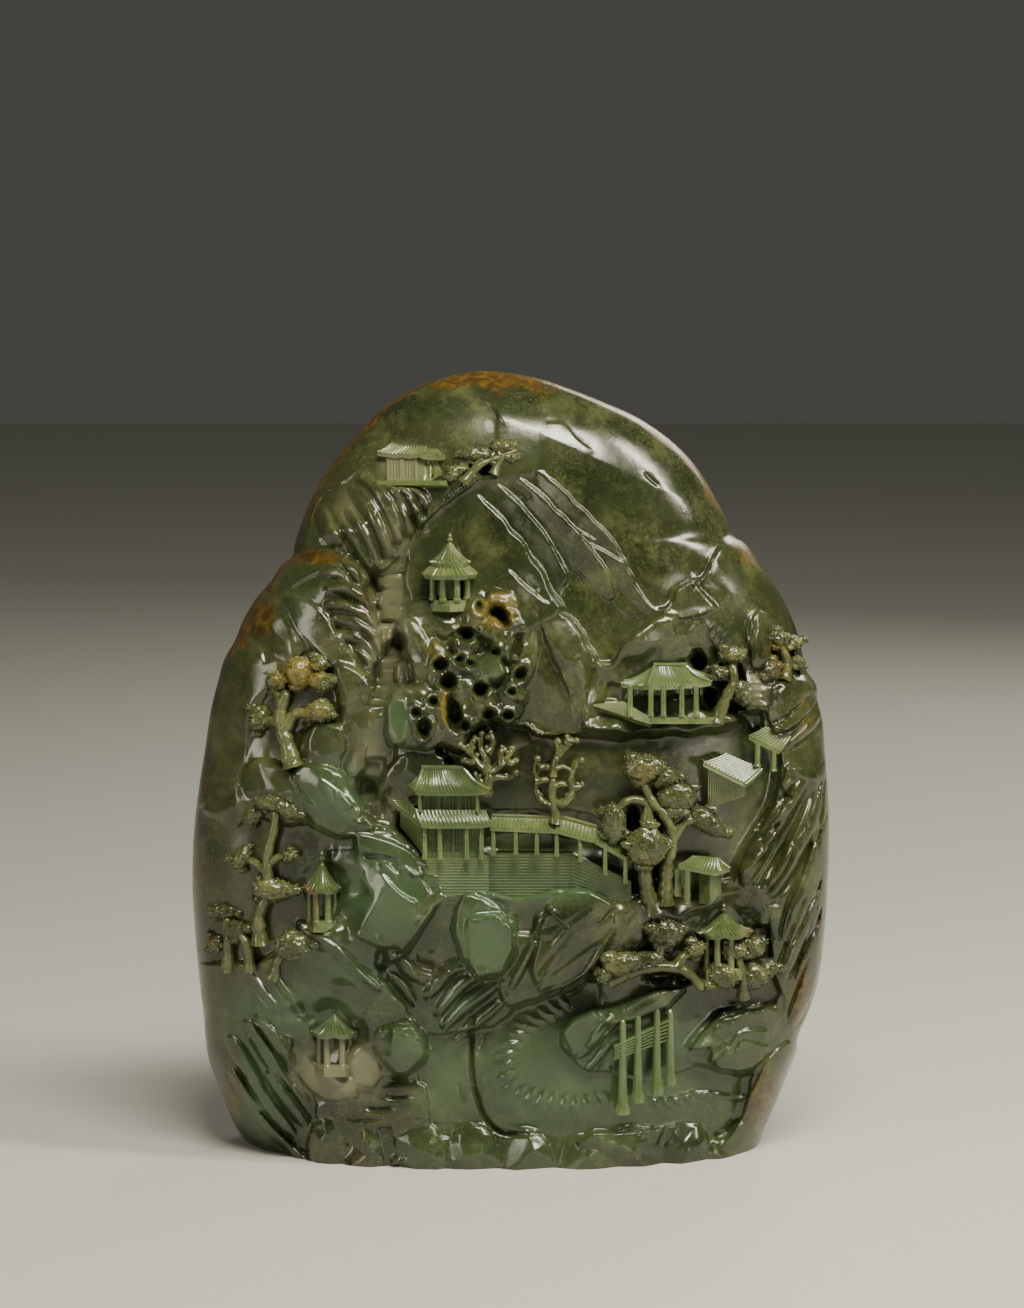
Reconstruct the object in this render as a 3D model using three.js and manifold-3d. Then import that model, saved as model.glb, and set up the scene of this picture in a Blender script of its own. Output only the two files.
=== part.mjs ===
// Jade boulder carving: a flat river pebble of green nephrite that stands on its cut base, with a mountain
// landscape of cliffs, halls, pavilions, pines and a pond carved into its front. It is one solid.
// Millimetres, +Z up, the carved face towards -Y. The origin is on the underside, below the middle.
import * as THREE from "three";
import { ConvexGeometry } from "three/addons/geometries/ConvexGeometry.js";
import { mergeVertices } from "three/addons/utils/BufferGeometryUtils.js";
import Module from "manifold-3d";

// Driving sizes of the boulder
const HEIGHT = 234;
const WIDTH = 191;
const DEPTH = 87;

// Driving sizes of the carving
const RELIEF_DEPTH = 20;
const FLANK_SPREAD = 0.22;
const ROCK_ROOT = 16;
const ROCK_SWELL = 1.6;
const FINGER_HEIGHT = 1.7;
const FINGER_ROOT = 4;
const COLUMN_WIDTH = 1.5;
const EAVE_THICKNESS = 1.1;
const BRANCH_ROOT = 9;
const PAD_DEPTH = 6;
const PAD_ROOT = 3;
const BACK_CARVING = 2.6;

// The sizes at which the landscape below was drawn. A point of the drawing is [x, z] in millimetres as the
// eye sees it from the front: x to the right of the middle, z above the front edge of the base.
const DRAWN_HEIGHT = 234;
const DRAWN_WIDTH = 191;
const DRAWN_DEPTH = 87;
const DRAWN_RELIEF = 20;
const ACROSS = WIDTH / DRAWN_WIDTH;
const THROUGH = DEPTH / DRAWN_DEPTH;
const UP = HEIGHT / DRAWN_HEIGHT;

// The eye that the drawing was made for: it looks a little down at the boulder
const EYE_DISTANCE = 1400;
const EYE_PITCH = THREE.MathUtils.degToRad(7);
const AIM = new THREE.Vector3(0.6, 0, 149.5);
const AIM_DRAWN = [0.6, 154.8];
const SIGHT = new THREE.Vector3(0, Math.cos(EYE_PITCH), -Math.sin(EYE_PITCH));
const BOARD_UP = new THREE.Vector3(0, Math.sin(EYE_PITCH), Math.cos(EYE_PITCH));
const EYE = AIM.clone().addScaledVector(SIGHT, -EYE_DISTANCE);

const wasm = await Module();
wasm.setup();

// The point of the boulder that is drawn at [x, z] and lies `front` before the middle plane
function place(x, z, front) {
  const board = AIM.clone().addScaledVector(BOARD_UP, z - AIM_DRAWN[1]);
  board.x += x - AIM_DRAWN[0];
  const reach = (-front - EYE.y) / (board.y - EYE.y);
  const point = EYE.clone().lerp(board, reach);
  return new THREE.Vector3(point.x * ACROSS, point.y * THROUGH, point.z * UP);
}

// The pebble: its edge as drawn, from the foot to the crown, and its half-depth at each height
const LEFT_EDGE = [
  [-71, -10], [-78, 6.5], [-83, 14.5], [-87, 24.5], [-90.3, 33], [-92, 47], [-94.3, 70], [-95.3, 87],
  [-94.7, 103], [-91.7, 125], [-87.5, 147], [-82.5, 159], [-77, 170.3], [-71.5, 177], [-65.6, 183.6],
  [-64, 188], [-60, 200.5], [-53, 212], [-43, 223.3], [-33, 232], [-22, 237], [-12, 239.4], [-6, 239.8],
];
const RIGHT_EDGE = [
  [68, -10], [74.5, 6.5], [77, 14], [82.5, 27], [85.5, 38], [88.5, 45], [92, 55], [94, 68], [95.3, 85],
  [95.7, 105], [94.5, 125], [92, 139], [88.8, 150], [85, 164.5], [78, 177.5], [70, 188.3], [65, 195],
  [55, 212], [45, 221.3], [35, 227.3], [20, 233.5], [10, 237], [0, 239], [-6, 239.8],
];
const HALF_DEPTH = [
  [34, -10], [36.5, 0], [39, 15], [41.5, 32], [43.5, 60], [43.8, 90], [42.5, 120], [39.5, 150], [34.5, 180],
  [29.5, 200], [24, 215], [18.5, 225], [12.5, 232], [7.5, 236.5], [0, 239.8],
];
const CROWN = [-6, 239.8];
const ROUNDNESS = 2.35;
const DEEPEST_SHARE = 0.72;
const ROOT_BEHIND = 0.35;
const SKIN_RISE = 0.4;
const ROW_COUNT = 14;
const CROWN_FOOT = 218;
const CROWN_ROWS = 4;
const FRONT_STEPS = 12;
const BACK_STEPS = 8;
const UNDERGROUND = 60;

// How far the finished facets may lie from the joined forms, and how little a facet may be or turn for that
const SLACK = 0.16;
const SMALLEST_FACET = 0.01;
const TURN_LIMIT = 0.5;
const THINNING_PASSES = 40;

// The first number of a list of [number, height], at height z
function along(list, z) {
  const next = list.findIndex((entry) => entry[1] >= z);
  if (next < 0) return list[list.length - 1][0];
  if (next === 0) return list[0][0];
  const [low, high] = [list[next - 1], list[next]];
  return THREE.MathUtils.mapLinear(z, low[1], high[1], low[0], high[0]);
}

// How round the pebble is at `share` of the way from its middle, 0, to its edge, 1
function bulge(share) {
  return Math.max(0, 1 - Math.abs(share) ** ROUNDNESS) ** (1 / ROUNDNESS);
}

// How far the uncut pebble stands before its middle plane at [x, z] of the drawing
function uncut(x, z) {
  const [left, right] = [along(LEFT_EDGE, z), along(RIGHT_EDGE, z)];
  const share = (x - (left + right) / 2) / Math.max((right - left) / 2, 1e-6);
  return along(HALF_DEPTH, z) * bulge(Math.min(1, Math.abs(share)));
}

// How far a point stands before the middle plane where it lies `cut` below the pebble's skin
function below(x, z, cut) {
  return uncut(x, z) - cut * (RELIEF_DEPTH / DRAWN_RELIEF);
}

// The same for the face of the stone, which never comes near the middle plane
function face(x, z, cut) {
  return Math.max(below(x, z, cut), uncut(x, z) * (1 - DEEPEST_SHARE));
}

// A closed geometry as a solid for joining and cutting
function solidOf(geometry) {
  const bare = geometry.clone();
  for (const name of Object.keys(bare.attributes)) {
    if (name !== "position") bare.deleteAttribute(name);
  }
  const merged = mergeVertices(bare, 1e-4);
  return new wasm.Manifold(new wasm.Mesh({
    numProp: 3,
    vertProperties: Float32Array.from(merged.getAttribute("position").array),
    triVerts: Uint32Array.from(merged.index.array),
  }));
}

function geometryFrom(points, faces) {
  const geometry = new THREE.BufferGeometry();
  geometry.setAttribute("position", new THREE.Float32BufferAttribute(points.flatMap((p) => p.toArray()),
    3));
  geometry.setIndex(faces.flat());
  return geometry;
}

// Rings of points, one above the other, joined into a closed body. Each ring runs counter-clockwise as
// seen from the end of the stack.
function stack(rings, startFaces, endFaces) {
  const size = rings[0].length;
  const faces = [];
  for (let row = 0; row + 1 < rings.length; row += 1) {
    for (let step = 0; step < size; step += 1) {
      const [a, b] = [row * size + step, row * size + ((step + 1) % size)];
      faces.push([a, b, b + size], [a, b + size, a + size]);
    }
  }
  const last = (rings.length - 1) * size;
  for (const [a, b, c] of startFaces) faces.push([a, c, b]);
  for (const [a, b, c] of endFaces) faces.push([last + a, last + b, last + c]);
  return solidOf(geometryFrom(rings.flat(), faces));
}

function fan(size) {
  return Array.from({ length: size - 2 }, (_, step) => [0, step + 1, step + 2]);
}

// The boulder with its front cut back by cutAt(x, z) and its back by backCut()
function boulder(cutAt, backCut = () => 0) {
  const foot = LEFT_EDGE[0][1];
  const heights = Array.from({ length: ROW_COUNT }, (_,
    row) => foot + ((CROWN_FOOT - foot) * row) / ROW_COUNT);
  for (let row = 0; row < CROWN_ROWS; row += 1) {
    heights.push(CROWN_FOOT + (CROWN[1] - CROWN_FOOT) * Math.sin((Math.PI / 2) * (row / CROWN_ROWS)));
  }
  const rings = heights.map((z) => {
    const [left, right] = [along(LEFT_EDGE, z), along(RIGHT_EDGE, z)];
    const ring = [];
    for (let step = 0; step <= FRONT_STEPS; step += 1) {
      const share = -Math.cos((Math.PI * step) / FRONT_STEPS);
      const x = (left + right) / 2 + ((right - left) / 2) * share;
      ring.push(place(x, z, face(x, z, cutAt(x, z))));
    }
    const [leftRim, rightRim] = [place(left, z, 0), place(right, z, 0)];
    for (let step = 1; step < BACK_STEPS; step += 1) {
      const share = Math.cos((Math.PI * step) / BACK_STEPS);
      const point = leftRim.clone().lerp(rightRim, (share + 1) / 2);
      const skin = along(HALF_DEPTH, z) * bulge(share);
      point.y += Math.max(skin - backCut(), skin * (1 - DEEPEST_SHARE)) * THROUGH;
      ring.push(point);
    }
    return ring;
  });
  const crown = place(CROWN[0], CROWN[1], 0);
  rings.push(rings[0].map(() => crown.clone()));
  return stack(rings, fan(rings[0].length), []);
}

// A cut that changes evenly from the first of two [x, z, cut] to the second
function slopeCut([from, to]) {
  const run = new THREE.Vector2(to[0] - from[0], to[1] - from[1]);
  return (x, z) => {
    const gone = new THREE.Vector2(x - from[0], z - from[1]).dot(run) / run.lengthSq();
    return THREE.MathUtils.lerp(from[2], to[2], THREE.MathUtils.clamp(gone, 0, 1));
  };
}

// Outline points moved outwards by `out` along the middle of each corner
function grow(outline, out) {
  const count = outline.length;
  return outline.map(([x, z], i) => {
    const [px, pz] = outline[(i + count - 1) % count];
    const [nx, nz] = outline[(i + 1) % count];
    const before = new THREE.Vector2(z - pz, px - x).normalize();
    const after = new THREE.Vector2(nz - z, x - nx).normalize();
    const middle = before.clone().add(after);
    const stretch = out / Math.max(0.45, 0.5 * middle.lengthSq());
    return [x + middle.x * stretch * 0.5, z + middle.y * stretch * 0.5];
  });
}

// Drawn outlines run counter-clockwise; one that was drawn clockwise is turned round
function turned(outline) {
  const flat = outline.map(([x, z]) => new THREE.Vector2(x, z));
  return THREE.ShapeUtils.isClockWise(flat) ? [...outline].reverse() : outline;
}

function capOf(outline) {
  return THREE.ShapeUtils.triangulateShape(outline.map(([x, z]) => new THREE.Vector2(x, z)), []);
}

// A straight-sided body along the lines of sight over a drawn outline
function shaft(drawn, nearest, furthest) {
  const outline = turned(drawn);
  const ring = (front) => outline.map(([x, z]) => place(x, z, front));
  const cap = capOf(outline);
  return stack([ring(furthest), ring(nearest)], cap, cap);
}

// A broad ground: the boulder's face, cut back by an even slope, within an outline
function ground({ outline, slope }) {
  return boulder(slopeCut(slope)).intersect(shaft(outline, 70, -4));
}

// A rock: facets that rise from an outline to a crest, and flanks that spread as they go down to its root
function rock({ outline: drawn, slope, root = ROCK_ROOT, swell = ROCK_SWELL, crest = middleOf(drawn) }) {
  const outline = turned(drawn);
  const cut = slopeCut(slope);
  const ring = (out, depth) => grow(outline, out).map(([x, z]) => {
    const front = face(x, z, cut(x, z)) - depth;
    return place(x, z, Math.max(front, -ROOT_BEHIND * uncut(x, z)));
  });
  const cap = capOf(outline);
  const rings = [ring(root * FLANK_SPREAD, root), ring(0, 0)];
  if (swell === 0) return stack(rings, cap, cap);
  const [x, z] = crest;
  const peak = Math.min(face(x, z, cut(x, z)) + swell, uncut(x, z) + SKIN_RISE);
  rings.push(outline.map(() => place(x, z, peak)));
  return stack(rings, cap, []);
}

function middleOf(outline) {
  const total = outline.reduce(([sumX, sumZ], [x, z]) => [sumX + x, sumZ + z], [0, 0]);
  return total.map((sum) => sum / outline.length);
}

// A convex block between points given as [x, z, cut]
function block(points) {
  return solidOf(new ConvexGeometry(points.map(([x, z, cut]) => place(x, z, below(x, z, cut)))));
}

// A body through rings of [x, z, cut] points, with flat ends
function strand(rings) {
  const placed = rings.map((ring) => ring.map(([x, z, cut]) => place(x, z, below(x, z, cut))));
  return stack(placed, fan(rings[0].length), fan(rings[0].length));
}

// The way across a drawn line at its point i, `half` long
function acrossLine(points, i, half) {
  const [ax, az] = points[Math.max(0, i - 1)];
  const [bx, bz] = points[Math.min(points.length - 1, i + 1)];
  return new THREE.Vector2(az - bz, bx - ax).normalize().multiplyScalar(half);
}

// A finger of rock: a ridge along drawn points over a ground that is cut by cut(x, z)
function finger(points, width, cut) {
  return strand(points.map(([x, z], i) => {
    const side = acrossLine(points, i, width / 2);
    const depth = cut(x, z);
    return [[x + side.x, z + side.y, depth + FINGER_ROOT], [x, z, depth - FINGER_HEIGHT],
      [x - side.x, z - side.y, depth + FINGER_ROOT]];
  }));
}

// An upright post, `wide` across, from one drawn height to another
function post(x, low, high, cut, wide = COLUMN_WIDTH) {
  const corners = [];
  for (const edge of [x - wide / 2, x + wide / 2]) {
    for (const depth of [cut, cut + wide]) corners.push([edge, low, depth], [edge, high, depth]);
  }
  return block(corners);
}

// A round-plan pavilion with a pointed roof of `sides` slopes on a low base
function pavilion({ x, floor, eave, tip, radius, cut, sides = 6, tiers = 1 }) {
  const front = below(x, floor, cut);
  const axis = place(x, floor, front);
  const heightOf = (drawn) => place(x, drawn, front).z;
  const [eaveZ, tipZ] = [heightOf(eave), heightOf(tip)];
  const rise = tipZ - eaveZ;
  const lathe = (profile) => {
    const body = new THREE.LatheGeometry(profile.map(([r, z]) => new THREE.Vector2(r, z)), sides);
    return solidOf(body.rotateX(Math.PI / 2).translate(axis.x, axis.y, 0));
  };
  const roof = (r, low, high) => lathe([
    [0, low - EAVE_THICKNESS], [r, low - EAVE_THICKNESS * 0.4], [r, low + EAVE_THICKNESS * 0.4],
    [r * 0.55, low + (high - low) * 0.3], [r * 0.2, low + (high - low) * 0.66], [0, high]]);
  const drum = (r, low, high) => lathe([[0, low], [r, low], [r, high], [0, high]]);
  const pieces = [drum(radius * 0.8, axis.z - 3, axis.z + 0.8)];
  if (tiers > 1) {
    pieces.push(roof(radius, eaveZ, eaveZ + rise * 0.45));
    pieces.push(drum(radius * 0.45, eaveZ, eaveZ + rise * 0.4));
    pieces.push(roof(radius * 0.72, eaveZ + rise * 0.38, tipZ));
  } else {
    pieces.push(roof(radius, eaveZ, tipZ));
  }
  for (let corner = 0; corner < sides; corner += 1) {
    const turn = (Math.PI * 2 * corner) / sides;
    const column = new THREE.BoxGeometry(COLUMN_WIDTH, COLUMN_WIDTH, eaveZ - axis.z + 1);
    const reach = radius * 0.64;
    column.translate(axis.x + Math.sin(turn) * reach, axis.y - Math.cos(turn) * reach,
      (eaveZ + axis.z) / 2);
    pieces.push(solidOf(column));
  }
  return pieces;
}

// A cushion of needles: a flattened ball centred at [x, z, cut], wide and high as drawn, whose back draws
// together into a root that holds it to the stone behind
function pad([x, z, cut], wide, high, turn = 0) {
  const ball = new THREE.IcosahedronGeometry(1, 0);
  const corners = ball.getAttribute("position");
  for (let i = 0; i < corners.count; i += 1) {
    const behind = Math.max(0, corners.getY(i));
    const narrow = 1 - 0.5 * behind;
    corners.setXYZ(i, corners.getX(i) * narrow, corners.getY(i) * (1 + PAD_ROOT * behind),
      corners.getZ(i) * narrow);
  }
  ball.scale(wide * 1.08 * ACROSS, (PAD_DEPTH / 2) * THROUGH, high * 1.1 * UP);
  ball.rotateY(-THREE.MathUtils.degToRad(turn));
  const centre = place(x, z, below(x, z, cut));
  return solidOf(ball.translate(centre.x, centre.y, centre.z));
}

// A trunk or branch through points [x, z, cut], thinning from `thick` to `thin`
function branch(points, thick, thin) {
  return strand(points.map(([x, z, cut], i) => {
    const half = THREE.MathUtils.lerp(thick, thin, i / (points.length - 1)) / 2;
    const side = acrossLine(points, i, half);
    return [[x + side.x, z + side.y, cut], [x, z, cut - half], [x - side.x, z - side.y, cut],
      [x, z, cut + BRANCH_ROOT]];
  }));
}

// The broad grounds of the landscape, from the crown down. Each slope runs between two [x, z, cut], the cut
// being how far the face lies below the pebble's skin.
const GROUNDS = {
  sky: {
    slope: [[44, 215, 0.4], [20, 187, 4.5]],
    outline: [[-70, 184], [-62, 186], [-54, 188], [-44, 192], [-30, 196], [-10, 199], [6, 198], [24, 182],
      [34, 168], [46, 160], [58, 158], [70, 168], [84, 176], [70, 200], [50, 226], [20, 240], [-10, 246],
      [-44, 234], [-66, 204]],
  },
  rightSlope: {
    slope: [[72, 182, 0.5], [62, 158, 3.5]],
    outline: [[57.3, 176], [60, 181], [62, 185.5], [65, 189.5], [75, 190], [100, 160], [92, 140],
      [76, 148], [60, 158], [58, 168]],
  },
  valley: {
    slope: [[14, 194, 3.2], [27, 153, 10]],
    outline: [[0, 209.7], [5.3, 206.3], [10, 202], [15, 197], [20, 192], [24, 187], [29, 180.3],
      [30.5, 176], [32, 172], [34, 168], [37, 164.8], [42, 163], [36, 150], [24, 145], [0, 160],
      [-14, 190], [-12, 206]],
  },
  gorge: {
    slope: [[-30, 190, 12], [-36, 150, 18]],
    outline: [[-42, 182], [-30, 191], [-27, 180], [-26, 150], [-30, 118], [-40, 114], [-48, 118],
      [-45, 150]],
  },
  wall: {
    slope: [[30, 134, 11], [24, 90, 14]],
    outline: [[-12, 134], [8, 131], [25, 137], [62, 137], [76, 138], [82, 128], [82, 112], [72, 88],
      [62, 80], [30, 78], [-10, 78], [-26, 100]],
  },
  eastBasin: {
    slope: [[52, 82, 13], [50, 52, 12]],
    outline: [[26, 55], [34, 82], [60, 84], [79, 82], [79, 60], [84, 48], [60, 40], [36, 44]],
  },
  pond: {
    slope: [[28, 54, 16], [28, 13, 6]],
    outline: [[-2, 50], [10, 56], [24, 60], [44, 62], [60, 52], [78, 40], [78, 18], [66, 8], [-3, 8],
      [-8, 16], [-10, 38]],
  },
  stream: {
    slope: [[-20, 50, 15], [-20, 12, 6.5]],
    outline: [[-32, 52], [-16, 52], [-11.5, 38.5], [-11.5, 30], [-10, 22], [-7, 15], [-3, 8], [-34, 8],
      [-34, 28]],
  },
  westWall: {
    slope: [[-88, 90, 1.5], [-58, 88, 8]],
    outline: [[-100, 112], [-78, 112], [-60, 112], [-48, 108], [-44, 92], [-46, 76], [-58, 70], [-78, 58],
      [-98, 56]],
  },
  westShoulder: {
    slope: [[-88, 140, 0.5], [-58, 136, 8.5]],
    outline: [[-100, 108], [-76, 112], [-60, 116], [-44, 118], [-42, 140], [-48, 156], [-62, 160],
      [-78, 172], [-96, 160]],
  },
  westFoot: {
    slope: [[-84, 40, 0.4], [-48, 36, 10]],
    outline: [[-100, 62], [-76, 62], [-60, 58], [-40, 56], [-32, 46], [-34, 20], [-34, 4], [-60, -8],
      [-84, -4], [-96, 30]],
  },
  eastRim: {
    slope: [[94, 90, 0.4], [74, 92, 4.5]],
    outline: [[100, 150], [84, 150], [76, 146], [76, 132], [82, 124], [80, 110], [72, 97], [67, 85.5],
      [78, 82], [78, 72], [79, 60], [83, 50], [77, 38], [72, 26], [72, 12], [64, -4], [84, -4], [100, 40]],
  },
  foreground: {
    slope: [[0, 14, 3.5], [0, 4, 1]],
    outline: [[-66, 12], [-40, 15], [-4, 13.5], [48, 14], [74, 14], [70, -14], [-70, -14]],
  },
};

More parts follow.
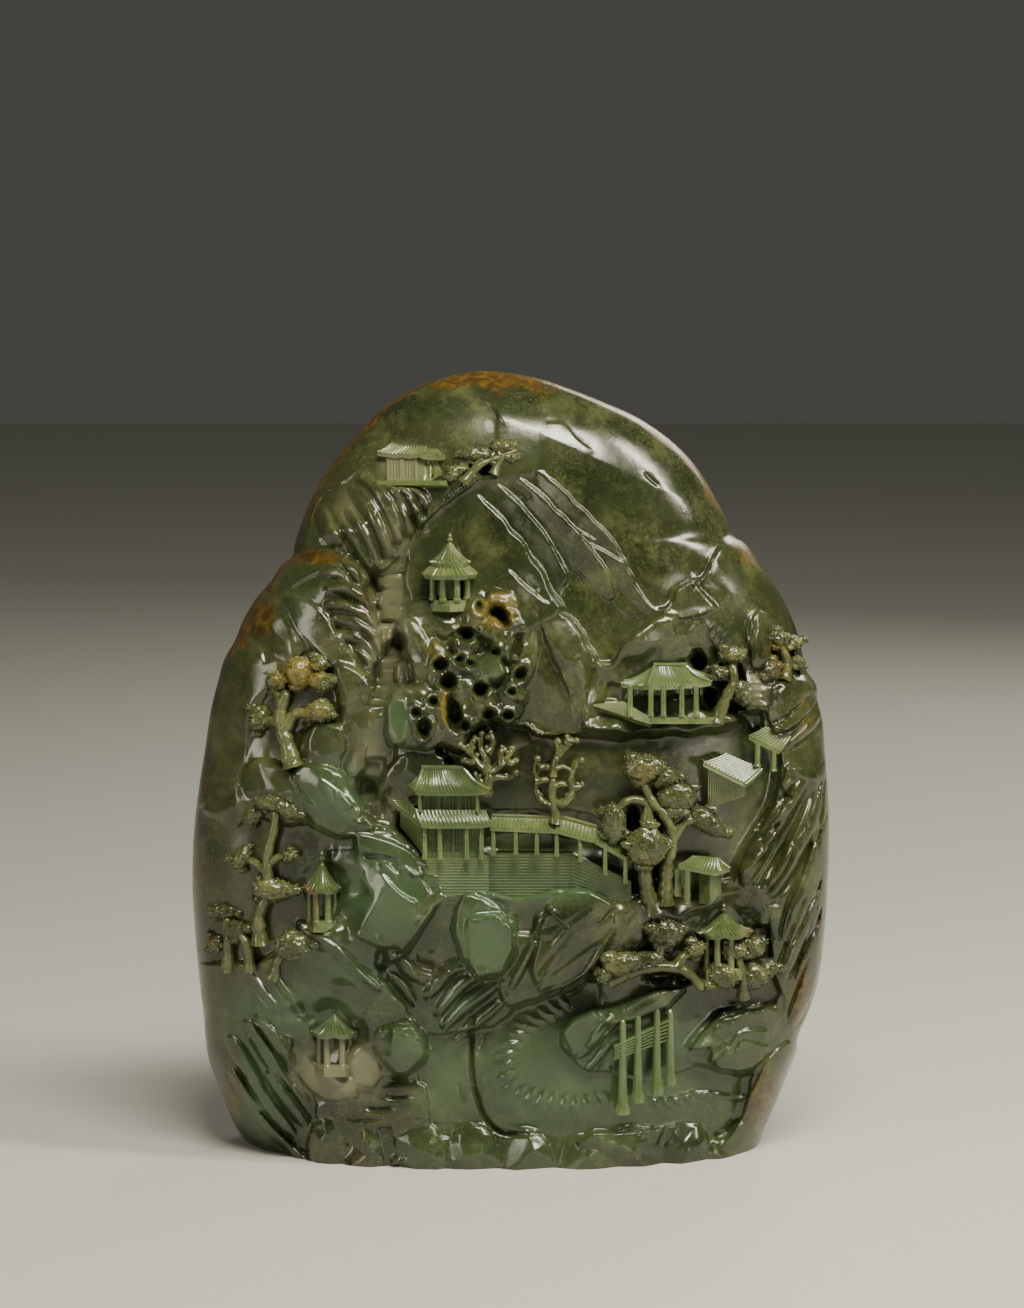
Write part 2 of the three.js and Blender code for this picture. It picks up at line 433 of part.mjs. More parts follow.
// The rocks, cliffs and mountains that stand out of the grounds
const ROCKS = {
  crownSlab: {
    slope: [[8, 235, 0], [8, 219, 1.2]], root: 4, swell: 0,
    outline: [[-10, 232.5], [-5.5, 229], [-1.2, 222.8], [8, 225.5], [16, 224], [25.5, 215.3], [30, 223],
      [22, 231], [8, 236]],
  },
  northRidge: {
    slope: [[30, 192, 1.3], [22, 182, 4.5]], swell: 0,
    outline: [[9.3, 210], [15, 205], [20, 200.3], [25, 195], [30, 190], [34.5, 182], [39, 173],
      [43, 168.5], [48, 168], [42, 163], [32, 168], [27, 178], [19, 190], [9, 201], [0, 207]],
  },
  middleRidge: {
    slope: [[22, 190, 2.4], [12, 180, 5.5]], swell: 0,
    outline: [[0, 209.7], [5.3, 206.3], [10, 202], [20, 192], [24, 187], [29, 180.3], [32, 172], [29, 170],
      [22, 178], [14, 186], [4, 196], [-4, 204]],
  },
  pagodaRidgeBehind: {
    slope: [[-4, 206, 2.8], [4, 184, 5.5]], swell: 0,
    outline: [[-22, 200], [-14, 205.5], [-8, 207.5], [-5, 207], [3.3, 199.8], [12, 189], [18, 177],
      [12, 172], [0, 186], [-14, 196]],
  },
  pagodaMountain: {
    slope: [[2, 194, 2], [-18, 168, 8]], swell: 2.4, crest: [-8, 184],
    outline: [[-29, 189], [-25, 193.5], [-23, 197], [-17, 201.5], [-12, 203], [-9.3, 202.7], [-3.3, 196.7],
      [4, 188], [10.5, 177.5], [15.5, 167], [2, 160], [-28, 160], [-30, 172], [-32, 176], [-31, 186]],
  },
  centralMountain: {
    slope: [[20, 166, 2.4], [2, 136, 5.5]], swell: 2.6, crest: [14, 150],
    outline: [[-5.5, 180], [0, 180.5], [4.5, 175.5], [12, 168], [18.5, 164.8], [22, 158.5], [26, 151.5],
      [28, 147.8], [27, 140], [22, 131.8], [17, 131], [8, 131], [6, 133.5], [-6, 135], [-10, 150],
      [-8, 165]],
  },
  centralFold: {
    slope: [[20, 162, 0.6], [10, 140, 2.4]], root: 5,
    outline: [[18.5, 164.8], [22, 158.5], [25, 150], [21, 136], [17, 145], [11, 158], [8, 170.5]],
  },
  stairShoulder: {
    slope: [[-14, 208, 1.5], [-30, 192, 6]], swell: 0,
    outline: [[-26, 207], [-14, 209], [-8, 207.5], [-14, 203.5], [-22, 198], [-27, 192], [-30, 194]],
  },
  northWestCliff: {
    slope: [[-52, 203, 0.8], [-36, 184, 7]],
    outline: [[-57, 202], [-52, 205.5], [-46.5, 209.5], [-43, 208.5], [-38.5, 206], [-29, 205], [-27, 195],
      [-30, 188], [-36, 181], [-42, 179], [-50, 187], [-60, 186], [-63, 188]],
  },
  westPeak: {
    slope: [[-62, 180, 0.8], [-44, 160, 5]], swell: 2.4, crest: [-52, 172],
    outline: [[-73, 174], [-70, 180], [-66, 183.5], [-60, 185.5], [-55, 187], [-50, 184], [-46, 180],
      [-44, 173], [-40.5, 165], [-38.5, 157], [-42, 150], [-50, 152], [-60, 160], [-68, 170]],
  },
  westPeakBand: {
    slope: [[-62, 180, 0], [-50, 172, 2]], root: 5,
    outline: [[-67, 175], [-57, 182], [-48, 178], [-47, 170], [-56, 166]],
  },
  russetShoulder: {
    slope: [[-74, 168, 0.4], [-62, 156, 3]],
    outline: [[-78, 162], [-75.5, 168.5], [-72, 171], [-68.5, 170.5], [-65.5, 165], [-60, 157.5],
      [-66, 150], [-74, 155]],
  },
  westSlab: {
    slope: [[-84, 150, 0.2], [-74, 130, 2.6]],
    outline: [[-85, 156], [-80, 159], [-75, 158.5], [-68, 151], [-73, 143], [-77, 130], [-80, 121],
      [-90, 119], [-93, 130]],
  },
  treeBoulder: {
    slope: [[-57, 133, 2.6], [-57, 122, 3.4]],
    outline: [[-64, 124], [-62, 131], [-57, 135], [-51, 133], [-49, 126], [-54, 120]],
  },
  gorgeBank: {
    slope: [[-50, 148, 2], [-44, 126, 7]],
    outline: [[-53, 154], [-43, 149], [-41.5, 144], [-44, 137], [-37, 138], [-36, 130], [-40, 124],
      [-50, 121], [-51, 136]],
  },
  westMound: {
    slope: [[-76, 122, 0.6], [-66, 108, 3]],
    outline: [[-82, 113], [-80, 118], [-76, 123.5], [-66, 120.5], [-58, 108], [-66, 103], [-76, 106]],
  },
  foldedMound: {
    slope: [[-58, 121, 0.6], [-50, 104, 2.6]],
    outline: [[-66, 118], [-63, 121.5], [-55, 121.5], [-51, 119], [-46, 110], [-40, 102], [-50, 100],
      [-60, 104]],
  },
  rimSlab: {
    slope: [[-84, 118, 0.2], [-80, 106, 2]],
    outline: [[-93, 108], [-90, 112], [-86, 117.5], [-83, 118], [-79, 113], [-75, 112], [-76, 106],
      [-84, 102]],
  },
  greatSlab: {
    slope: [[-44, 104, 1.2], [-28, 70, 2.8]], swell: 2.4, crest: [-32, 92],
    outline: [[-55, 105.5], [-45, 104.5], [-36, 102], [-29, 96.5], [-23, 89.5], [-20.2, 85], [-21, 80.5],
      [-25, 75.5], [-28, 70], [-32, 64], [-40, 62], [-46, 74], [-50, 90]],
  },
  greatSlabFront: {
    slope: [[-40, 91, -0.2], [-36, 66, 1]], root: 6, swell: 1, crest: [-36, 82],
    outline: [[-47, 91.5], [-40, 90.5], [-33.5, 85], [-28.5, 80], [-28, 75], [-34, 66.5], [-41, 69],
      [-45, 80]],
  },
  pavilionMound: {
    slope: [[-50, 76, 2.6], [-50, 62, 3.6]],
    outline: [[-64, 74], [-56, 74], [-49, 77], [-45, 74], [-43, 67], [-46, 60], [-56, 64]],
  },
  lowRidge: {
    slope: [[-60, 70, 0.8], [-34, 44, 2.6]], swell: 2, crest: [-50, 62],
    outline: [[-76, 62], [-68, 66], [-62, 72], [-52, 68], [-44, 60], [-37, 55], [-31, 47.5], [-26, 40],
      [-31, 41], [-38, 46], [-46, 52], [-58, 54], [-66, 52]],
  },
  westToe: {
    slope: [[-82, 50, 0.2], [-66, 20, 2]],
    outline: [[-90, 52], [-84, 59], [-75, 61], [-69, 58], [-62, 46], [-66, 38], [-66, 28], [-58, 14],
      [-62, 4], [-72, 2], [-86, 24]],
  },
  pondRock: {
    slope: [[-33, 43, 0.8], [-33, 29, 2]],
    outline: [[-40.5, 41], [-36, 42.5], [-30, 43], [-27, 41], [-26, 34], [-31, 29], [-35, 29], [-40, 36]],
  },
  pavilionLawn: {
    slope: [[-52, 40, 7], [-52, 22, 3]], swell: 0,
    outline: [[-66, 41], [-58, 42], [-41, 38], [-37.5, 28], [-41, 24.8], [-47, 26], [-45, 22], [-50, 21],
      [-56, 21], [-63, 27]],
  },
  stoneSteps: {
    slope: [[-40, 26, 6], [-40, 14, 3.4]], swell: 0,
    outline: [[-58, 20], [-44, 24], [-25, 27], [-24, 14], [-48, 12], [-58, 15]],
  },
  hangingRock: {
    slope: [[-8, 82, 0.4], [-5, 60, 1.4]], swell: 2.2, crest: [-8, 72],
    outline: [[-16, 78], [-14.5, 82], [-11, 83], [-7, 81], [-3, 79], [1, 75.5], [2, 66], [0, 62],
      [-3, 58.5], [-9, 57.8], [-14, 63.5], [-17, 72]],
  },
  eastRock: {
    slope: [[20, 83, 1.4], [6, 54, 5]], swell: 2.4, crest: [20, 74],
    outline: [[5, 66], [8, 75], [11, 79], [14, 82], [18, 84], [24, 83.8], [31, 79], [31, 72], [26, 62],
      [20, 57], [10, 53], [0, 49], [-4, 54]],
  },
  eastRockBehind: {
    slope: [[36, 80, 3.4], [28, 60, 7]],
    outline: [[31, 77], [37, 80], [42, 76], [40, 68], [32, 60], [24, 58], [28, 67], [31, 72]],
  },
  pondIsland: {
    slope: [[24, 40, 6], [56, 50, 8.5]], swell: 3, crest: [34, 42],
    outline: [[15.5, 38], [18.5, 44.5], [25, 47.5], [33, 49], [41, 53], [46, 55], [52, 54.2], [56, 52],
      [61, 50], [62, 40], [54, 30], [40, 27], [30, 30], [22.3, 30.5], [17.5, 35]],
  },
  pierCliff: {
    slope: [[68, 48, 1.8], [60, 36, 4]],
    outline: [[53.5, 33.5], [58, 38], [64, 45.5], [70, 47], [79, 49], [84, 42], [80, 32], [70, 29],
      [60, 31]],
  },
  pierCliffFront: {
    slope: [[72, 42, 0.8], [68, 30, 2.4]],
    outline: [[61, 32], [65, 36], [69, 41.5], [77.5, 42.7], [78, 39], [74, 31], [70, 29.5], [63, 30]],
  },
  eastToe: {
    slope: [[80, 36, 0.2], [72, 16, 1]],
    outline: [[86, 37], [83, 38.5], [77, 33.5], [72.5, 23], [69, 14], [62, 5], [72, 2], [80, 20]],
  },
  hallTerrace: {
    slope: [[36, 140, 5.5], [36, 133, 3]], root: 9, swell: 0,
    outline: [[24, 140.5], [34, 139.6], [62, 139], [68, 135], [62, 134.2], [55, 133.2], [42, 133],
      [30, 131.8], [22, 133]],
  },
  eastMound: {
    slope: [[38, 160, 1.6], [44, 148, 8]],
    outline: [[28, 149.5], [31, 152], [34.5, 158], [39, 162], [42, 164.3], [46.5, 167], [52, 165],
      [57, 166.5], [62.5, 169], [66, 163], [66, 154], [60, 148], [46, 146], [32, 145]],
  },
  eastSlab: {
    slope: [[50, 176, 0.8], [56, 166, 2]], root: 6, swell: 0,
    outline: [[48, 168], [49.5, 171.5], [50, 174], [53, 176], [55.5, 177], [58, 173], [62.5, 169],
      [57, 166.5], [47, 165]],
  },
  columnRock: {
    slope: [[75, 166, 0.6], [75, 152, 1.4]],
    outline: [[72, 151], [72.4, 164], [74, 168], [78, 167], [79, 158], [78, 150]],
  },
  brightLawn: {
    slope: [[74, 150, 3.6], [74, 139, 2]], swell: 0,
    outline: [[70.5, 151], [73, 149.5], [76, 146], [78.5, 145], [78, 138], [71, 138]],
  },
  eastKnob: {
    slope: [[86, 146, 0.2], [80, 132, 2.4]],
    outline: [[79, 146], [88, 148], [93, 144], [95, 132], [90, 126], [80, 130], [77, 137]],
  },
  eastLedge: {
    slope: [[88, 122, 0.2], [86, 112, 2]],
    outline: [[83, 121.5], [90, 120], [96, 123], [97, 114], [88, 110], [81, 114]],
  },
  eastHallMound: {
    slope: [[68, 86, 3.6], [70, 74, 5.5]],
    outline: [[56, 81], [60, 84], [66, 86], [70, 86.5], [76, 84.5], [80, 82], [79, 74], [68, 72], [58, 74]],
  },
  pagodaTerrace: {
    slope: [[-18, 171, 5], [-18, 163, 2.4]], root: 9, swell: 0,
    outline: [[-32.5, 165], [-28, 171], [-10, 171.4], [-8, 166], [-17, 163], [-28, 162]],
  },
  squareRock: {
    slope: [[-34, 140, 0.6], [-22, 134, 2]],
    outline: [[-37, 138], [-36, 141.5], [-33, 145], [-26, 144.5], [-22, 142], [-19, 138], [-18.5, 133],
      [-20, 128.5], [-24, 126], [-31, 126.5], [-36, 129]],
  },
  pillarRock: {
    slope: [[-30, 165, 2.4], [-30, 150, 3.4]],
    outline: [[-33, 165], [-28, 165], [-24, 158], [-22, 146], [-28, 147], [-31, 156]],
  },
  hallRock: {
    slope: [[-30, 124, 2.4], [-34, 112, 4]],
    outline: [[-38, 116], [-34, 122], [-25, 127], [-18, 122], [-18, 112], [-34, 108]],
  },
  hallPodium: {
    slope: [[-15, 94, 3], [-15, 82, 3.6]], swell: 0,
    outline: [[-25, 94.5], [-6.5, 94.5], [-6.5, 81], [-16, 83], [-24, 88]],
  },
  galleryWall: {
    slope: [[14, 95, 4.4], [14, 84, 5.2]], swell: 0,
    outline: [[-7, 95.5], [20, 95], [36, 88], [36, 79], [24, 84], [-7, 84]],
  },
};

// The pierced rock below the pagoda, with the holes worn through its face
const PIERCED_ROCK = {
  slope: [[-14, 170, 1.6], [-6, 134, 0.2]], root: 11,
  outline: [[-28, 163.5], [-17, 165], [-15, 170], [-11, 173], [-2, 173.5], [2, 171], [4, 163], [8, 157.5],
    [8.5, 152], [4.5, 149], [5, 142], [2, 136], [-5, 136], [-10, 131], [-15, 130], [-18, 133], [-20, 140],
    [-27, 148], [-26, 156]],
};
const HOLE_DEPTH = 8;
const HOLE_MOUTH = 4;
const HOLE_SIDES = 7;
const HOLES = [
  [-13.3, 160.5, 2.2, 2.2], [-3, 166.8, 2.3, 3], [-21, 151.5, 2, 2], [-18.5, 146.3, 2.4, 2.4],
  [-12, 152, 1.3, 1.2], [-8.8, 144, 2.2, 2.2], [-17, 136.5, 2.1, 3.6], [-0.5, 140.5, 1.3, 1.3],
  [-26, 133, 1.9, 2.7], [-23, 140.2, 1.3, 1.3],
];

// Fingers of rock: [width, [x, z], [x, z], ...], with the cut of the ground that they run down
const FINGER_SETS = [
  {
    slope: [[-52, 203, 0.9], [-36, 184, 6.5]],
    lines: [
      [3.6, [-46, 208], [-41, 203], [-38, 197.5]],
      [3.4, [-43, 204], [-38, 197], [-32, 189]],
      [3.2, [-49, 204], [-43, 196], [-35, 183.5]],
      [3, [-50, 199.5], [-46, 194], [-41, 182]],
      [2.8, [-37, 204], [-31.5, 197], [-29, 190]],
      [2.6, [-32, 202], [-29, 198], [-26.5, 194]],
      [3, [-56, 198], [-51, 191], [-48, 187]],
    ],
  },
  {
    slope: [[-60, 180, 0.6], [-42, 160, 4.6]],
    lines: [
      [4, [-64, 181], [-56, 176], [-46, 166]],
      [3.6, [-56, 186], [-49, 178], [-43, 166]],
      [3.6, [-60, 172], [-52, 163], [-44, 153.5]],
      [3.2, [-51, 184], [-45, 175], [-40.5, 164]],
    ],
  },
  {
    slope: [[92, 100, 0.3], [76, 92, 3]],
    lines: [
      [3.4, [90, 116], [84, 108], [78, 103]],
      [3.6, [92.5, 111], [86, 104], [78, 96]],
      [3.6, [92.5, 102], [86, 95], [75, 90]],
      [3.6, [92.5, 92.5], [88, 87], [80, 80]],
      [3.6, [92, 82], [87, 76], [80, 70]],
      [3.4, [90.5, 72], [86, 64], [81, 58]],
      [3, [89, 61], [86, 54], [83.5, 50]],
      [3, [90, 140], [86, 136], [79, 131]],
    ],
  },
  {
    slope: [[-86, 40, 0.2], [-64, 20, 2]],
    lines: [
      [2.6, [-86, 40], [-81, 34], [-76, 27]],
      [2.6, [-77, 43], [-72, 36], [-67, 29]],
      [2.6, [-78, 27], [-71, 20], [-66, 13]],
      [2.4, [-70, 27], [-66, 22], [-62, 18]],
    ],
  },
  {
    slope: [[-14, 58, 7], [-14, 42, 9]],
    lines: [
      [3.4, [-13, 61], [-19, 57], [-24, 54]],
      [3.4, [-10, 60], [-17, 54], [-22, 50]],
      [3.4, [-5, 57], [-13, 51], [-19, 46.5]],
      [3.2, [-1, 51], [-9, 48], [-17, 42]],
      [3, [-1, 48], [-7, 44], [-10, 41]],
    ],
  },
  {
    slope: [[28, 70, 3.6], [8, 54, 6]],
    lines: [
      [3, [31.5, 73], [25, 63], [12, 53]],
      [3, [10, 72], [4, 62], [-1, 54]],
    ],
  },
  {
    slope: [[40, 50, 3.6], [24, 36, 3]],
    lines: [
      [2.6, [45, 53.5], [37, 50], [30, 44]],
      [2.6, [31, 46], [26, 41], [23, 36]],
    ],
  },
];

// Boulders along the foot: [x, z, wide, high, turn], each a rounded stone half sunk in the ground
const FOOT_STONE_CUT = 3.2;
const FOOT_STONES = [
  [-55, 11, 6.5, 5, 12], [-45, 6, 6, 4.5, -8], [-42, 11.5, 5, 3, 4], [-26.5, 7, 8.5, 7, -10],
  [-11, 6.5, 8, 7, 12], [4, 5.8, 9, 6.8, 4], [19, 5.5, 8.5, 6.5, -8], [35, 6.2, 9.5, 6.5, 6],
  [51, 8, 9, 6, 8], [65, 8, 7, 6, -12],
];

// The gallery's posts: [x, foot, head]
const GALLERY_POSTS = [
  [-5, 94.5, 103], [1.7, 94.5, 103], [8, 94.5, 102.6], [14, 94.5, 102.4], [21, 92.5, 100],
  [28.5, 88, 97.5], [35, 86, 93],
];

// The halls and covered ways, as convex blocks between points [x, z, cut]
function roofBlock(ridge, eave, cut, depth) {
  const [[leftRidge, rightRidge], ridgeZ] = ridge;
  const [[leftEave, rightEave], leftZ, rightZ] = eave;
  return block([
    [leftRidge, ridgeZ, cut + depth * 0.5], [rightRidge, ridgeZ, cut + depth * 0.5],
    [leftEave, leftZ, cut], [rightEave, rightZ, cut],
    [leftEave, leftZ - EAVE_THICKNESS, cut + 0.5], [rightEave, rightZ - EAVE_THICKNESS, cut + 0.5],
    [leftEave, leftZ + depth * 0.2, cut + depth], [rightEave, rightZ + depth * 0.2, cut + depth],
    [leftEave, leftZ - EAVE_THICKNESS, cut + depth], [rightEave, rightZ - EAVE_THICKNESS, cut + depth],
  ]);
}

function wallBlock([left, right], [low, high], [near, far]) {
  const corners = [];
  for (const x of [left, right]) {
    for (const z of [low, high]) corners.push([x, z, near], [x, z, far]);
  }
  return block(corners);
}

function halls() {
  const pieces = [
    // The two-storey hall: lower walls and roof, then the storey above
    wallBlock([-25.5, -9], [92, 104], [4, 18]),
    roofBlock([[-29, -8], 109], [[-34, -5.5], 104.2, 104.2], 0.6, 12),
    wallBlock([-28, -9], [106, 114], [3.4, 17]),
    roofBlock([[-26, -14], 120.5], [[-31.5, -6], 113.6, 113.4], 0.8, 12),
    // The gallery and its falling wing
    roofBlock([[-5, 14.5], 106], [[-6, 15], 102.6, 101.6], 2, 11),
    roofBlock([[15.5, 25.5], 104.5], [[14.5, 27], 101.4, 98.2], 2, 11),
    roofBlock([[24, 34], 99.5], [[23, 36], 98, 92], 2.6, 10),
    // The open hall on the eastern terrace
    roofBlock([[43, 53], 151.3], [[32.5, 60.5], 145.6, 146.2], 0.8, 12),
    wallBlock([39, 57], [136, 146], [9, 16]),
    // The hut below the crown
    roofBlock([[-34.5, -25], 218.7], [[-39.8, -20], 214.8, 213.8], 1, 8),
    wallBlock([-37, -27.5], [206, 215], [2, 9]),
    wallBlock([-27.5, -20.5], [206, 214], [3, 9]),
    wallBlock([-40, -19], [204.6, 206.8], [0.6, 8]),
    // The two eastern huts and the pine hut
    roofBlock([[64, 77], 125], [[57, 70.5], 121.4, 115.6], 1.6, 10),
    wallBlock([59, 71], [107.5, 118], [4, 12]),
    roofBlock([[73, 82], 130], [[71, 81], 129, 125.6], 2.4, 8),
    wallBlock([73, 79], [121, 127], [5, 11]),
    roofBlock([[55, 62], 94], [[50.5, 65.5], 91.6, 89.6], 1.2, 10),
    wallBlock([51, 63], [80, 92], [7, 15]),
  ];
  for (const x of [-26, -21, -12.5, -8]) pieces.push(post(x, 93, 104.5, 1.6));
  for (const x of [-27.5, -9.5]) pieces.push(post(x, 107, 113.5, 2));
  for (const [x, low, high] of GALLERY_POSTS) pieces.push(post(x, low, high, 3));
  for (const x of [36, 42, 46, 51.5, 55.5]) pieces.push(post(x, 136, 145.6, 2));
  for (const x of [53, 62.5]) pieces.push(post(x, 80, 91, 2.4, COLUMN_WIDTH * 1.3));
  return pieces;
}

function pavilions() {
  return [
    ...pavilion({ x: -18, floor: 171.2, eave: 178.6, tip: 190.5, radius: 8.2, cut: 7, sides: 8, tiers: 2 }),
    ...pavilion({ x: -56.3, floor: 74.5, eave: 84.6, tip: 95.5, radius: 6.2, cut: 8, sides: 8 }),
    ...pavilion({ x: -52.5, floor: 31.5, eave: 41.8, tip: 49, radius: 7, cut: 8.4 }),
    ...pavilion({ x: 64, floor: 60.5, eave: 72.5, tip: 79.5, radius: 8, cut: 8.4, sides: 8 }),
  ];
}

// The landing stage in the pond: five posts joined by rails that rise to the right
function landingStage() {
  const posts = [[34, 19, 44], [38.5, 22, 46], [44, 24, 48.5], [48, 27, 47]];
  const pieces = posts.map(([x, low, high]) => post(x, low, high, 1.2, COLUMN_WIDTH * 1.2));
  pieces.push(post(34, 16.5, 20.5, 0.4, 4.5));
  for (const lift of [0, 8]) {
    pieces.push(block([[31.5, 34 + lift, 2], [31.5, 36 + lift, 2], [49, 38 + lift, 2], [49, 40 + lift, 2],
      [31.5, 34 + lift, 14], [49, 38 + lift, 14], [31.5, 36 + lift, 14], [49, 40 + lift, 14]]));
  }
  return pieces;
}

// Trees: trunks as [thick, thin, [x, z, cut], ...] and cushions as [x, z, cut, wide, high, turn]
const TREES = {
  crownPines: {
    trunks: [[2.2, 1, [-14, 206, 3], [-9, 211.5, 2], [-3, 214, 1.6]],
      [1.8, 1, [-5, 208.5, 3], [-2, 214, 2], [2, 216, 1.4]]],
    pads: [[-10, 214.8, 2, 5, 2.2, 0], [-1.5, 217, 1.6, 4.6, 2.4, 0], [0.5, 213.6, 2, 3.4, 1.6, 0],
      [-16.5, 209, 2, 4, 2, 40]],
  },
  westPine: {
    trunks: [[4, 2.2, [-65, 121, 3], [-67, 128, 2], [-69, 135, 1.6], [-67, 144, 1.6]],
      [2.8, 1.6, [-68, 132, 2], [-64, 137, 2], [-58, 136, 2]],
      [2.4, 1.4, [-68, 139, 2], [-70, 143, 2], [-72, 146, 2]],
      [2.2, 1.4, [-68.5, 134, 2], [-72, 135, 2], [-75, 135, 2]]],
    pads: [[-62, 149.5, 1.6, 4.8, 4.5, 0], [-57, 147.4, 2, 4, 2.6, 0], [-57, 152, 2.4, 2.4, 2, 0],
      [-70, 146.5, 1.4, 3.4, 3, 0], [-75, 135.5, 1.2, 3.5, 4.2, 0], [-57, 137.5, 2, 4.6, 3, 0]],
  },
  umbrellaPine: {
    trunks: [[3.2, 1.8, [-75, 68, 2], [-75.5, 75, 1.6], [-72.5, 85, 1.4], [-73, 93, 1.4], [-71, 102, 1.4],
      [-70, 108, 1.6]],
      [2, 1.4, [-73, 90, 2], [-78, 93, 2], [-80.5, 94, 2]],
      [2, 1.4, [-73, 91, 2], [-69, 94, 2], [-66, 94.5, 2]]],
    pads: [[-75, 108, 1.2, 5.5, 3, 32], [-67, 108.4, 1.4, 4.5, 2.8, -28], [-80.5, 94, 1.2, 4.5, 3.5, 45],
      [-66, 94.5, 2, 2.4, 2.2, 0], [-71, 83, 1.2, 6.5, 4.5, 0]],
  },
  westGrove: {
    trunks: [[2.6, 2, [-84.5, 60, 1.6], [-84.5, 70, 1], [-85, 76, 1]],
      [2.4, 1.8, [-78, 60, 1.6], [-79, 68, 1], [-82, 72, 1]],
      [2.4, 1.8, [-71, 58, 1.6], [-69, 64, 1.2], [-65, 67, 1.2]]],
    pads: [[-85.5, 77.5, 1, 5, 2.4, 0], [-88, 68, 0.8, 2.4, 3, 0], [-82, 72, 1, 3.4, 3, 0],
      [-65, 67, 1.2, 6, 4.5, 0]],
  },
  greatPine: {
    trunks: [[3.6, 2.4, [43, 78, 5], [41, 84, 4], [40.5, 90, 3], [41, 96, 2.6]],
      [3.2, 1.8, [46.5, 80, 5], [47, 90, 4], [48.5, 102, 3], [46, 107, 3], [43, 110, 3], [40, 116, 3]],
      [2.6, 1.6, [48, 99, 4], [54, 105, 3], [60, 103, 3]],
      [2.4, 1.6, [41, 104, 4], [41, 110, 4], [36, 111, 4], [32, 108, 4]]],
    pads: [[40, 120.5, 2, 6, 4.4, 0], [47, 118, 2.4, 4, 3, 0], [50, 112, 2, 6, 4.5, 0],
      [50, 107.6, 2, 4, 2.2, 0], [59, 104.6, 2, 7, 3.4, -38], [31, 104, 3, 3.5, 6.4, 0],
      [41, 97, 0.8, 6.2, 6.4, 0]],
  },
  eastGrove: {
    trunks: [[3, 1.8, [30, 57, 5], [40, 60.5, 2.4], [46, 61, 2.2], [52, 60, 2.4], [58, 54, 4]],
      [2.4, 1.6, [50, 61, 3], [52, 64, 3], [55, 66, 3]], [2.4, 1.6, [44, 61, 3], [45, 66, 3], [47, 71, 3]],
      [2.4, 1.8, [70, 52, 3], [70, 58, 2], [68, 64, 2]]],
    pads: [[47, 71, 2.4, 5.5, 4, 0], [55, 66, 2.4, 2.8, 2.5, 0], [34, 62, 1.4, 6.4, 3.5, 8],
      [42, 63, 2, 4, 2.6, 0], [28.5, 58.5, 2, 3, 2, 40], [67, 66, 2.4, 4, 3, 0], [73, 67, 2, 3.6, 3.5, 0],
      [64, 58, 1.6, 4.5, 4, 0], [73, 58, 1.4, 5, 4, 0], [77, 60.5, 2, 3.4, 3, 0]],
  },
  terraceTrees: {
    trunks: [[2.8, 1.8, [62, 134.5, 4], [65, 142, 2.4], [67, 146, 2], [66.5, 152, 2]],
      [2.6, 1.6, [82, 146, 3], [83, 152, 1.6], [81, 158, 1.4]]],
    pads: [[66.5, 154.5, 1.6, 4.2, 2.6, 0], [63, 149, 2, 2.4, 2.2, 0], [69.5, 143, 1.6, 2.6, 4.4, 30],
      [80, 159.5, 1, 3.6, 2.4, 0], [85, 158.3, 1, 2.8, 2.1, 0], [78, 150, 1.4, 2.8, 3, 0],
      [86, 152, 1, 2.8, 1.8, 0]],
  },
  hallTrees: {
    trunks: [[2.4, 1.4, [-7, 113, 5], [-6.5, 121, 3.4], [-8, 128.5, 3]],
      [1.8, 1.2, [-7, 121, 4], [-11, 126, 3.4], [-15, 128, 3.4]],
      [1.8, 1.2, [-6.5, 121, 4], [-2.5, 124, 3.4], [1, 129, 3.4]],
      [1.8, 1.2, [-6.5, 117, 4], [-2, 118.5, 3.6], [2, 119, 3.6]],
      [2.2, 1.4, [14, 105, 5], [13.5, 113, 3.6], [13.5, 119, 3.2]],
      [1.8, 1.2, [13.5, 117, 4], [10.5, 121, 3.4], [8, 125, 3.4]],
      [1.8, 1.2, [13.5, 117, 4], [17, 121, 3.4], [20, 126, 3.4]],
      [1.8, 1.2, [13.5, 113, 4], [17, 114.5, 3.6], [20.5, 115, 3.6]],
      [1.8, 1.2, [13.5, 112, 4], [10, 113, 3.6], [7, 113, 3.6]]],
    pads: [],
  },
};

function trees() {
  return Object.values(TREES).flatMap(({ trunks, pads }) => [
    ...trunks.map(([thick, thin, ...points]) => branch(points, thick, thin)),
    ...pads.map(([x, z, cut, wide, high, turn]) => pad([x, z, cut], wide, high, turn)),
  ]);
}

// The back: low overlapping slabs, plainer than the front. Outlines are in [x, z] straight from behind.
const BACK_SLABS = [
  { cut: 0, outline: [[-60, 60], [-88, 90], [-96, 130], [-70, 185], [-30, 150], [-38, 96]] },
  { cut: 0.5, outline: [[-34, 92], [-26, 152], [-50, 196], [-30, 238], [24, 240], [30, 190], [8, 130]] },
  { cut: 0.2, outline: [[12, 128], [36, 188], [34, 230], [70, 200], [98, 130], [70, 96], [34, 100]] },
  { cut: 0, outline: [[-20, 86], [30, 94], [66, 90], [98, 110], [100, 60], [84, 40], [40, 58], [-8, 46]] },
  { cut: 0.3, outline: [[-98, 82], [-62, 54], [-24, 78], [-14, 40], [-44, 8], [-90, 10]] },
  { cut: 0.1, outline: [[-38, 4], [-8, 38], [40, 50], [82, 34], [82, -6], [-40, -6]] },
];

function backSlab({ cut, outline: drawn }) {
  const outline = turned(drawn);
  const ring = (y) => outline.map(([x, z]) => new THREE.Vector3(x * ACROSS, y, z * UP));
  const cap = capOf(outline);
  const reach = stack([ring(DEPTH), ring(-2)], cap, cap);
  return boulder(() => DRAWN_RELIEF, () => cut).intersect(reach);
}

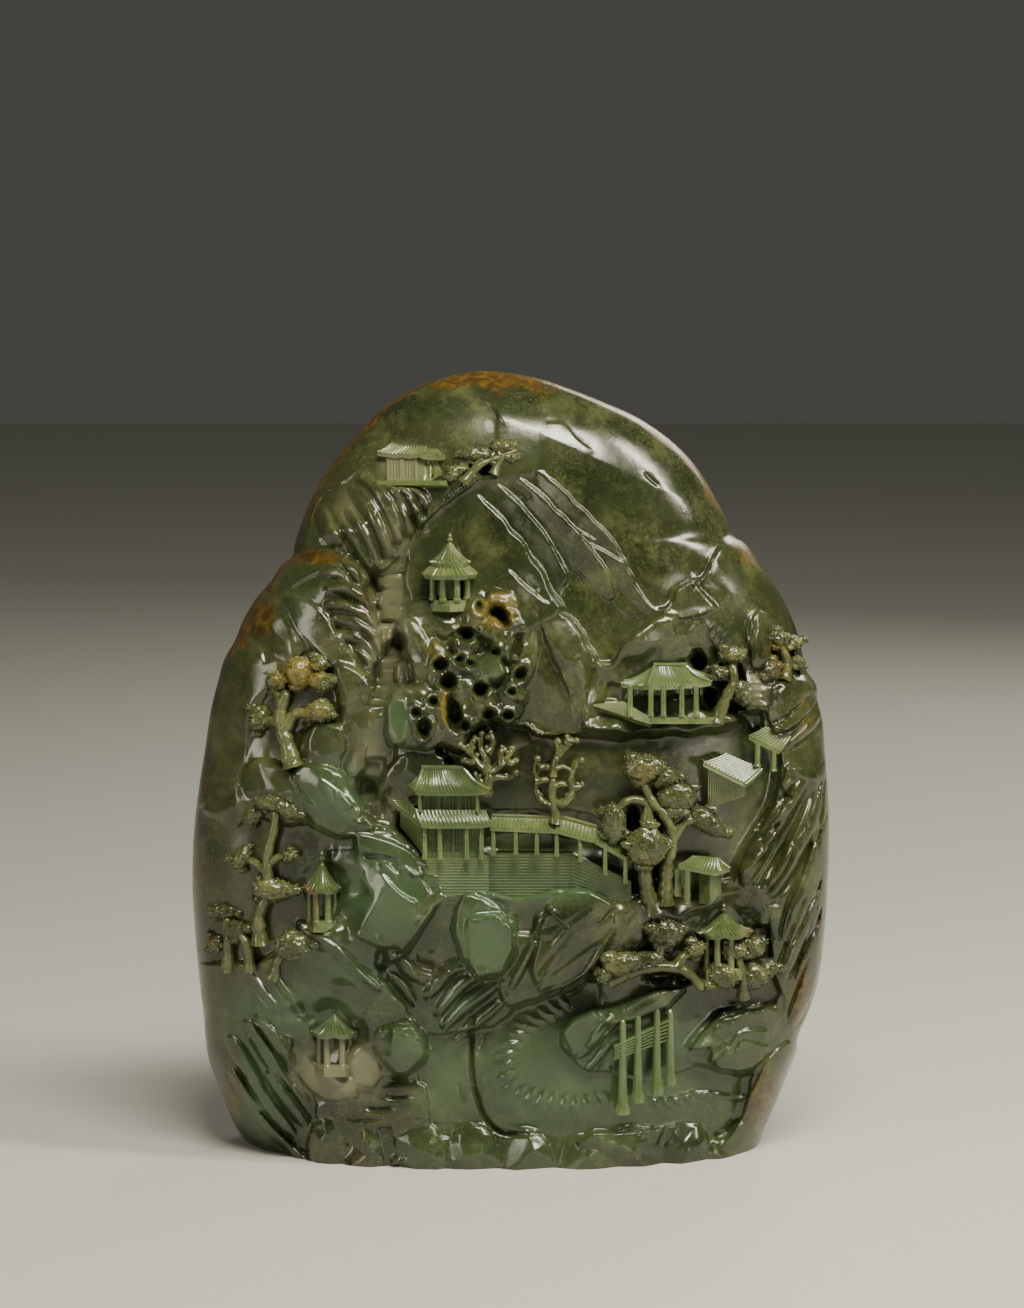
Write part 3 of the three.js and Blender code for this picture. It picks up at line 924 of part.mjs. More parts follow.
function holeBodies() {
  return HOLES.map(([x, z, wide, high]) => {
    const outline = Array.from({ length: HOLE_SIDES }, (_, i) => {
      const turn = (i / HOLE_SIDES) * Math.PI * 2;
      return [x + Math.cos(turn) * wide, z + Math.sin(turn) * high];
    });
    return shaft(outline, uncut(x, z) + HOLE_MOUTH, uncut(x, z) - HOLE_DEPTH);
  });
}

function carve() {
  const core = boulder(() => DRAWN_RELIEF, () => BACK_CARVING);
  const fingers = FINGER_SETS.flatMap(({ slope, lines }) =>
    lines.map(([width, ...points]) => finger(points, width, slopeCut(slope))));
  const stones = FOOT_STONES.map(([x, z, wide, high, turn]) => pad([x, z, FOOT_STONE_CUT], wide, high, turn));
  const landscape = wasm.Manifold.union([
    core,
    ...BACK_SLABS.map(backSlab),
    ...Object.values(GROUNDS).map(ground),
    ...Object.values(ROCKS).map(rock),
    rock(PIERCED_ROCK),
    ...fingers,
    ...stones,
  ]);
  const edge = [...LEFT_EDGE, ...[...RIGHT_EDGE].reverse().slice(1)];
  const withinEdge = shaft(edge, DEPTH, -DEPTH);
  const pierced = wasm.Manifold.union(holeBodies());
  const built = wasm.Manifold.union([...halls(), ...pavilions(), ...landingStage(), ...trees()]);
  const floorBlock = new THREE.BoxGeometry(WIDTH * 2, DEPTH * 2, UNDERGROUND).translate(0, 0,
    -UNDERGROUND / 2);
  return filled(landscape.intersect(withinEdge).subtract(pierced).add(built).subtract(solidOf(floorBlock)));
}

// A joined body without the closed hollows that overlapping forms leave inside it
function filled(solid) {
  return wasm.Manifold.union(solid.decompose().filter((shell) => shell.volume() > 0));
}

// The corners and triangles of a joined body
function facetsOf(solid) {
  const mesh = solid.getMesh();
  const points = [];
  for (let i = 0; i < mesh.vertProperties.length; i += mesh.numProp) {
    points.push(new THREE.Vector3().fromArray(mesh.vertProperties, i));
  }
  const faces = [];
  for (let i = 0; i < mesh.triVerts.length; i += 3) faces.push([...mesh.triVerts.slice(i, i + 3)]);
  return { points, faces };
}

// A corner's planes, each weighed by its triangle's area, as the sums that give a point's distance to them
class PlaneSum {
  constructor() {
    this.sums = new Float64Array(10);
    this.weight = 0;
  }

  addTriangle(a, b, c) {
    const normal = b.clone().sub(a).cross(c.clone().sub(a));
    const weight = normal.length();
    if (weight < 1e-9) return;
    const { x, y, z } = normal.divideScalar(weight);
    const d = -normal.dot(a);
    [x * x, x * y, x * z, x * d, y * y, y * z, y * d, z * z, z * d, d * d].forEach((value, i) => {
      this.sums[i] += value * weight;
    });
    this.weight += weight;
  }

  add(other) {
    other.sums.forEach((value, i) => {
      this.sums[i] += value;
    });
    this.weight += other.weight;
  }

  distance({ x, y, z }) {
    const s = this.sums;
    const total = x * x * s[0] + y * y * s[4] + z * z * s[7] + s[9]
      + 2 * (x * y * s[1] + x * z * s[2] + x * s[3] + y * z * s[5] + y * s[6] + z * s[8]);
    return Math.sqrt(Math.max(0, total) / Math.max(this.weight, 1e-9));
  }
}

// Draws two joined corners together wherever the surface stays where it was to within `slack`. The joins
// of overlapping forms leave many such corners, which the finished stone doesn't need.
function thinned({ points, faces }, slack) {
  const planes = points.map(() => new PlaneSum());
  const around = points.map(() => new Set());
  const alive = new Set(faces.keys());
  faces.forEach(([a, b, c], i) => {
    for (const corner of [a, b, c]) {
      planes[corner].addTriangle(points[a], points[b], points[c]);
      around[corner].add(i);
    }
  });
  const neighbours = (corner) => {
    const corners = [...around[corner]].flatMap((i) => faces[i]);
    return new Set(corners.filter((other) => other !== corner));
  };
  const normalOf = ([a, b, c]) => b.clone().sub(a).cross(c.clone().sub(a));
  // Whether every triangle of `corner` that isn't shared with `partner` keeps facing as it did at `spot`
  const facesHold = (corner, partner, spot) => [...around[corner]].every((i) => {
    const face = faces[i];
    if (face.includes(partner)) return true;
    const before = normalOf(face.map((v) => points[v]));
    const after = normalOf(face.map((v) => (v === corner ? spot : points[v])));
    return after.length() > SMALLEST_FACET && after.normalize().dot(before.normalize()) > TURN_LIMIT;
  });
  for (let pass = 0; pass < THINNING_PASSES; pass += 1) {
    const candidates = [];
    for (const i of alive) {
      faces[i].forEach((a, k) => {
        const b = faces[i][(k + 1) % 3];
        if (a > b) return;
        const both = new PlaneSum();
        both.add(planes[a]);
        both.add(planes[b]);
        const middle = points[a].clone().lerp(points[b], 0.5);
        const spots = [points[a], points[b], middle].map((spot) => [both.distance(spot), spot]);
        const [cost, spot] = spots.sort((one, other) => one[0] - other[0])[0];
        if (cost < slack) candidates.push({ cost, a, b, spot, both });
      });
    }
    candidates.sort((one, other) => one.cost - other.cost);
    const settled = new Set();
    for (const { a, b, spot, both } of candidates) {
      if (settled.has(a) || settled.has(b)) continue;
      const [nearA, nearB] = [neighbours(a), neighbours(b)];
      const shared = [...nearA].filter((corner) => nearB.has(corner));
      if (shared.length !== 2 || !facesHold(a, b, spot) || !facesHold(b, a, spot)) continue;
      for (const i of [...around[b]]) {
        if (faces[i].includes(a)) {
          for (const corner of faces[i]) around[corner].delete(i);
          alive.delete(i);
        } else {
          faces[i] = faces[i].map((corner) => (corner === b ? a : corner));
          around[a].add(i);
        }
      }
      around[b].clear();
      points[a] = spot.clone();
      planes[a] = both;
      for (const corner of [a, ...nearA, ...nearB]) settled.add(corner);
    }
    if (candidates.length === 0 || settled.size === 0) break;
  }
  return { points, faces: [...alive].map((i) => faces[i]) };
}

const jade = new THREE.MeshStandardMaterial({ color: 0x56683f, roughness: 0.32, metalness: 0,
  flatShading: true });
const facets = thinned(facetsOf(carve()), SLACK);
const carving = new THREE.Mesh(geometryFrom(facets.points, facets.faces), jade);
carving.geometry.computeVertexNormals();
carving.name = "jade_boulder";

const model = new THREE.Group();
model.add(carving);
export default model;
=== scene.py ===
# Jade boulder carving: the finished look of a green nephrite boulder whose face is carved with a mountain
# landscape. The stone, its halls, pavilions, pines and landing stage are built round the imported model.
import math

import bmesh
import bpy
import numpy as np
from mathutils import Matrix, Vector


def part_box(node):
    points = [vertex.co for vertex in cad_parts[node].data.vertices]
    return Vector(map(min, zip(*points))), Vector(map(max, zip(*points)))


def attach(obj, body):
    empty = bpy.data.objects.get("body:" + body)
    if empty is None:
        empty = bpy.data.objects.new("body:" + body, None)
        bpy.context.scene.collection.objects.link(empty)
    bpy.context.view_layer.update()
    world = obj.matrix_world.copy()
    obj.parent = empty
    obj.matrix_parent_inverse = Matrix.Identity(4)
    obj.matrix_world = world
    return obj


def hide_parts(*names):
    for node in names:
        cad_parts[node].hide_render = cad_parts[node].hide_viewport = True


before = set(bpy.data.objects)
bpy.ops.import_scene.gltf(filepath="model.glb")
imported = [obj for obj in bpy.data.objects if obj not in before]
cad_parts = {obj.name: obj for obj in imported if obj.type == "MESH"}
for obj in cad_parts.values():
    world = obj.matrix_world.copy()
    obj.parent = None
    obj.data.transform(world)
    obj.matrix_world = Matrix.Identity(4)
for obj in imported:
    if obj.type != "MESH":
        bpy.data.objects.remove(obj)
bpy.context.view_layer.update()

# Driving sizes, in millimetres. The drawn box is the one the landscape was drawn for; the real one is the
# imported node's, and everything follows it.
MILLIMETRE = 0.001
DRAWN_BOX = (191.95, 87.74, 234.5)
LOW_CORNER, HIGH_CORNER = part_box("jade_boulder")
ACROSS, THROUGH, UP = ((high - low) / MILLIMETRE / drawn
                       for low, high, drawn in zip(LOW_CORNER, HIGH_CORNER, DRAWN_BOX))

# How deep the face and the back are cut, and the share of the pebble's half-depth that no cut goes past
RELIEF_DEPTH = 20.0
BACK_CARVING = 1.7
DEEPEST_SHARE = 0.72

# How far a carved edge may stand over the pebble's skin, and how steeply a rock's flanks fall
SKIN_RISE = 0.4
FLANK_STEEPNESS = 4.5

# The eye that the landscape was drawn for: it looks a little down at the boulder
EYE_DISTANCE = 1400.0
EYE_PITCH = math.radians(7)
AIM = np.array([0.6, 0.0, 149.5])
AIM_DRAWN_Z = 154.8
SIGHT = np.array([0.0, math.cos(EYE_PITCH), -math.sin(EYE_PITCH)])
BOARD_UP = np.array([0.0, math.sin(EYE_PITCH), math.cos(EYE_PITCH)])
EYE = AIM - EYE_DISTANCE * SIGHT

# How fine the stone's skin is cut, and how many triangles it keeps
GRAIN = 0.42
BACK_GRAIN = 1.1
BOULDER_TRIANGLES = 196000

# The pebble's edge as drawn, [x, z] from the foot to the crown, and its half-depth at each height
LEFT_EDGE = [
    [-71, -10], [-75, 0], [-77.3, 6.5], [-80, 9.5], [-83, 14.5], [-87, 24.5], [-90.3, 33], [-92, 47],
    [-93.2, 57], [-94.4, 70], [-95.3, 87], [-94.7, 103], [-93, 117], [-91.7, 125], [-89.3, 140],
    [-87.5, 147], [-86, 152.5], [-82.5, 159], [-80, 165], [-77, 170.3], [-71.5, 177], [-68.5, 181.5],
    [-65.4, 183.8], [-64.6, 187.5], [-63.5, 191.5], [-60, 200.5], [-56, 208], [-53, 212], [-46, 220.5],
    [-40, 226.8], [-33, 232], [-28, 234.8], [-22, 237], [-12, 239.4], [-6, 239.8],
]
RIGHT_EDGE = [
    [68, -10], [72, 0], [74.3, 6.5], [77, 14], [80.5, 22], [82.5, 27], [85, 33], [86, 36], [86.3, 39.5],
    [88.5, 45], [92, 55], [94, 68], [95.3, 85], [95.7, 105], [94.5, 125], [93.5, 136], [92.2, 141],
    [92, 145], [88.8, 150], [87, 158.5], [82, 171], [80, 174.5], [75, 182], [70, 188.3], [67.5, 189.8],
    [65, 195], [60, 204.5], [55, 212], [50, 217.3], [45, 221.3], [35, 227.3], [30, 229.5], [20, 233.5],
    [10, 237], [0, 239], [-6, 239.8],
]
HALF_DEPTH = [
    [34, -10], [36.5, 0], [39, 15], [41.5, 32], [43.5, 60], [43.8, 90], [42.5, 120], [39.5, 150], [34.5, 180],
    [29.5, 200], [24, 215], [18.5, 225], [12.5, 232], [7.5, 236.5], [0, 239.8],
]
CROWN = (-6.0, 239.8)
FOOT = -10.0
WIDEST, DEEPEST = 95, 43
ROUNDNESS = 2.35


# Curves and distances on the drawing board

def curve_through(points, step, closed=False):
    """A smooth line through drawn points, as samples about `step` apart."""
    points = np.array(points, float)
    if closed:
        points = np.vstack([points[-1], points, points[:2]])
    else:
        points = np.vstack([2 * points[0] - points[1], points, 2 * points[-1] - points[-2]])
    gaps = np.linalg.norm(np.diff(points, axis=0), axis=1)[:, None]
    slopes = np.diff(points, axis=0) / gaps
    turns = (slopes[:-1] * gaps[1:] + slopes[1:] * gaps[:-1]) / (gaps[:-1] + gaps[1:])
    pieces = []
    for i in range(len(turns) - 1):
        start, end, gap = points[i + 1], points[i + 2], gaps[i + 1, 0]
        t = np.linspace(0, 1, max(2, math.ceil(gap / step) + 1))[:-1, None]
        pieces.append((2 * t**3 - 3 * t**2 + 1) * start + (t**3 - 2 * t**2 + t) * gap * turns[i]
                      + (3 * t**2 - 2 * t**3) * end + (t**3 - t**2) * gap * turns[i + 1])
    if not closed:
        pieces.append(points[-2:-1])
    return np.vstack(pieces)


def arc_lengths(points):
    return np.concatenate([[0], np.cumsum(np.linalg.norm(np.diff(points, axis=0), axis=1))])


def spaced(points, gap):
    """Samples of a line at even gaps, ends included."""
    lengths = arc_lengths(points)
    stops = np.linspace(0, lengths[-1], max(2, round(lengths[-1] / gap) + 1))
    return np.stack([np.interp(stops, lengths, points[:, i]) for i in range(points.shape[1])], 1)


def profile(entries):
    """A function that gives the first number of [number, height] entries at any height."""
    line = curve_through(entries, 0.5)
    heights = np.maximum.accumulate(line[:, 1])
    return lambda z: np.interp(z, heights, line[:, 0])


def ease(value, start, end):
    """0 before start, 1 after end, and smooth between."""
    t = np.clip((value - start) / (end - start), 0, 1)
    return t * t * (3 - 2 * t)


def softer_max(a, b, blend):
    return 0.5 * (a + b + np.sqrt((a - b)**2 + blend**2))


def softer_min(a, b, blend):
    return 0.5 * (a + b - np.sqrt((a - b)**2 + blend**2))


def undulation(x, z, size, seed):
    """A smooth wandering value between about -1 and 1, with hills `size` across."""
    chance = np.random.default_rng(seed)
    total = np.zeros_like(x)
    for _ in range(7):
        turn = chance.uniform(0, 2 * math.pi)
        pitch = 2 * math.pi / (size * chance.uniform(0.7, 1.5))
        total += np.sin((x * math.cos(turn) + z * math.sin(turn)) * pitch + chance.uniform(0, 6.3))
    return total / 3.5


def gouged(x, z, size, seed, turn=0.0, stretch=1.7):
    """Shallow gouge cuts that meet in crisp ridges: 0 in the middle of a cut, about 1 where three meet."""
    along = (x * math.cos(turn) + z * math.sin(turn)) / (size * stretch)
    over = (z * math.cos(turn) - x * math.sin(turn)) / size
    nearest = np.full(np.shape(x), 9.0)
    for step_along, step_over in np.ndindex(3, 3):
        cell_x, cell_z = np.floor(along) + step_along - 1, np.floor(over) + step_over - 1
        mixed = cell_x * 127.1 + cell_z * 311.7 + seed * 17.3
        middle_x = cell_x + 0.5 + 0.42 * np.sin(mixed * 43.7)
        middle_z = cell_z + 0.5 + 0.42 * np.sin(mixed * 91.3 + 2.1)
        nearest = np.minimum(nearest, (along - middle_x)**2 + (over - middle_z)**2)
    return nearest / 0.6


def slid(heights, reach, choose):
    """The highest or lowest value within `reach` cells of each cell."""
    for axis in (0, 1):
        wide = [(0, 0), (0, 0)]
        wide[axis] = (reach, reach)
        padded = np.pad(heights, wide, mode="edge")
        size = heights.shape[axis]
        best = heights
        for shift in range(2 * reach + 1):
            best = choose(best, padded[shift:shift + size] if axis == 0 else padded[:, shift:shift + size])
        heights = best
    return heights


def cut_corners(outline, share=0.14):
    """The outline with each corner cut off."""
    points = np.array(outline, float)
    after = np.roll(points, -1, axis=0)
    ends = np.stack([points + (after - points) * share, after - (after - points) * share], 1)
    return ends.reshape(-1, 2)


def segment_distances(line, x, z, closed=False):
    """For each side of a line: its number, how far off it is, on which side, how far along, its length."""
    ends = np.roll(line, -1, axis=0) if closed else line[1:]
    for number, ((ax, az), (bx, bz)) in enumerate(zip(line, ends)):
        run_x, run_z = bx - ax, bz - az
        length = math.hypot(run_x, run_z) or 1e-9
        share = np.clip(((x - ax) * run_x + (z - az) * run_z) / length**2, 0, 1)
        away = np.hypot(x - ax - share * run_x, z - az - share * run_z)
        side = (run_x * (z - az) - run_z * (x - ax)) / length
        yield number, away, side, share, length


def turned_shares(dx, dz, wide, high, turn):
    """Steps from a middle as shares of a turned form's half-width and half-height."""
    turn = math.radians(turn)
    along = (dx * math.cos(turn) + dz * math.sin(turn)) / wide
    over = (dz * math.cos(turn) - dx * math.sin(turn)) / high
    return along, over


def inside_outline(line, x, z):
    inside = np.zeros(x.shape, bool)
    for (ax, az), (bx, bz) in zip(line, np.roll(line, -1, axis=0)):
        if az == bz:
            continue
        crosses = (az > z) != (bz > z)
        inside ^= crosses & (x < ax + (z - az) * (bx - ax) / (bz - az))
    return inside


def beside_line(line, x, z):
    """The signed distance to a drawn line, more than 0 on its left, and how far along it that is, 0 to 1."""
    best = np.full(x.shape, 1e9)
    signed = np.zeros(x.shape)
    progress = np.zeros(x.shape)
    total = arc_lengths(line)[-1]
    gone = 0.0
    for _, away, side, share, length in segment_distances(line, x, z):
        closer = away < best
        best = np.where(closer, away, best)
        signed = np.where(closer, np.where(side > 0, away, -away), signed)
        progress = np.where(closer, (gone + share * length) / total, progress)
        gone += length
    return signed, progress


# The uncut pebble

left_at = profile(LEFT_EDGE)
right_at = profile(RIGHT_EDGE)
half_depth_at = profile(HALF_DEPTH)


def bulge(share):
    """How round the pebble is at `share` of the way from its middle, 0, to its edge, 1 or -1."""
    return np.maximum(0, 1 - np.abs(share)**ROUNDNESS)**(1 / ROUNDNESS)


def skin_at(x, z):
    """How far the uncut pebble stands before its middle plane at x, z of the drawing."""
    left, right = left_at(z), right_at(z)
    share = (x - (left + right) / 2) / np.maximum((right - left) / 2, 1e-6)
    return half_depth_at(z) * bulge(np.clip(share, -1, 1))


def place(x, z, front):
    """Real points, in millimetres, of what is drawn at x, z and stands `front` before the middle plane."""
    x, z, front = np.broadcast_arrays(np.asarray(x, float), np.asarray(z, float), np.asarray(front, float))
    lift = z - AIM_DRAWN_Z
    board = AIM + np.stack([x - AIM[0], lift * BOARD_UP[1], lift * BOARD_UP[2]], -1)
    reach = (-front - EYE[1]) / (board[..., 1] - EYE[1])
    return (EYE + (board - EYE) * reach[..., None]) * (ACROSS, THROUGH, UP)


def spot(x, z, cut):
    """The real point that is drawn at x, z and lies `cut` below the pebble's skin."""
    return place(x, z, skin_at(np.asarray(x, float), np.asarray(z, float)) - cut)


def drawn_at(points):
    """Where real points are drawn, as x and z."""
    away = points / (ACROSS, THROUGH, UP) - EYE
    scale = EYE_DISTANCE / (away @ SIGHT)
    return AIM[0] + away[:, 0] * scale, AIM_DRAWN_Z + away @ BOARD_UP * scale


def slope_cut(slope, x, z):
    """A cut that changes evenly from the first of two [x, z, cut] to the second."""
    (ax, az, first), (bx, bz, second) = slope
    run_x, run_z = bx - ax, bz - az
    gone = ((x - ax) * run_x + (z - az) * run_z) / (run_x**2 + run_z**2)
    return first + (second - first) * np.clip(gone, 0, 1)


class Board:
    """One face of the boulder, as heights of stone over its drawing, and the carver's ways to work it."""

    def __init__(self, x, z, skin, floor):
        self.x, self.z, self.skin = x, z, skin
        self.front = np.maximum(skin - floor, skin * (1 - DEEPEST_SHARE))

    def near(self, points, margin):
        low, high = np.min(points, axis=0) - margin, np.max(points, axis=0) + margin
        return (self.x > low[0]) & (self.x < high[0]) & (self.z > low[1]) & (self.z < high[1])

    def about(self, x, z, wide, high, margin):
        """Where the face lies round a place, and the steps from it."""
        here = self.near([(x - wide, z - high), (x + wide, z + high)], margin)
        return here, self.x[here] - x, self.z[here] - z

    def beside(self, points, step, margin):
        """Where the face lies near a line, how far beside the line and how far along it."""
        line = curve_through(points, step)
        here = self.near(line, margin)
        return here, *beside_line(line, self.x[here], self.z[here])

    def rock(self, outline, slope, root=16.0, swell=2.6, edge=0.5, seed=1, wander=0.3, steep=FLANK_STEEPNESS,
             blend=0.2, sharp=(0.25, 0.9), chips=3, chip_lean=(0.1, 0.34), corner=0.14, gouge=0.4,
             gouge_size=7.0, wander_size=7):
        """A rock whose face lies at a sloping cut and rises in flat facets from its outline."""
        line = cut_corners(outline, corner)
        here = self.near(line, root / steep + 2)
        x, z, skin = self.x[here], self.z[here], self.skin[here]
        shifted_x = x + wander * undulation(x, z, wander_size, seed + 11)
        shifted_z = z + wander * undulation(x, z, wander_size, seed + 12)
        chance = np.random.default_rng(seed)
        rates = chance.uniform(*sharp, len(line))
        away = np.full(x.shape, 1e9)
        facets = np.full(x.shape, 1e9)
        for number, distance, *_ in segment_distances(line, shifted_x, shifted_z, closed=True):
            away = np.minimum(away, distance)
            facets = np.minimum(facets, distance * rates[number])
        inside = inside_outline(line, shifted_x, shifted_z)
        facets = softer_min(facets, swell, 0.04 * swell + 0.02)
        middle = line.mean(axis=0)
        reach = np.abs(line - middle).mean()
        for _ in range(chips if swell > 0.5 else 0):
            turn = chance.uniform(0, 2 * math.pi)
            run = (x - middle[0]) * math.cos(turn) + (z - middle[1]) * math.sin(turn)
            lean = chance.uniform(*chip_lean)
            facets = softer_min(facets, swell - lean * (run - chance.uniform(-0.3, 0.5) * reach), 0.12)
        grain_way = np.linalg.svd(line - middle)[2][0]
        if gouge:
            cuts = gouged(x, z, gouge_size, seed, math.atan2(grain_way[1], grain_way[0]), 3.0)
            facets = facets + gouge * (np.minimum(cuts, 1) - 0.5) * ease(away, 0, 1.5)
        rounding = edge - np.sqrt(np.maximum(0, edge**2 - np.maximum(0, edge - away)**2))
        fall = np.where(inside, rounding, edge + away * steep)
        made = skin - slope_cut(slope, x, z) + np.where(inside, facets, 0) - fall
        made = np.minimum(made, skin + SKIN_RISE)
        made = np.where(fall < root + edge, made, -1e9)
        self.front[here] = softer_max(self.front[here], made, blend)

    def fold(self, points, high=0.8, low=0.8, reach=3.0, crisp=0.22):
        """A crisp step in the stone along a line: proud on its left, sunk on its right."""
        here, side, progress = self.beside(points, 1.5, reach * 3)
        taper = ease(progress, 0, 0.12) * ease(-progress, -1, -0.82)
        left = 0.5 + 0.5 * np.tanh(side / crisp)
        self.front[here] += taper * np.exp(-np.abs(side) / reach) * (high * left - low * (1 - left))

    def finger(self, points, width, height, dip=1.1):
        """A finger of stone with a crest along a line, thick in the middle, with a gap on either side."""
        here, side, progress = self.beside(points, 1.2, width)
        taper = np.sqrt(np.clip(1 - (2 * progress - 1)**2, 0, 1))**0.7
        half = width * 0.5 * (0.3 + 0.7 * taper)
        share = side / half
        lean = np.where(share > 0.35, (share - 0.35) / 0.65, (0.35 - share) / 1.35)
        body = np.clip(1 - lean**1.4, 0, 1)
        gap = np.exp(-((np.abs(share) - 1.12) / 0.22)**2)
        self.front[here] += taper * (height * body - dip * gap)

    def ridge(self, points, width, height, taper_share=0.3, power=1.2):
        """A tapering ridge with a crest along a line, or a groove where the height is below 0."""
        here, side, progress = self.beside(points, 1.2, width)
        taper = ease(progress, -0.02, taper_share) * ease(-progress, -1.02, -1 + taper_share)
        share = np.clip(1 - np.abs(side) / (width * 0.5 * (0.35 + 0.65 * taper) + 1e-6), 0, 1)
        self.front[here] += height * taper * share**power

    def hole(self, x, z, wide, high, depth, turn=0.0, lip=0.3):
        """A hole worn into the stone, with a rounded lip."""
        here, dx, dz = self.about(x, z, wide, high, max(wide, high) + 2)
        uneven = 1 + 0.14 * undulation(self.x[here], self.z[here], 3, int(abs(x) * 7 + z))
        reach = np.hypot(*turned_shares(dx, dz, wide, high, turn)) * uneven
        sunk = depth * ease(-reach, -1.15, -0.35)
        raised = lip * np.exp(-(((reach - 1) * min(wide, high) - 0.9) / 0.7)**2)
        self.front[here] += raised - sunk

    def knuckle(self, x, z, wide, high, turn, cut, seed, square=2.0, bulk=0.8):
        """A worn lump of stone, rounded like a knuckle, or a block with a higher `square`."""
        here, dx, dz = self.about(x, z, wide, high, 3)
        along, over = turned_shares(dx, dz, wide, high, turn)
        reach = (np.abs(along)**square + np.abs(over)**square)**(1 / square)
        reach = reach * (1 + 0.14 * undulation(self.x[here], self.z[here], 6, seed))
        dome = np.sqrt(1 - np.minimum(reach, 1)**2.6)
        made = self.skin[here] - cut - bulk * min(wide, high) * (1 - dome) - np.maximum(0, reach - 1) * 30
        made = np.minimum(made, self.skin[here] + SKIN_RISE)
        self.front[here] = softer_max(self.front[here], made, 0.35)

    def close_gaps(self, reach, deepest):
        """Fills gaps narrower than twice `reach`, up to `deepest` below what stands beside them."""
        cells = round(reach / GRAIN)
        closed = slid(slid(self.front, cells, np.maximum), cells, np.minimum)
        self.front = softer_max(self.front, closed - deepest, 0.3)

    def niche(self, x, z, wide, high, cut):
        """A soft hollow with an uneven mouth, cut back to an even depth below the skin."""
        here, dx, dz = self.about(x, z, wide, high, 10)
        reach = np.hypot(dx / wide, dz / high)
        reach *= 1 + 0.15 * undulation(self.x[here], self.z[here], 9, int(abs(x) * 3 + z))
        wall = self.skin[here] - cut + np.maximum(0, reach - 0.8) * min(wide, high) * 0.7
        self.front[here] = softer_min(self.front[here], wall, 0.4)

    def smooth(self, times=1):
        for _ in range(times):
            padded = np.pad(self.front, 1, mode="edge")
            across = (padded[:, :-2] + 2 * padded[:, 1:-1] + padded[:, 2:]) / 4
            self.front = (across[:-2] + 2 * across[1:-1] + across[2:]) / 4


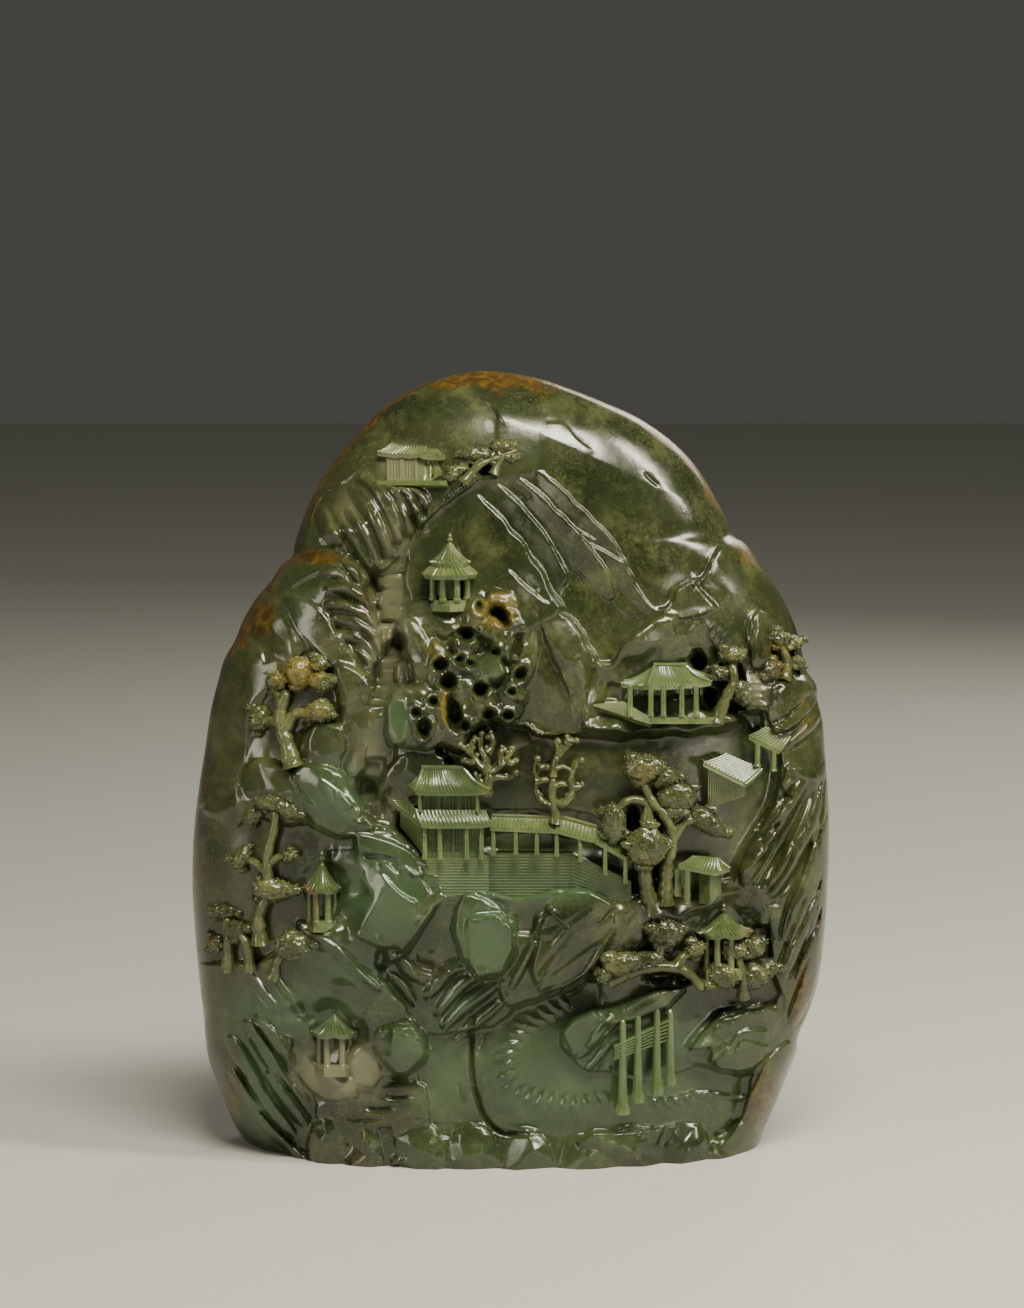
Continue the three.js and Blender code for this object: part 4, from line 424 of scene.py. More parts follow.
# The broad grounds of the landscape, from the crown down. Each slope runs between two [x, z, cut], the cut
# being how far the face lies below the pebble's skin.
GROUNDS = {
    "dome": dict(
        slope=[[0, 229, 0.2], [-16, 202, 3.6]],
        outline=[[-70, 184], [-62, 186], [-54, 188], [-44, 192], [-30, 196], [-16, 203], [-8, 206],
                 [0, 207.6], [8, 209], [10, 226], [12, 246], [-10, 246], [-44, 234], [-66, 204]],
    ),
    "sky": dict(
        slope=[[42, 206, 0.2], [30, 180, 5.6]],
        outline=[[-4, 206.6], [0, 207.6], [9, 208.4], [15, 203.4], [20, 198.6], [25, 193.4], [29.6, 188.6],
                 [34, 181], [38.4, 172], [42.4, 167.4], [46, 160], [58, 158], [70, 168], [84, 176],
                 [70, 200], [50, 226], [20, 240], [0, 246], [-4, 226]],
    ),
    "right_slope": dict(
        slope=[[72, 182, 0.5], [62, 158, 3.5]],
        outline=[[57.3, 176], [60, 181], [62, 185.5], [65, 189.5], [75, 190], [100, 160], [92, 140],
                 [76, 148], [60, 158], [58, 168]],
    ),
    "valley": dict(
        slope=[[6, 192, 6.2], [27, 153, 7.4]],
        outline=[[4, 197], [14, 187], [22, 179], [29, 171], [34, 167], [42, 163], [36, 150], [24, 145],
                 [10, 158], [-2, 176], [-8, 190]],
    ),
    "gorge": dict(
        slope=[[-30, 190, 11], [-36, 150, 15]],
        outline=[[-42, 182], [-30, 191], [-27, 180], [-26, 150], [-30, 118], [-40, 114], [-48, 118],
                 [-45, 150]],
    ),
    "wall": dict(
        slope=[[30, 134, 9], [24, 90, 10.6]],
        outline=[[-12, 134], [8, 131], [25, 137], [62, 137], [76, 138], [82, 128], [82, 112], [72, 88],
                 [62, 80], [30, 78], [-10, 78], [-26, 100]],
    ),
    "east_basin": dict(
        slope=[[52, 82, 8], [50, 52, 9]],
        outline=[[26, 55], [34, 82], [60, 84], [79, 82], [79, 60], [84, 48], [60, 40], [36, 44]],
    ),
    "pond": dict(
        slope=[[28, 54, 13], [28, 13, 5.6]],
        outline=[[-2, 50], [10, 56], [24, 60], [44, 62], [60, 52], [78, 40], [78, 18], [66, 8], [-3, 8],
                 [-8, 16], [-10, 38]],
    ),
    "stream": dict(
        slope=[[-20, 50, 12], [-20, 12, 5.6]],
        outline=[[-32, 52], [-16, 52], [-11.5, 38.5], [-11.5, 30], [-10, 22], [-7, 15], [-3, 8], [-34, 8],
                 [-34, 28]],
    ),
    "west_wall": dict(
        slope=[[-88, 90, 1.5], [-58, 88, 8]],
        outline=[[-100, 112], [-78, 112], [-60, 112], [-48, 108], [-44, 92], [-46, 76], [-58, 70],
                 [-78, 58], [-98, 56]],
    ),
    "west_shoulder": dict(
        slope=[[-88, 140, 0.5], [-58, 136, 5.4]],
        outline=[[-100, 108], [-76, 112], [-60, 116], [-44, 118], [-42, 140], [-48, 156], [-62, 160],
                 [-78, 172], [-96, 160]],
    ),
    "west_foot": dict(
        slope=[[-84, 40, 0.4], [-48, 36, 10]],
        outline=[[-100, 62], [-76, 62], [-60, 58], [-40, 56], [-32, 46], [-34, 20], [-34, 4], [-60, -8],
                 [-84, -4], [-96, 30]],
    ),
    "east_rim": dict(
        slope=[[94, 90, 0.4], [74, 92, 4.5]],
        outline=[[100, 150], [84, 150], [76, 146], [76, 132], [82, 124], [80, 110], [72, 97], [67, 85.5],
                 [78, 82], [78, 72], [79, 60], [83, 50], [77, 38], [72, 26], [72, 12], [64, -4], [84, -4],
                 [100, 40]],
    ),
    "cave": dict(
        slope=[[-16, 74, 7], [-22, 42, 8.4]],
        outline=[[-34, 80], [-6, 84], [12, 84], [6, 58], [-2, 44], [-24, 40], [-36, 52], [-44, 60],
                 [-42, 72]],
    ),
    "foreground": dict(
        slope=[[0, 14, 6.5], [0, 4, 3.5]],
        outline=[[-66, 12], [-40, 15], [-4, 13.5], [48, 14], [74, 14], [70, -14], [-70, -14]],
    ),
}

# The rocks, cliffs and mountains that stand out of the grounds
ROCKS = {
    "crown_slab": dict(
        slope=[[8, 235, 0.1], [8, 219, 0.5]], root=2, swell=0, edge=1.2, gouge=0.2, gouge_size=9,
        outline=[[-10, 232.5], [-5.5, 229], [-1.2, 222.8], [8, 225.5], [16, 224], [25.5, 215.3], [30, 223],
                 [22, 231], [8, 236]],
    ),
    "north_ridge": dict(
        slope=[[28, 193, 1.3], [20.5, 185, 6.5]], swell=0, gouge=0.15,
        outline=[[9.3, 210], [15, 205], [20, 200.3], [25, 195], [30, 190], [34.5, 182], [39, 173],
                 [43, 168.5], [48, 168], [42, 163], [32, 168], [27, 178], [19, 190], [9, 201], [0, 207]],
    ),
    "middle_ridge": dict(
        slope=[[20, 191.5, 2.2], [12.5, 183.5, 7.2]], swell=0, gouge=0.15,
        outline=[[0, 209.7], [5.3, 206.3], [10, 202], [20, 192], [24, 187], [29, 180.3], [32, 172],
                 [29, 170], [22, 178], [14, 186], [4, 196], [-4, 204]],
    ),
    "pagoda_ridge_behind": dict(
        slope=[[5, 197, 2.9], [-4, 188, 7]], swell=0, gouge=0.15,
        outline=[[-22, 200], [-14, 205.5], [-8, 207.5], [-5, 207], [3.3, 199.8], [12, 189], [18, 177],
                 [12, 172], [0, 186], [-14, 196]],
    ),
    "pagoda_mountain": dict(
        slope=[[8, 184, 1.8], [-24, 180, 8]], swell=0.5, gouge=0.2, gouge_size=12,
        sharp=(0.5, 1.2),
        outline=[[-29, 189], [-25, 193.5], [-23, 197], [-17, 201.5], [-12, 203], [-9.3, 202.7],
                 [-3.3, 196.7], [4, 188], [10.5, 177.5], [15.5, 167], [2, 160], [-28, 160], [-30, 172],
                 [-32, 176], [-31, 186]],
    ),
    "central_mountain": dict(
        slope=[[24, 154, 1.6], [-6, 154, 5]], swell=0.6, gouge=0.3, gouge_size=12,
        sharp=(0.5, 1.2),
        outline=[[-5.5, 180], [0, 180.5], [4.5, 175.5], [12, 168], [18.5, 164.8], [22, 158.5], [26, 151.5],
                 [28, 147.8], [27, 140], [22, 131.8], [17, 131], [8, 131], [6, 133.5], [-6, 135],
                 [-10, 150], [-8, 165]],
    ),
    "central_fold": dict(
        slope=[[20, 162, 0.6], [10, 140, 2.4]], root=5,
        outline=[[18.5, 164.8], [22, 158.5], [25, 150], [21, 136], [17, 145], [11, 158], [8, 170.5]],
    ),
    "stair_shoulder": dict(
        slope=[[-14, 208, 1.5], [-30, 192, 6]], swell=0,
        outline=[[-26, 207], [-14, 209], [-8, 207.5], [-14, 203.5], [-22, 198], [-27, 192], [-30, 194]],
    ),
    "north_west_cliff": dict(
        slope=[[-52, 203, 0.8], [-36, 184, 7]],
        outline=[[-57, 202], [-52, 205.5], [-46.5, 209.5], [-43, 208.5], [-38.5, 206], [-29, 205],
                 [-27, 195], [-30, 188], [-36, 181], [-42, 179], [-50, 187], [-60, 186], [-63, 188]],
    ),
    "west_peak": dict(
        slope=[[-62, 180, 0.8], [-44, 160, 5]], swell=2.4,
        outline=[[-73, 174], [-70, 180], [-66, 183.5], [-60, 185.5], [-55, 187], [-50, 184], [-46, 180],
                 [-44, 173], [-40.5, 165], [-38.5, 157], [-42, 150], [-50, 152], [-60, 160], [-68, 170]],
    ),
    "russet_shoulder": dict(
        slope=[[-74, 168, 0.4], [-62, 156, 3]],
        outline=[[-78, 162], [-75.5, 168.5], [-72, 171], [-68.5, 170.5], [-65.5, 165], [-60, 157.5],
                 [-66, 150], [-74, 155]],
    ),
    "west_slab": dict(
        slope=[[-84, 150, 0.2], [-74, 130, 2.6]],
        outline=[[-85, 156], [-80, 159], [-75, 158.5], [-68, 151], [-73, 143], [-77, 130], [-80, 121],
                 [-90, 119], [-93, 130]],
    ),
    "tree_boulder": dict(
        slope=[[-57, 133, 2.6], [-57, 122, 3.4]],
        outline=[[-64, 124], [-62, 131], [-57, 135], [-51, 133], [-49, 126], [-54, 120]],
    ),
    "gorge_bank": dict(
        slope=[[-50, 148, 2], [-44, 126, 7]],
        outline=[[-53, 154], [-43, 149], [-41.5, 144], [-44, 137], [-37, 138], [-36, 130], [-40, 124],
                 [-50, 121], [-51, 136]],
    ),
    "west_mound": dict(
        slope=[[-76, 122, 0.6], [-66, 108, 3]],
        outline=[[-82, 113], [-80, 118], [-76, 123.5], [-66, 120.5], [-58, 108], [-66, 103], [-76, 106]],
    ),
    "folded_mound": dict(
        slope=[[-58, 121, 0.6], [-50, 104, 2.6]],
        outline=[[-66, 118], [-63, 121.5], [-55, 121.5], [-51, 119], [-46, 110], [-40, 102], [-50, 100],
                 [-60, 104]],
    ),
    "rim_slab": dict(
        slope=[[-84, 118, 0.2], [-80, 106, 2]],
        outline=[[-93, 108], [-90, 112], [-86, 117.5], [-83, 118], [-79, 113], [-75, 112], [-76, 106],
                 [-84, 102]],
    ),
    "great_slab": dict(
        slope=[[-58, 94, 8], [-42, 85, 2.4]], swell=0.6,
        outline=[[-55, 105.5], [-45, 104.5], [-36, 102], [-29, 96.5], [-23, 89.5], [-20.2, 85],
                 [-21, 80.5], [-25, 75.5], [-28, 70], [-32, 64], [-40, 62], [-46, 74], [-50, 90]],
    ),
    "pavilion_mound": dict(
        slope=[[-50, 76, 2.6], [-50, 62, 3.6]],
        outline=[[-64, 74], [-56, 74], [-49, 77], [-45, 74], [-43, 67], [-46, 60], [-56, 64]],
    ),
    "low_ridge": dict(
        slope=[[-58, 66, 2], [-40, 42, 5.2]], swell=1.2,
        outline=[[-84, 59], [-76, 62], [-68, 66], [-62, 72], [-52, 68], [-44, 60], [-37, 55], [-31, 47.5],
                 [-26, 40], [-31, 40], [-36, 38], [-42, 36], [-52, 38], [-62, 38], [-72, 42], [-82, 48]],
    ),
    "west_toe": dict(
        slope=[[-84, 44, 1.4], [-66, 20, 3.6]],
        outline=[[-90, 52], [-84, 59], [-75, 61], [-69, 58], [-62, 46], [-66, 38], [-66, 28], [-58, 14],
                 [-62, 4], [-72, 2], [-86, 24]],
    ),
    "pond_rock": dict(
        slope=[[-31, 43, 0.2], [-38, 31, 1.4]], sharp=(0.45, 1.0), chips=5, chip_lean=(0.15, 0.5),
        outline=[[-40.5, 41], [-36, 42.5], [-30, 43], [-27, 41], [-26, 34], [-31, 29], [-35, 29],
                 [-40, 36]],
    ),
    "pavilion_lawn": dict(
        slope=[[-52, 40, 7], [-52, 22, 3]], swell=0,
        outline=[[-66, 41], [-58, 42], [-41, 38], [-37.5, 28], [-41, 24.8], [-47, 26], [-45, 22],
                 [-50, 21], [-56, 21], [-63, 27]],
    ),
    "stone_steps": dict(
        slope=[[-40, 26, 6], [-40, 14, 3.4]], swell=0,
        outline=[[-58, 20], [-44, 24], [-25, 27], [-24, 14], [-48, 12], [-58, 15]],
    ),
    "hanging_rock": dict(
        slope=[[-8, 82, 2.6], [-5, 60, 2.4]], swell=1.2,
        outline=[[-16, 78], [-14.5, 82], [-11, 83], [-7, 81], [-3, 79], [1, 75.5], [2, 66], [0, 62],
                 [-3, 58.5], [-9, 57.8], [-14, 63.5], [-17, 72]],
    ),
    "east_rock": dict(
        slope=[[24, 66, 2.6], [2, 72, 4.8]], swell=1.2,
        outline=[[5, 66], [8, 75], [11, 79], [14, 82], [18, 84], [24, 83.8], [31, 79], [31, 72], [26, 62],
                 [20, 57], [10, 53], [0, 49], [-4, 54]],
    ),
    "east_rock_behind": dict(
        slope=[[36, 80, 3.4], [28, 60, 7]],
        outline=[[31, 77], [37, 80], [42, 76], [40, 68], [32, 60], [24, 58], [28, 67], [31, 72]],
    ),
    "pond_island": dict(
        slope=[[24, 40, 5.4], [56, 50, 8]], swell=1.4, gouge=0.5,
        outline=[[15.5, 38], [18.5, 44.5], [25, 47.5], [33, 49], [41, 53], [46, 55], [54, 56.5], [62, 57],
                 [68, 52], [66, 40], [54, 30], [40, 27], [30, 30], [22.3, 30.5], [17.5, 35]],
    ),
    "pier_cliff": dict(
        slope=[[68, 48, 1.8], [60, 36, 4]],
        outline=[[53.5, 33.5], [58, 38], [64, 45.5], [70, 47], [79, 49], [84, 42], [80, 32], [70, 29],
                 [60, 31]],
    ),
    "pier_cliff_front": dict(
        slope=[[72, 42, 0.8], [68, 30, 2.4]],
        outline=[[61, 32], [65, 36], [69, 41.5], [77.5, 42.7], [78, 39], [74, 31], [70, 29.5], [63, 30]],
    ),
    "east_toe": dict(
        slope=[[80, 36, 0.2], [72, 16, 1]],
        outline=[[86, 37], [83, 38.5], [77, 33.5], [72.5, 23], [69, 14], [62, 5], [72, 2], [80, 20]],
    ),
    "hall_terrace": dict(
        slope=[[36, 140, 5.5], [36, 133, 3]], root=9, swell=0, steep=1.7,
        outline=[[24, 140.5], [34, 139.6], [62, 139], [68, 135], [62, 134.2], [55, 133.2], [42, 133],
                 [30, 131.8], [22, 133]],
    ),
    "east_mound": dict(
        slope=[[38, 160, 1.6], [44, 148, 8]],
        outline=[[28, 149.5], [31, 152], [34.5, 158], [39, 162], [42, 164.3], [46.5, 167], [52, 165],
                 [57, 166.5], [62.5, 169], [66, 163], [66, 154], [60, 148], [46, 146], [32, 145]],
    ),
    "east_slab": dict(
        slope=[[50, 176, 0.8], [56, 166, 2]], root=6, swell=0,
        outline=[[48, 168], [49.5, 171.5], [50, 174], [53, 176], [55.5, 177], [58, 173], [62.5, 169],
                 [57, 166.5], [47, 165]],
    ),
    "column_rock": dict(
        slope=[[75, 166, 0.6], [75, 152, 1.4]],
        outline=[[72, 151], [72.4, 164], [74, 168], [78, 167], [79, 158], [78, 150]],
    ),
    "bright_lawn": dict(
        slope=[[74, 150, 3.6], [74, 139, 2]], swell=0,
        outline=[[70.5, 151], [73, 149.5], [76, 146], [78.5, 145], [78, 138], [71, 138]],
    ),
    "east_knob": dict(
        slope=[[86, 146, 0.2], [80, 132, 2.4]],
        outline=[[79, 146], [88, 148], [93, 144], [95, 132], [90, 126], [80, 130], [77, 137]],
    ),
    "east_ledge": dict(
        slope=[[88, 122, 0.2], [86, 112, 2]],
        outline=[[83, 121.5], [90, 120], [96, 123], [97, 114], [88, 110], [81, 114]],
    ),
    "east_hall_mound": dict(
        slope=[[68, 86, 3.6], [70, 74, 5.5]],
        outline=[[56, 81], [60, 84], [66, 86], [70, 86.5], [76, 84.5], [80, 82], [79, 74], [68, 72],
                 [58, 74]],
    ),
    "pagoda_terrace": dict(
        slope=[[-18, 171, 5], [-18, 163, 3.4]], root=9, swell=0.4, gouge=0.5, gouge_size=5,
        outline=[[-32.5, 165], [-28, 171], [-10, 171.4], [-8, 166], [-17, 163], [-28, 162]],
    ),
    "square_rock": dict(
        slope=[[-34, 140, 2.4], [-22, 134, 3.6]], gouge=0.3, gouge_size=6,
        outline=[[-37, 138], [-36, 141.5], [-33, 145], [-26, 144.5], [-22, 142], [-19, 138], [-18.5, 133],
                 [-20, 128.5], [-24, 126], [-31, 126.5], [-36, 129]],
    ),
    "pillar_rock": dict(
        slope=[[-30, 165, 2.4], [-30, 150, 3.4]],
        outline=[[-33, 165], [-28, 165], [-24, 158], [-22, 146], [-28, 147], [-31, 156]],
    ),
    "hall_rock": dict(
        slope=[[-30, 124, 5], [-34, 112, 8.5]], swell=1.4,
        outline=[[-40, 114], [-37, 120], [-32, 124.5], [-25, 127], [-18, 122], [-18, 112], [-34, 107]],
    ),
    "pierced_base": dict(
        slope=[[-14, 170, 5.2], [-6, 134, 4.6]], root=8, swell=0.4,
        outline=[[-27, 163], [-17, 164.5], [-13, 170], [-10, 172.5], [-2, 173], [1, 170], [3, 163], [6, 158],
                 [7, 152], [4, 149], [4, 142], [1, 136.5], [-5, 135.5], [-10, 132], [-15, 130], [-22, 128],
                 [-29, 128], [-30, 137], [-27, 148], [-26, 156]],
    ),
    "terrace_foot": dict(
        slope=[[4, 82, 4.0], [4, 71, 8.6]], root=8, swell=0.4, gouge=0.3,
        outline=[[-27, 79], [-22, 83], [-17, 82], [-10, 84], [-2, 82.4], [4, 81], [9, 83], [16, 84.6],
                 [24, 84.4], [31, 80.6], [36, 79], [36, 68], [20, 66], [-20, 64]],
    ),
    "pine_foot": dict(
        slope=[[44, 83, 3.4], [48, 68, 6]], swell=1.6,
        outline=[[33, 76], [37, 80.5], [41, 83], [47, 82.4], [52, 81], [58, 80], [62, 74], [58, 67], [46, 65],
                 [36, 68]],
    ),
    "hall_podium": dict(
        slope=[[-15, 94, 6.4], [-15, 82, 6.4]], swell=0,
        outline=[[-25, 94.5], [-6.5, 94.5], [-6.5, 81], [-16, 83], [-24, 88]],
    ),
    "gallery_wall": dict(
        slope=[[14, 95, 7.2], [14, 84, 7.2]], swell=0,
        outline=[[-7, 95.5], [20, 95], [36, 88], [36, 79], [24, 84], [-7, 84]],
    ),
}

# The pierced rock below the pagoda, as worn lumps: [x, z, wide, high, turn, cut], all spread a little
LUMP_SPREAD = 1.14
PIERCED_LUMPS = [
    [-26, 161, 4, 5, 20, 3.2], [-19.4, 163, 4.4, 3.6, 0, 2.4], [-10.4, 166.6, 4.6, 5.6, -20, 1.2],
    [-2.4, 171, 5, 3, -10, 1.2], [0.6, 165.4, 3, 5, 10, 1.4], [-5.4, 162.4, 4.6, 3.6, -20, 0.6],
    [-1.6, 157.6, 4, 5.4, 25, 0.6], [5.6, 154, 3.4, 7.6, -14, 1.6], [2.6, 148, 3, 3.4, 0, 1.4],
    [-22.6, 153.6, 5, 5.4, 10, 1.2], [-13.8, 157.4, 4.6, 3, -8, 1], [-14.4, 151, 5, 3.4, -20, 0.4],
    [-22, 147.4, 4, 4, 0, 1.4], [-14.6, 145, 4.4, 4, 20, 0.8], [-8, 149.6, 3, 4.4, 10, 0.3],
    [-7.6, 141, 4.6, 4.4, 0, 1], [0.4, 143, 4.4, 5.4, -10, 1], [-1.4, 137.6, 4.6, 3.4, 10, 2],
    [-12, 137.6, 3.6, 5, 12, 1.6], [-20.6, 138, 3.4, 7, 4, 1.6], [-26.4, 141.4, 5, 4, -10, 1.2],
    [-28.6, 130.4, 4, 4, 0, 2], [-16.6, 129.6, 4.6, 3.6, 0, 3],
]

# Holes in these bounds lie between the lumps: they are half as deep and have a prouder lip
PIERCED_LEFT, PIERCED_RIGHT, PIERCED_LOW, PIERCED_HIGH = -31, 6, 126, 172

# Rounded blocks down the gorge, in the same way
GORGE_BLOCKS = [
    [-34.6, 185, 4.6, 2.2, -6, 8.4], [-35.4, 181, 4.8, 2.3, 4, 8.9], [-35.6, 176.6, 5, 2.5, -3, 9.4],
    [-35.2, 171.8, 5, 2.6, 5, 9.9], [-34.6, 166.8, 4.8, 2.6, -4, 10.4], [-34.6, 162, 4.6, 2.4, 3, 11],
    [-36, 150.6, 5.2, 3, 4, 11.4], [-38, 144.6, 6, 3.4, 8, 11], [-40.4, 137.6, 6.4, 4, 6, 10.6],
    [-41.6, 129.6, 6.4, 4.6, 3, 10.2], [-41, 121.4, 6, 4.2, -4, 10], [-36, 115.6, 5, 3.6, 0, 10.8],
    [-31.4, 139.6, 2.6, 3.4, 0, 8], [-32, 149, 2.4, 3.6, 0, 8.6],
]

# Hollows in which the pavilions stand: [x, z, wide, high, cut]
NICHES = [
    [-56, 86, 6.5, 8, 8], [64.2, 73, 8, 8, 9], [46, 142, 13, 6, 9], [-30, 211, 7, 3.5, 4.2],
    [56, 86, 7, 5, 9], [-52.5, 42, 7, 8, 8.4], [4, 98.6, 15, 3.4, 14.4],
]

# Flat polished faces of the rocks: two [x, z, cut] that the face's tilt runs between, then its outline
FACES = [
    [[-6, 76, 0.8], [-6, 58, 0.2], [-12.6, 75.3], [-3.6, 76.6], [1, 73], [0.8, 67], [-2.5, 59.4],
     [-9.7, 58.2], [-12.4, 63]],
    [[-16.4, 70, 4.4], [-12.6, 70, 1], [-16.6, 71], [-15, 79], [-13, 75.4], [-12.6, 63.4], [-14.4, 63]],
    [[-41, 103, 5], [-44, 94, 1.2], [-47, 103.4], [-40.4, 101.5], [-36, 101], [-33, 93.4],
     [-38, 94.6], [-45.4, 95.4]],
    [[-29, 99, 6], [-34, 91, 1.2], [-37.4, 101], [-32.7, 100.4], [-28.3, 93.8], [-25.5, 88.4], [-29, 88],
     [-33.4, 92.8]],
    [[-55, 90, 7.4], [-40, 80, 0.5], [-54, 96], [-46, 96.4], [-41.5, 91.6], [-32.7, 82.8], [-28.3, 80.5],
     [-28.3, 76.2], [-32.7, 68.4], [-38, 66.6], [-46, 70], [-54, 80]],
    [[-20, 85, 5.4], [-31, 78, 0.8], [-39, 92], [-33, 92.8], [-27.5, 88.5], [-21.6, 87], [-20.3, 83.8],
     [-22.8, 78.3], [-28.3, 70.6], [-32.7, 65.5], [-34, 68], [-29.4, 76.2], [-29.4, 80.5]],
    [[-35, 142, 0.6], [-34, 128, 0.4], [-36.8, 139.4], [-35.2, 141.8], [-31.5, 141.2], [-31, 134], [-32, 128],
     [-35.5, 127.8], [-36.8, 131]],
    [[-8, 153, 0], [-3, 148, 0.4], [-9.7, 152], [-7, 154.5], [-3, 153.5], [-1.5, 149], [-4, 147.3],
     [-8.5, 148]],
    [[16, 84, 3.4], [20, 77, 0.6], [10.4, 78.4], [14, 82], [18, 84], [24, 83.8], [31, 79.4], [27, 74.6],
     [18, 71.6]],
    [[27, 74, 0.8], [22, 80, 2.4], [31, 79], [22.8, 71.5], [14.7, 64], [8, 56], [6.6, 60], [9, 71],
     [20, 76]],
    [[26, 64, 3.4], [19, 71, 1.8], [31.4, 77], [31, 71], [26, 63], [19, 57.6], [8, 53.4], [12, 60],
     [22, 69.6]],
    [[18, 40, 5.2], [24, 44, 3.6], [15.9, 41.2], [19, 44.6], [25, 47.4], [29, 45], [24, 38], [19, 34]],
    [[32, 50, 6], [36, 45, 3.6], [25, 47.5], [33, 49.6], [43.7, 53.4], [52, 54.4], [47, 49], [37, 45],
     [30, 43.6]],
    [[72, 44, 3], [70, 38, 0.8], [60, 33], [65, 38.4], [69, 41.8], [77.5, 42.9], [77.6, 38.4], [72, 35.6],
     [66, 33]],
    [[66, 30, 2.6], [72, 35, 0.6], [62, 31.6], [66, 34.4], [72, 37.2], [78, 37.6], [76, 33], [70, 30]],
    [[58, 46, 5.2], [62, 38, 2.6], [54, 36], [58, 41], [64, 47.6], [70, 48.4], [68, 42.6], [62, 37.4]],
    [[-58, 182, 2.6], [-58, 175, 0.2], [-69.6, 173.6], [-66, 177.4], [-58.4, 181.4], [-51, 180], [-47, 175],
     [-54, 175.4], [-61, 175.8]],
    [[-66, 170, 1.6], [-48, 146, 3], [-68, 171.3], [-61.4, 175.6], [-55.9, 170.2], [-51.5, 160.3],
     [-45.9, 151.4], [-41.5, 142.6], [-43.7, 139.3], [-50.4, 148.1], [-57, 154.7], [-63.6, 161.4]],
    [[-60, 113, 3], [-52, 113, 0.6], [-58, 113], [-64, 118], [-56, 121], [-52, 118], [-47, 109], [-52, 107]],
    [[-74, 64, 0.8], [-60, 50, 3.4], [-76, 61.6], [-68, 65.6], [-62, 71], [-53, 66.6], [-56, 56], [-66, 51]],
    [[-52, 62, 2.2], [-44, 66, 4.2], [-62, 72], [-52, 68.6], [-44, 61], [-37, 55.4], [-40, 53.4], [-48, 59],
     [-56, 65]],
    [[38, 11, 3], [36, 6, 0.6], [20, 8], [25, 11.2], [38, 11.4], [46, 12.6], [44, 8], [30, 6]],
    [[52, 169, 2], [52, 165.6, 0.6], [46, 166.8], [52, 165.4], [57, 166.6], [62, 168.6], [58, 171.6],
     [50, 171]],
    [[-82, 158, 0.6], [-78, 136, 2], [-84.4, 155.6], [-80, 158.6], [-75.6, 158], [-73.4, 146], [-77, 131],
     [-86, 122]],
]

# Holes worn or drilled through it and round it: [x, z, wide, high, depth, turn]
HOLES = [
    [-13.3, 160.5, 2.2, 2.2, 9, 0], [-9.4, 169, 1, 1.6, 5, 0], [-2.8, 166.6, 2, 3.6, 9, 35],
    [-21, 151.5, 2, 2, 8, 0], [-18.5, 146.3, 2.4, 2.4, 9, 0], [-15, 153, 1.6, 1, 6, 0],
    [-12, 152, 1.3, 1.2, 6, 0], [-8.8, 144, 2.2, 2.2, 9, 0], [-4, 155.5, 1, 1, 4, 0],
    [0.5, 143.5, 0.9, 0.9, 4, 0], [-17, 136.5, 2.2, 4.6, 10, 12], [-13.5, 133.5, 1.3, 1.3, 6, 0],
    [-6.3, 137, 1.4, 1.3, 6, 0], [-0.5, 136.4, 1.5, 1.3, 6, 0], [3.2, 148.6, 1.6, 2.4, 7, -40],
    [1.6, 156, 1.2, 3.4, 5, -12], [-26, 132.6, 2, 2.8, 9, 0], [-28, 137, 1.4, 1.5, 5, 0],
    [-23, 140.5, 1.3, 1.3, 6, 0], [-21, 125.6, 1, 1.2, 5, 0], [-18.6, 122.6, 1.1, 1.1, 6, 0],
    [-33.6, 158.6, 2.2, 3.4, 6, 5], [-7.5, 210.2, 2.4, 2, 6, 0], [-12, 210.8, 0.8, 0.8, 3, 0],
    [-6.5, 213.3, 0.7, 0.7, 2.5, 0], [-4.3, 213.6, 0.6, 0.6, 2.5, 0], [-13.7, 208.8, 0.7, 0.7, 2.5, 0],
    [56.5, 152.5, 2.6, 3.4, 8, 10], [59.5, 141, 2.6, 4.2, 8, 0], [79, 155.5, 1, 1.4, 4, 0],
    [84.5, 155, 1, 1.4, 4, 0], [81, 149, 0.8, 1.4, 3.5, 0], [86, 149, 0.9, 1.4, 3.5, 0],
    [37, 105, 2, 4.6, 5, 0], [43.8, 106.5, 2, 5.4, 5, 0], [41, 118, 1.3, 1.3, 4, 0],
    [44, 90, 1.6, 6.5, 5, 0], [45, 58.2, 5.4, 2.2, 5, 0], [52, 57.2, 2.6, 1.8, 4, 0],
    [-38.6, 63.5, 2.2, 3.4, 3, 0], [-25, 60, 6, 3.4, 1.6, -35], [65, 69, 1.4, 1.4, 4, 0],
]

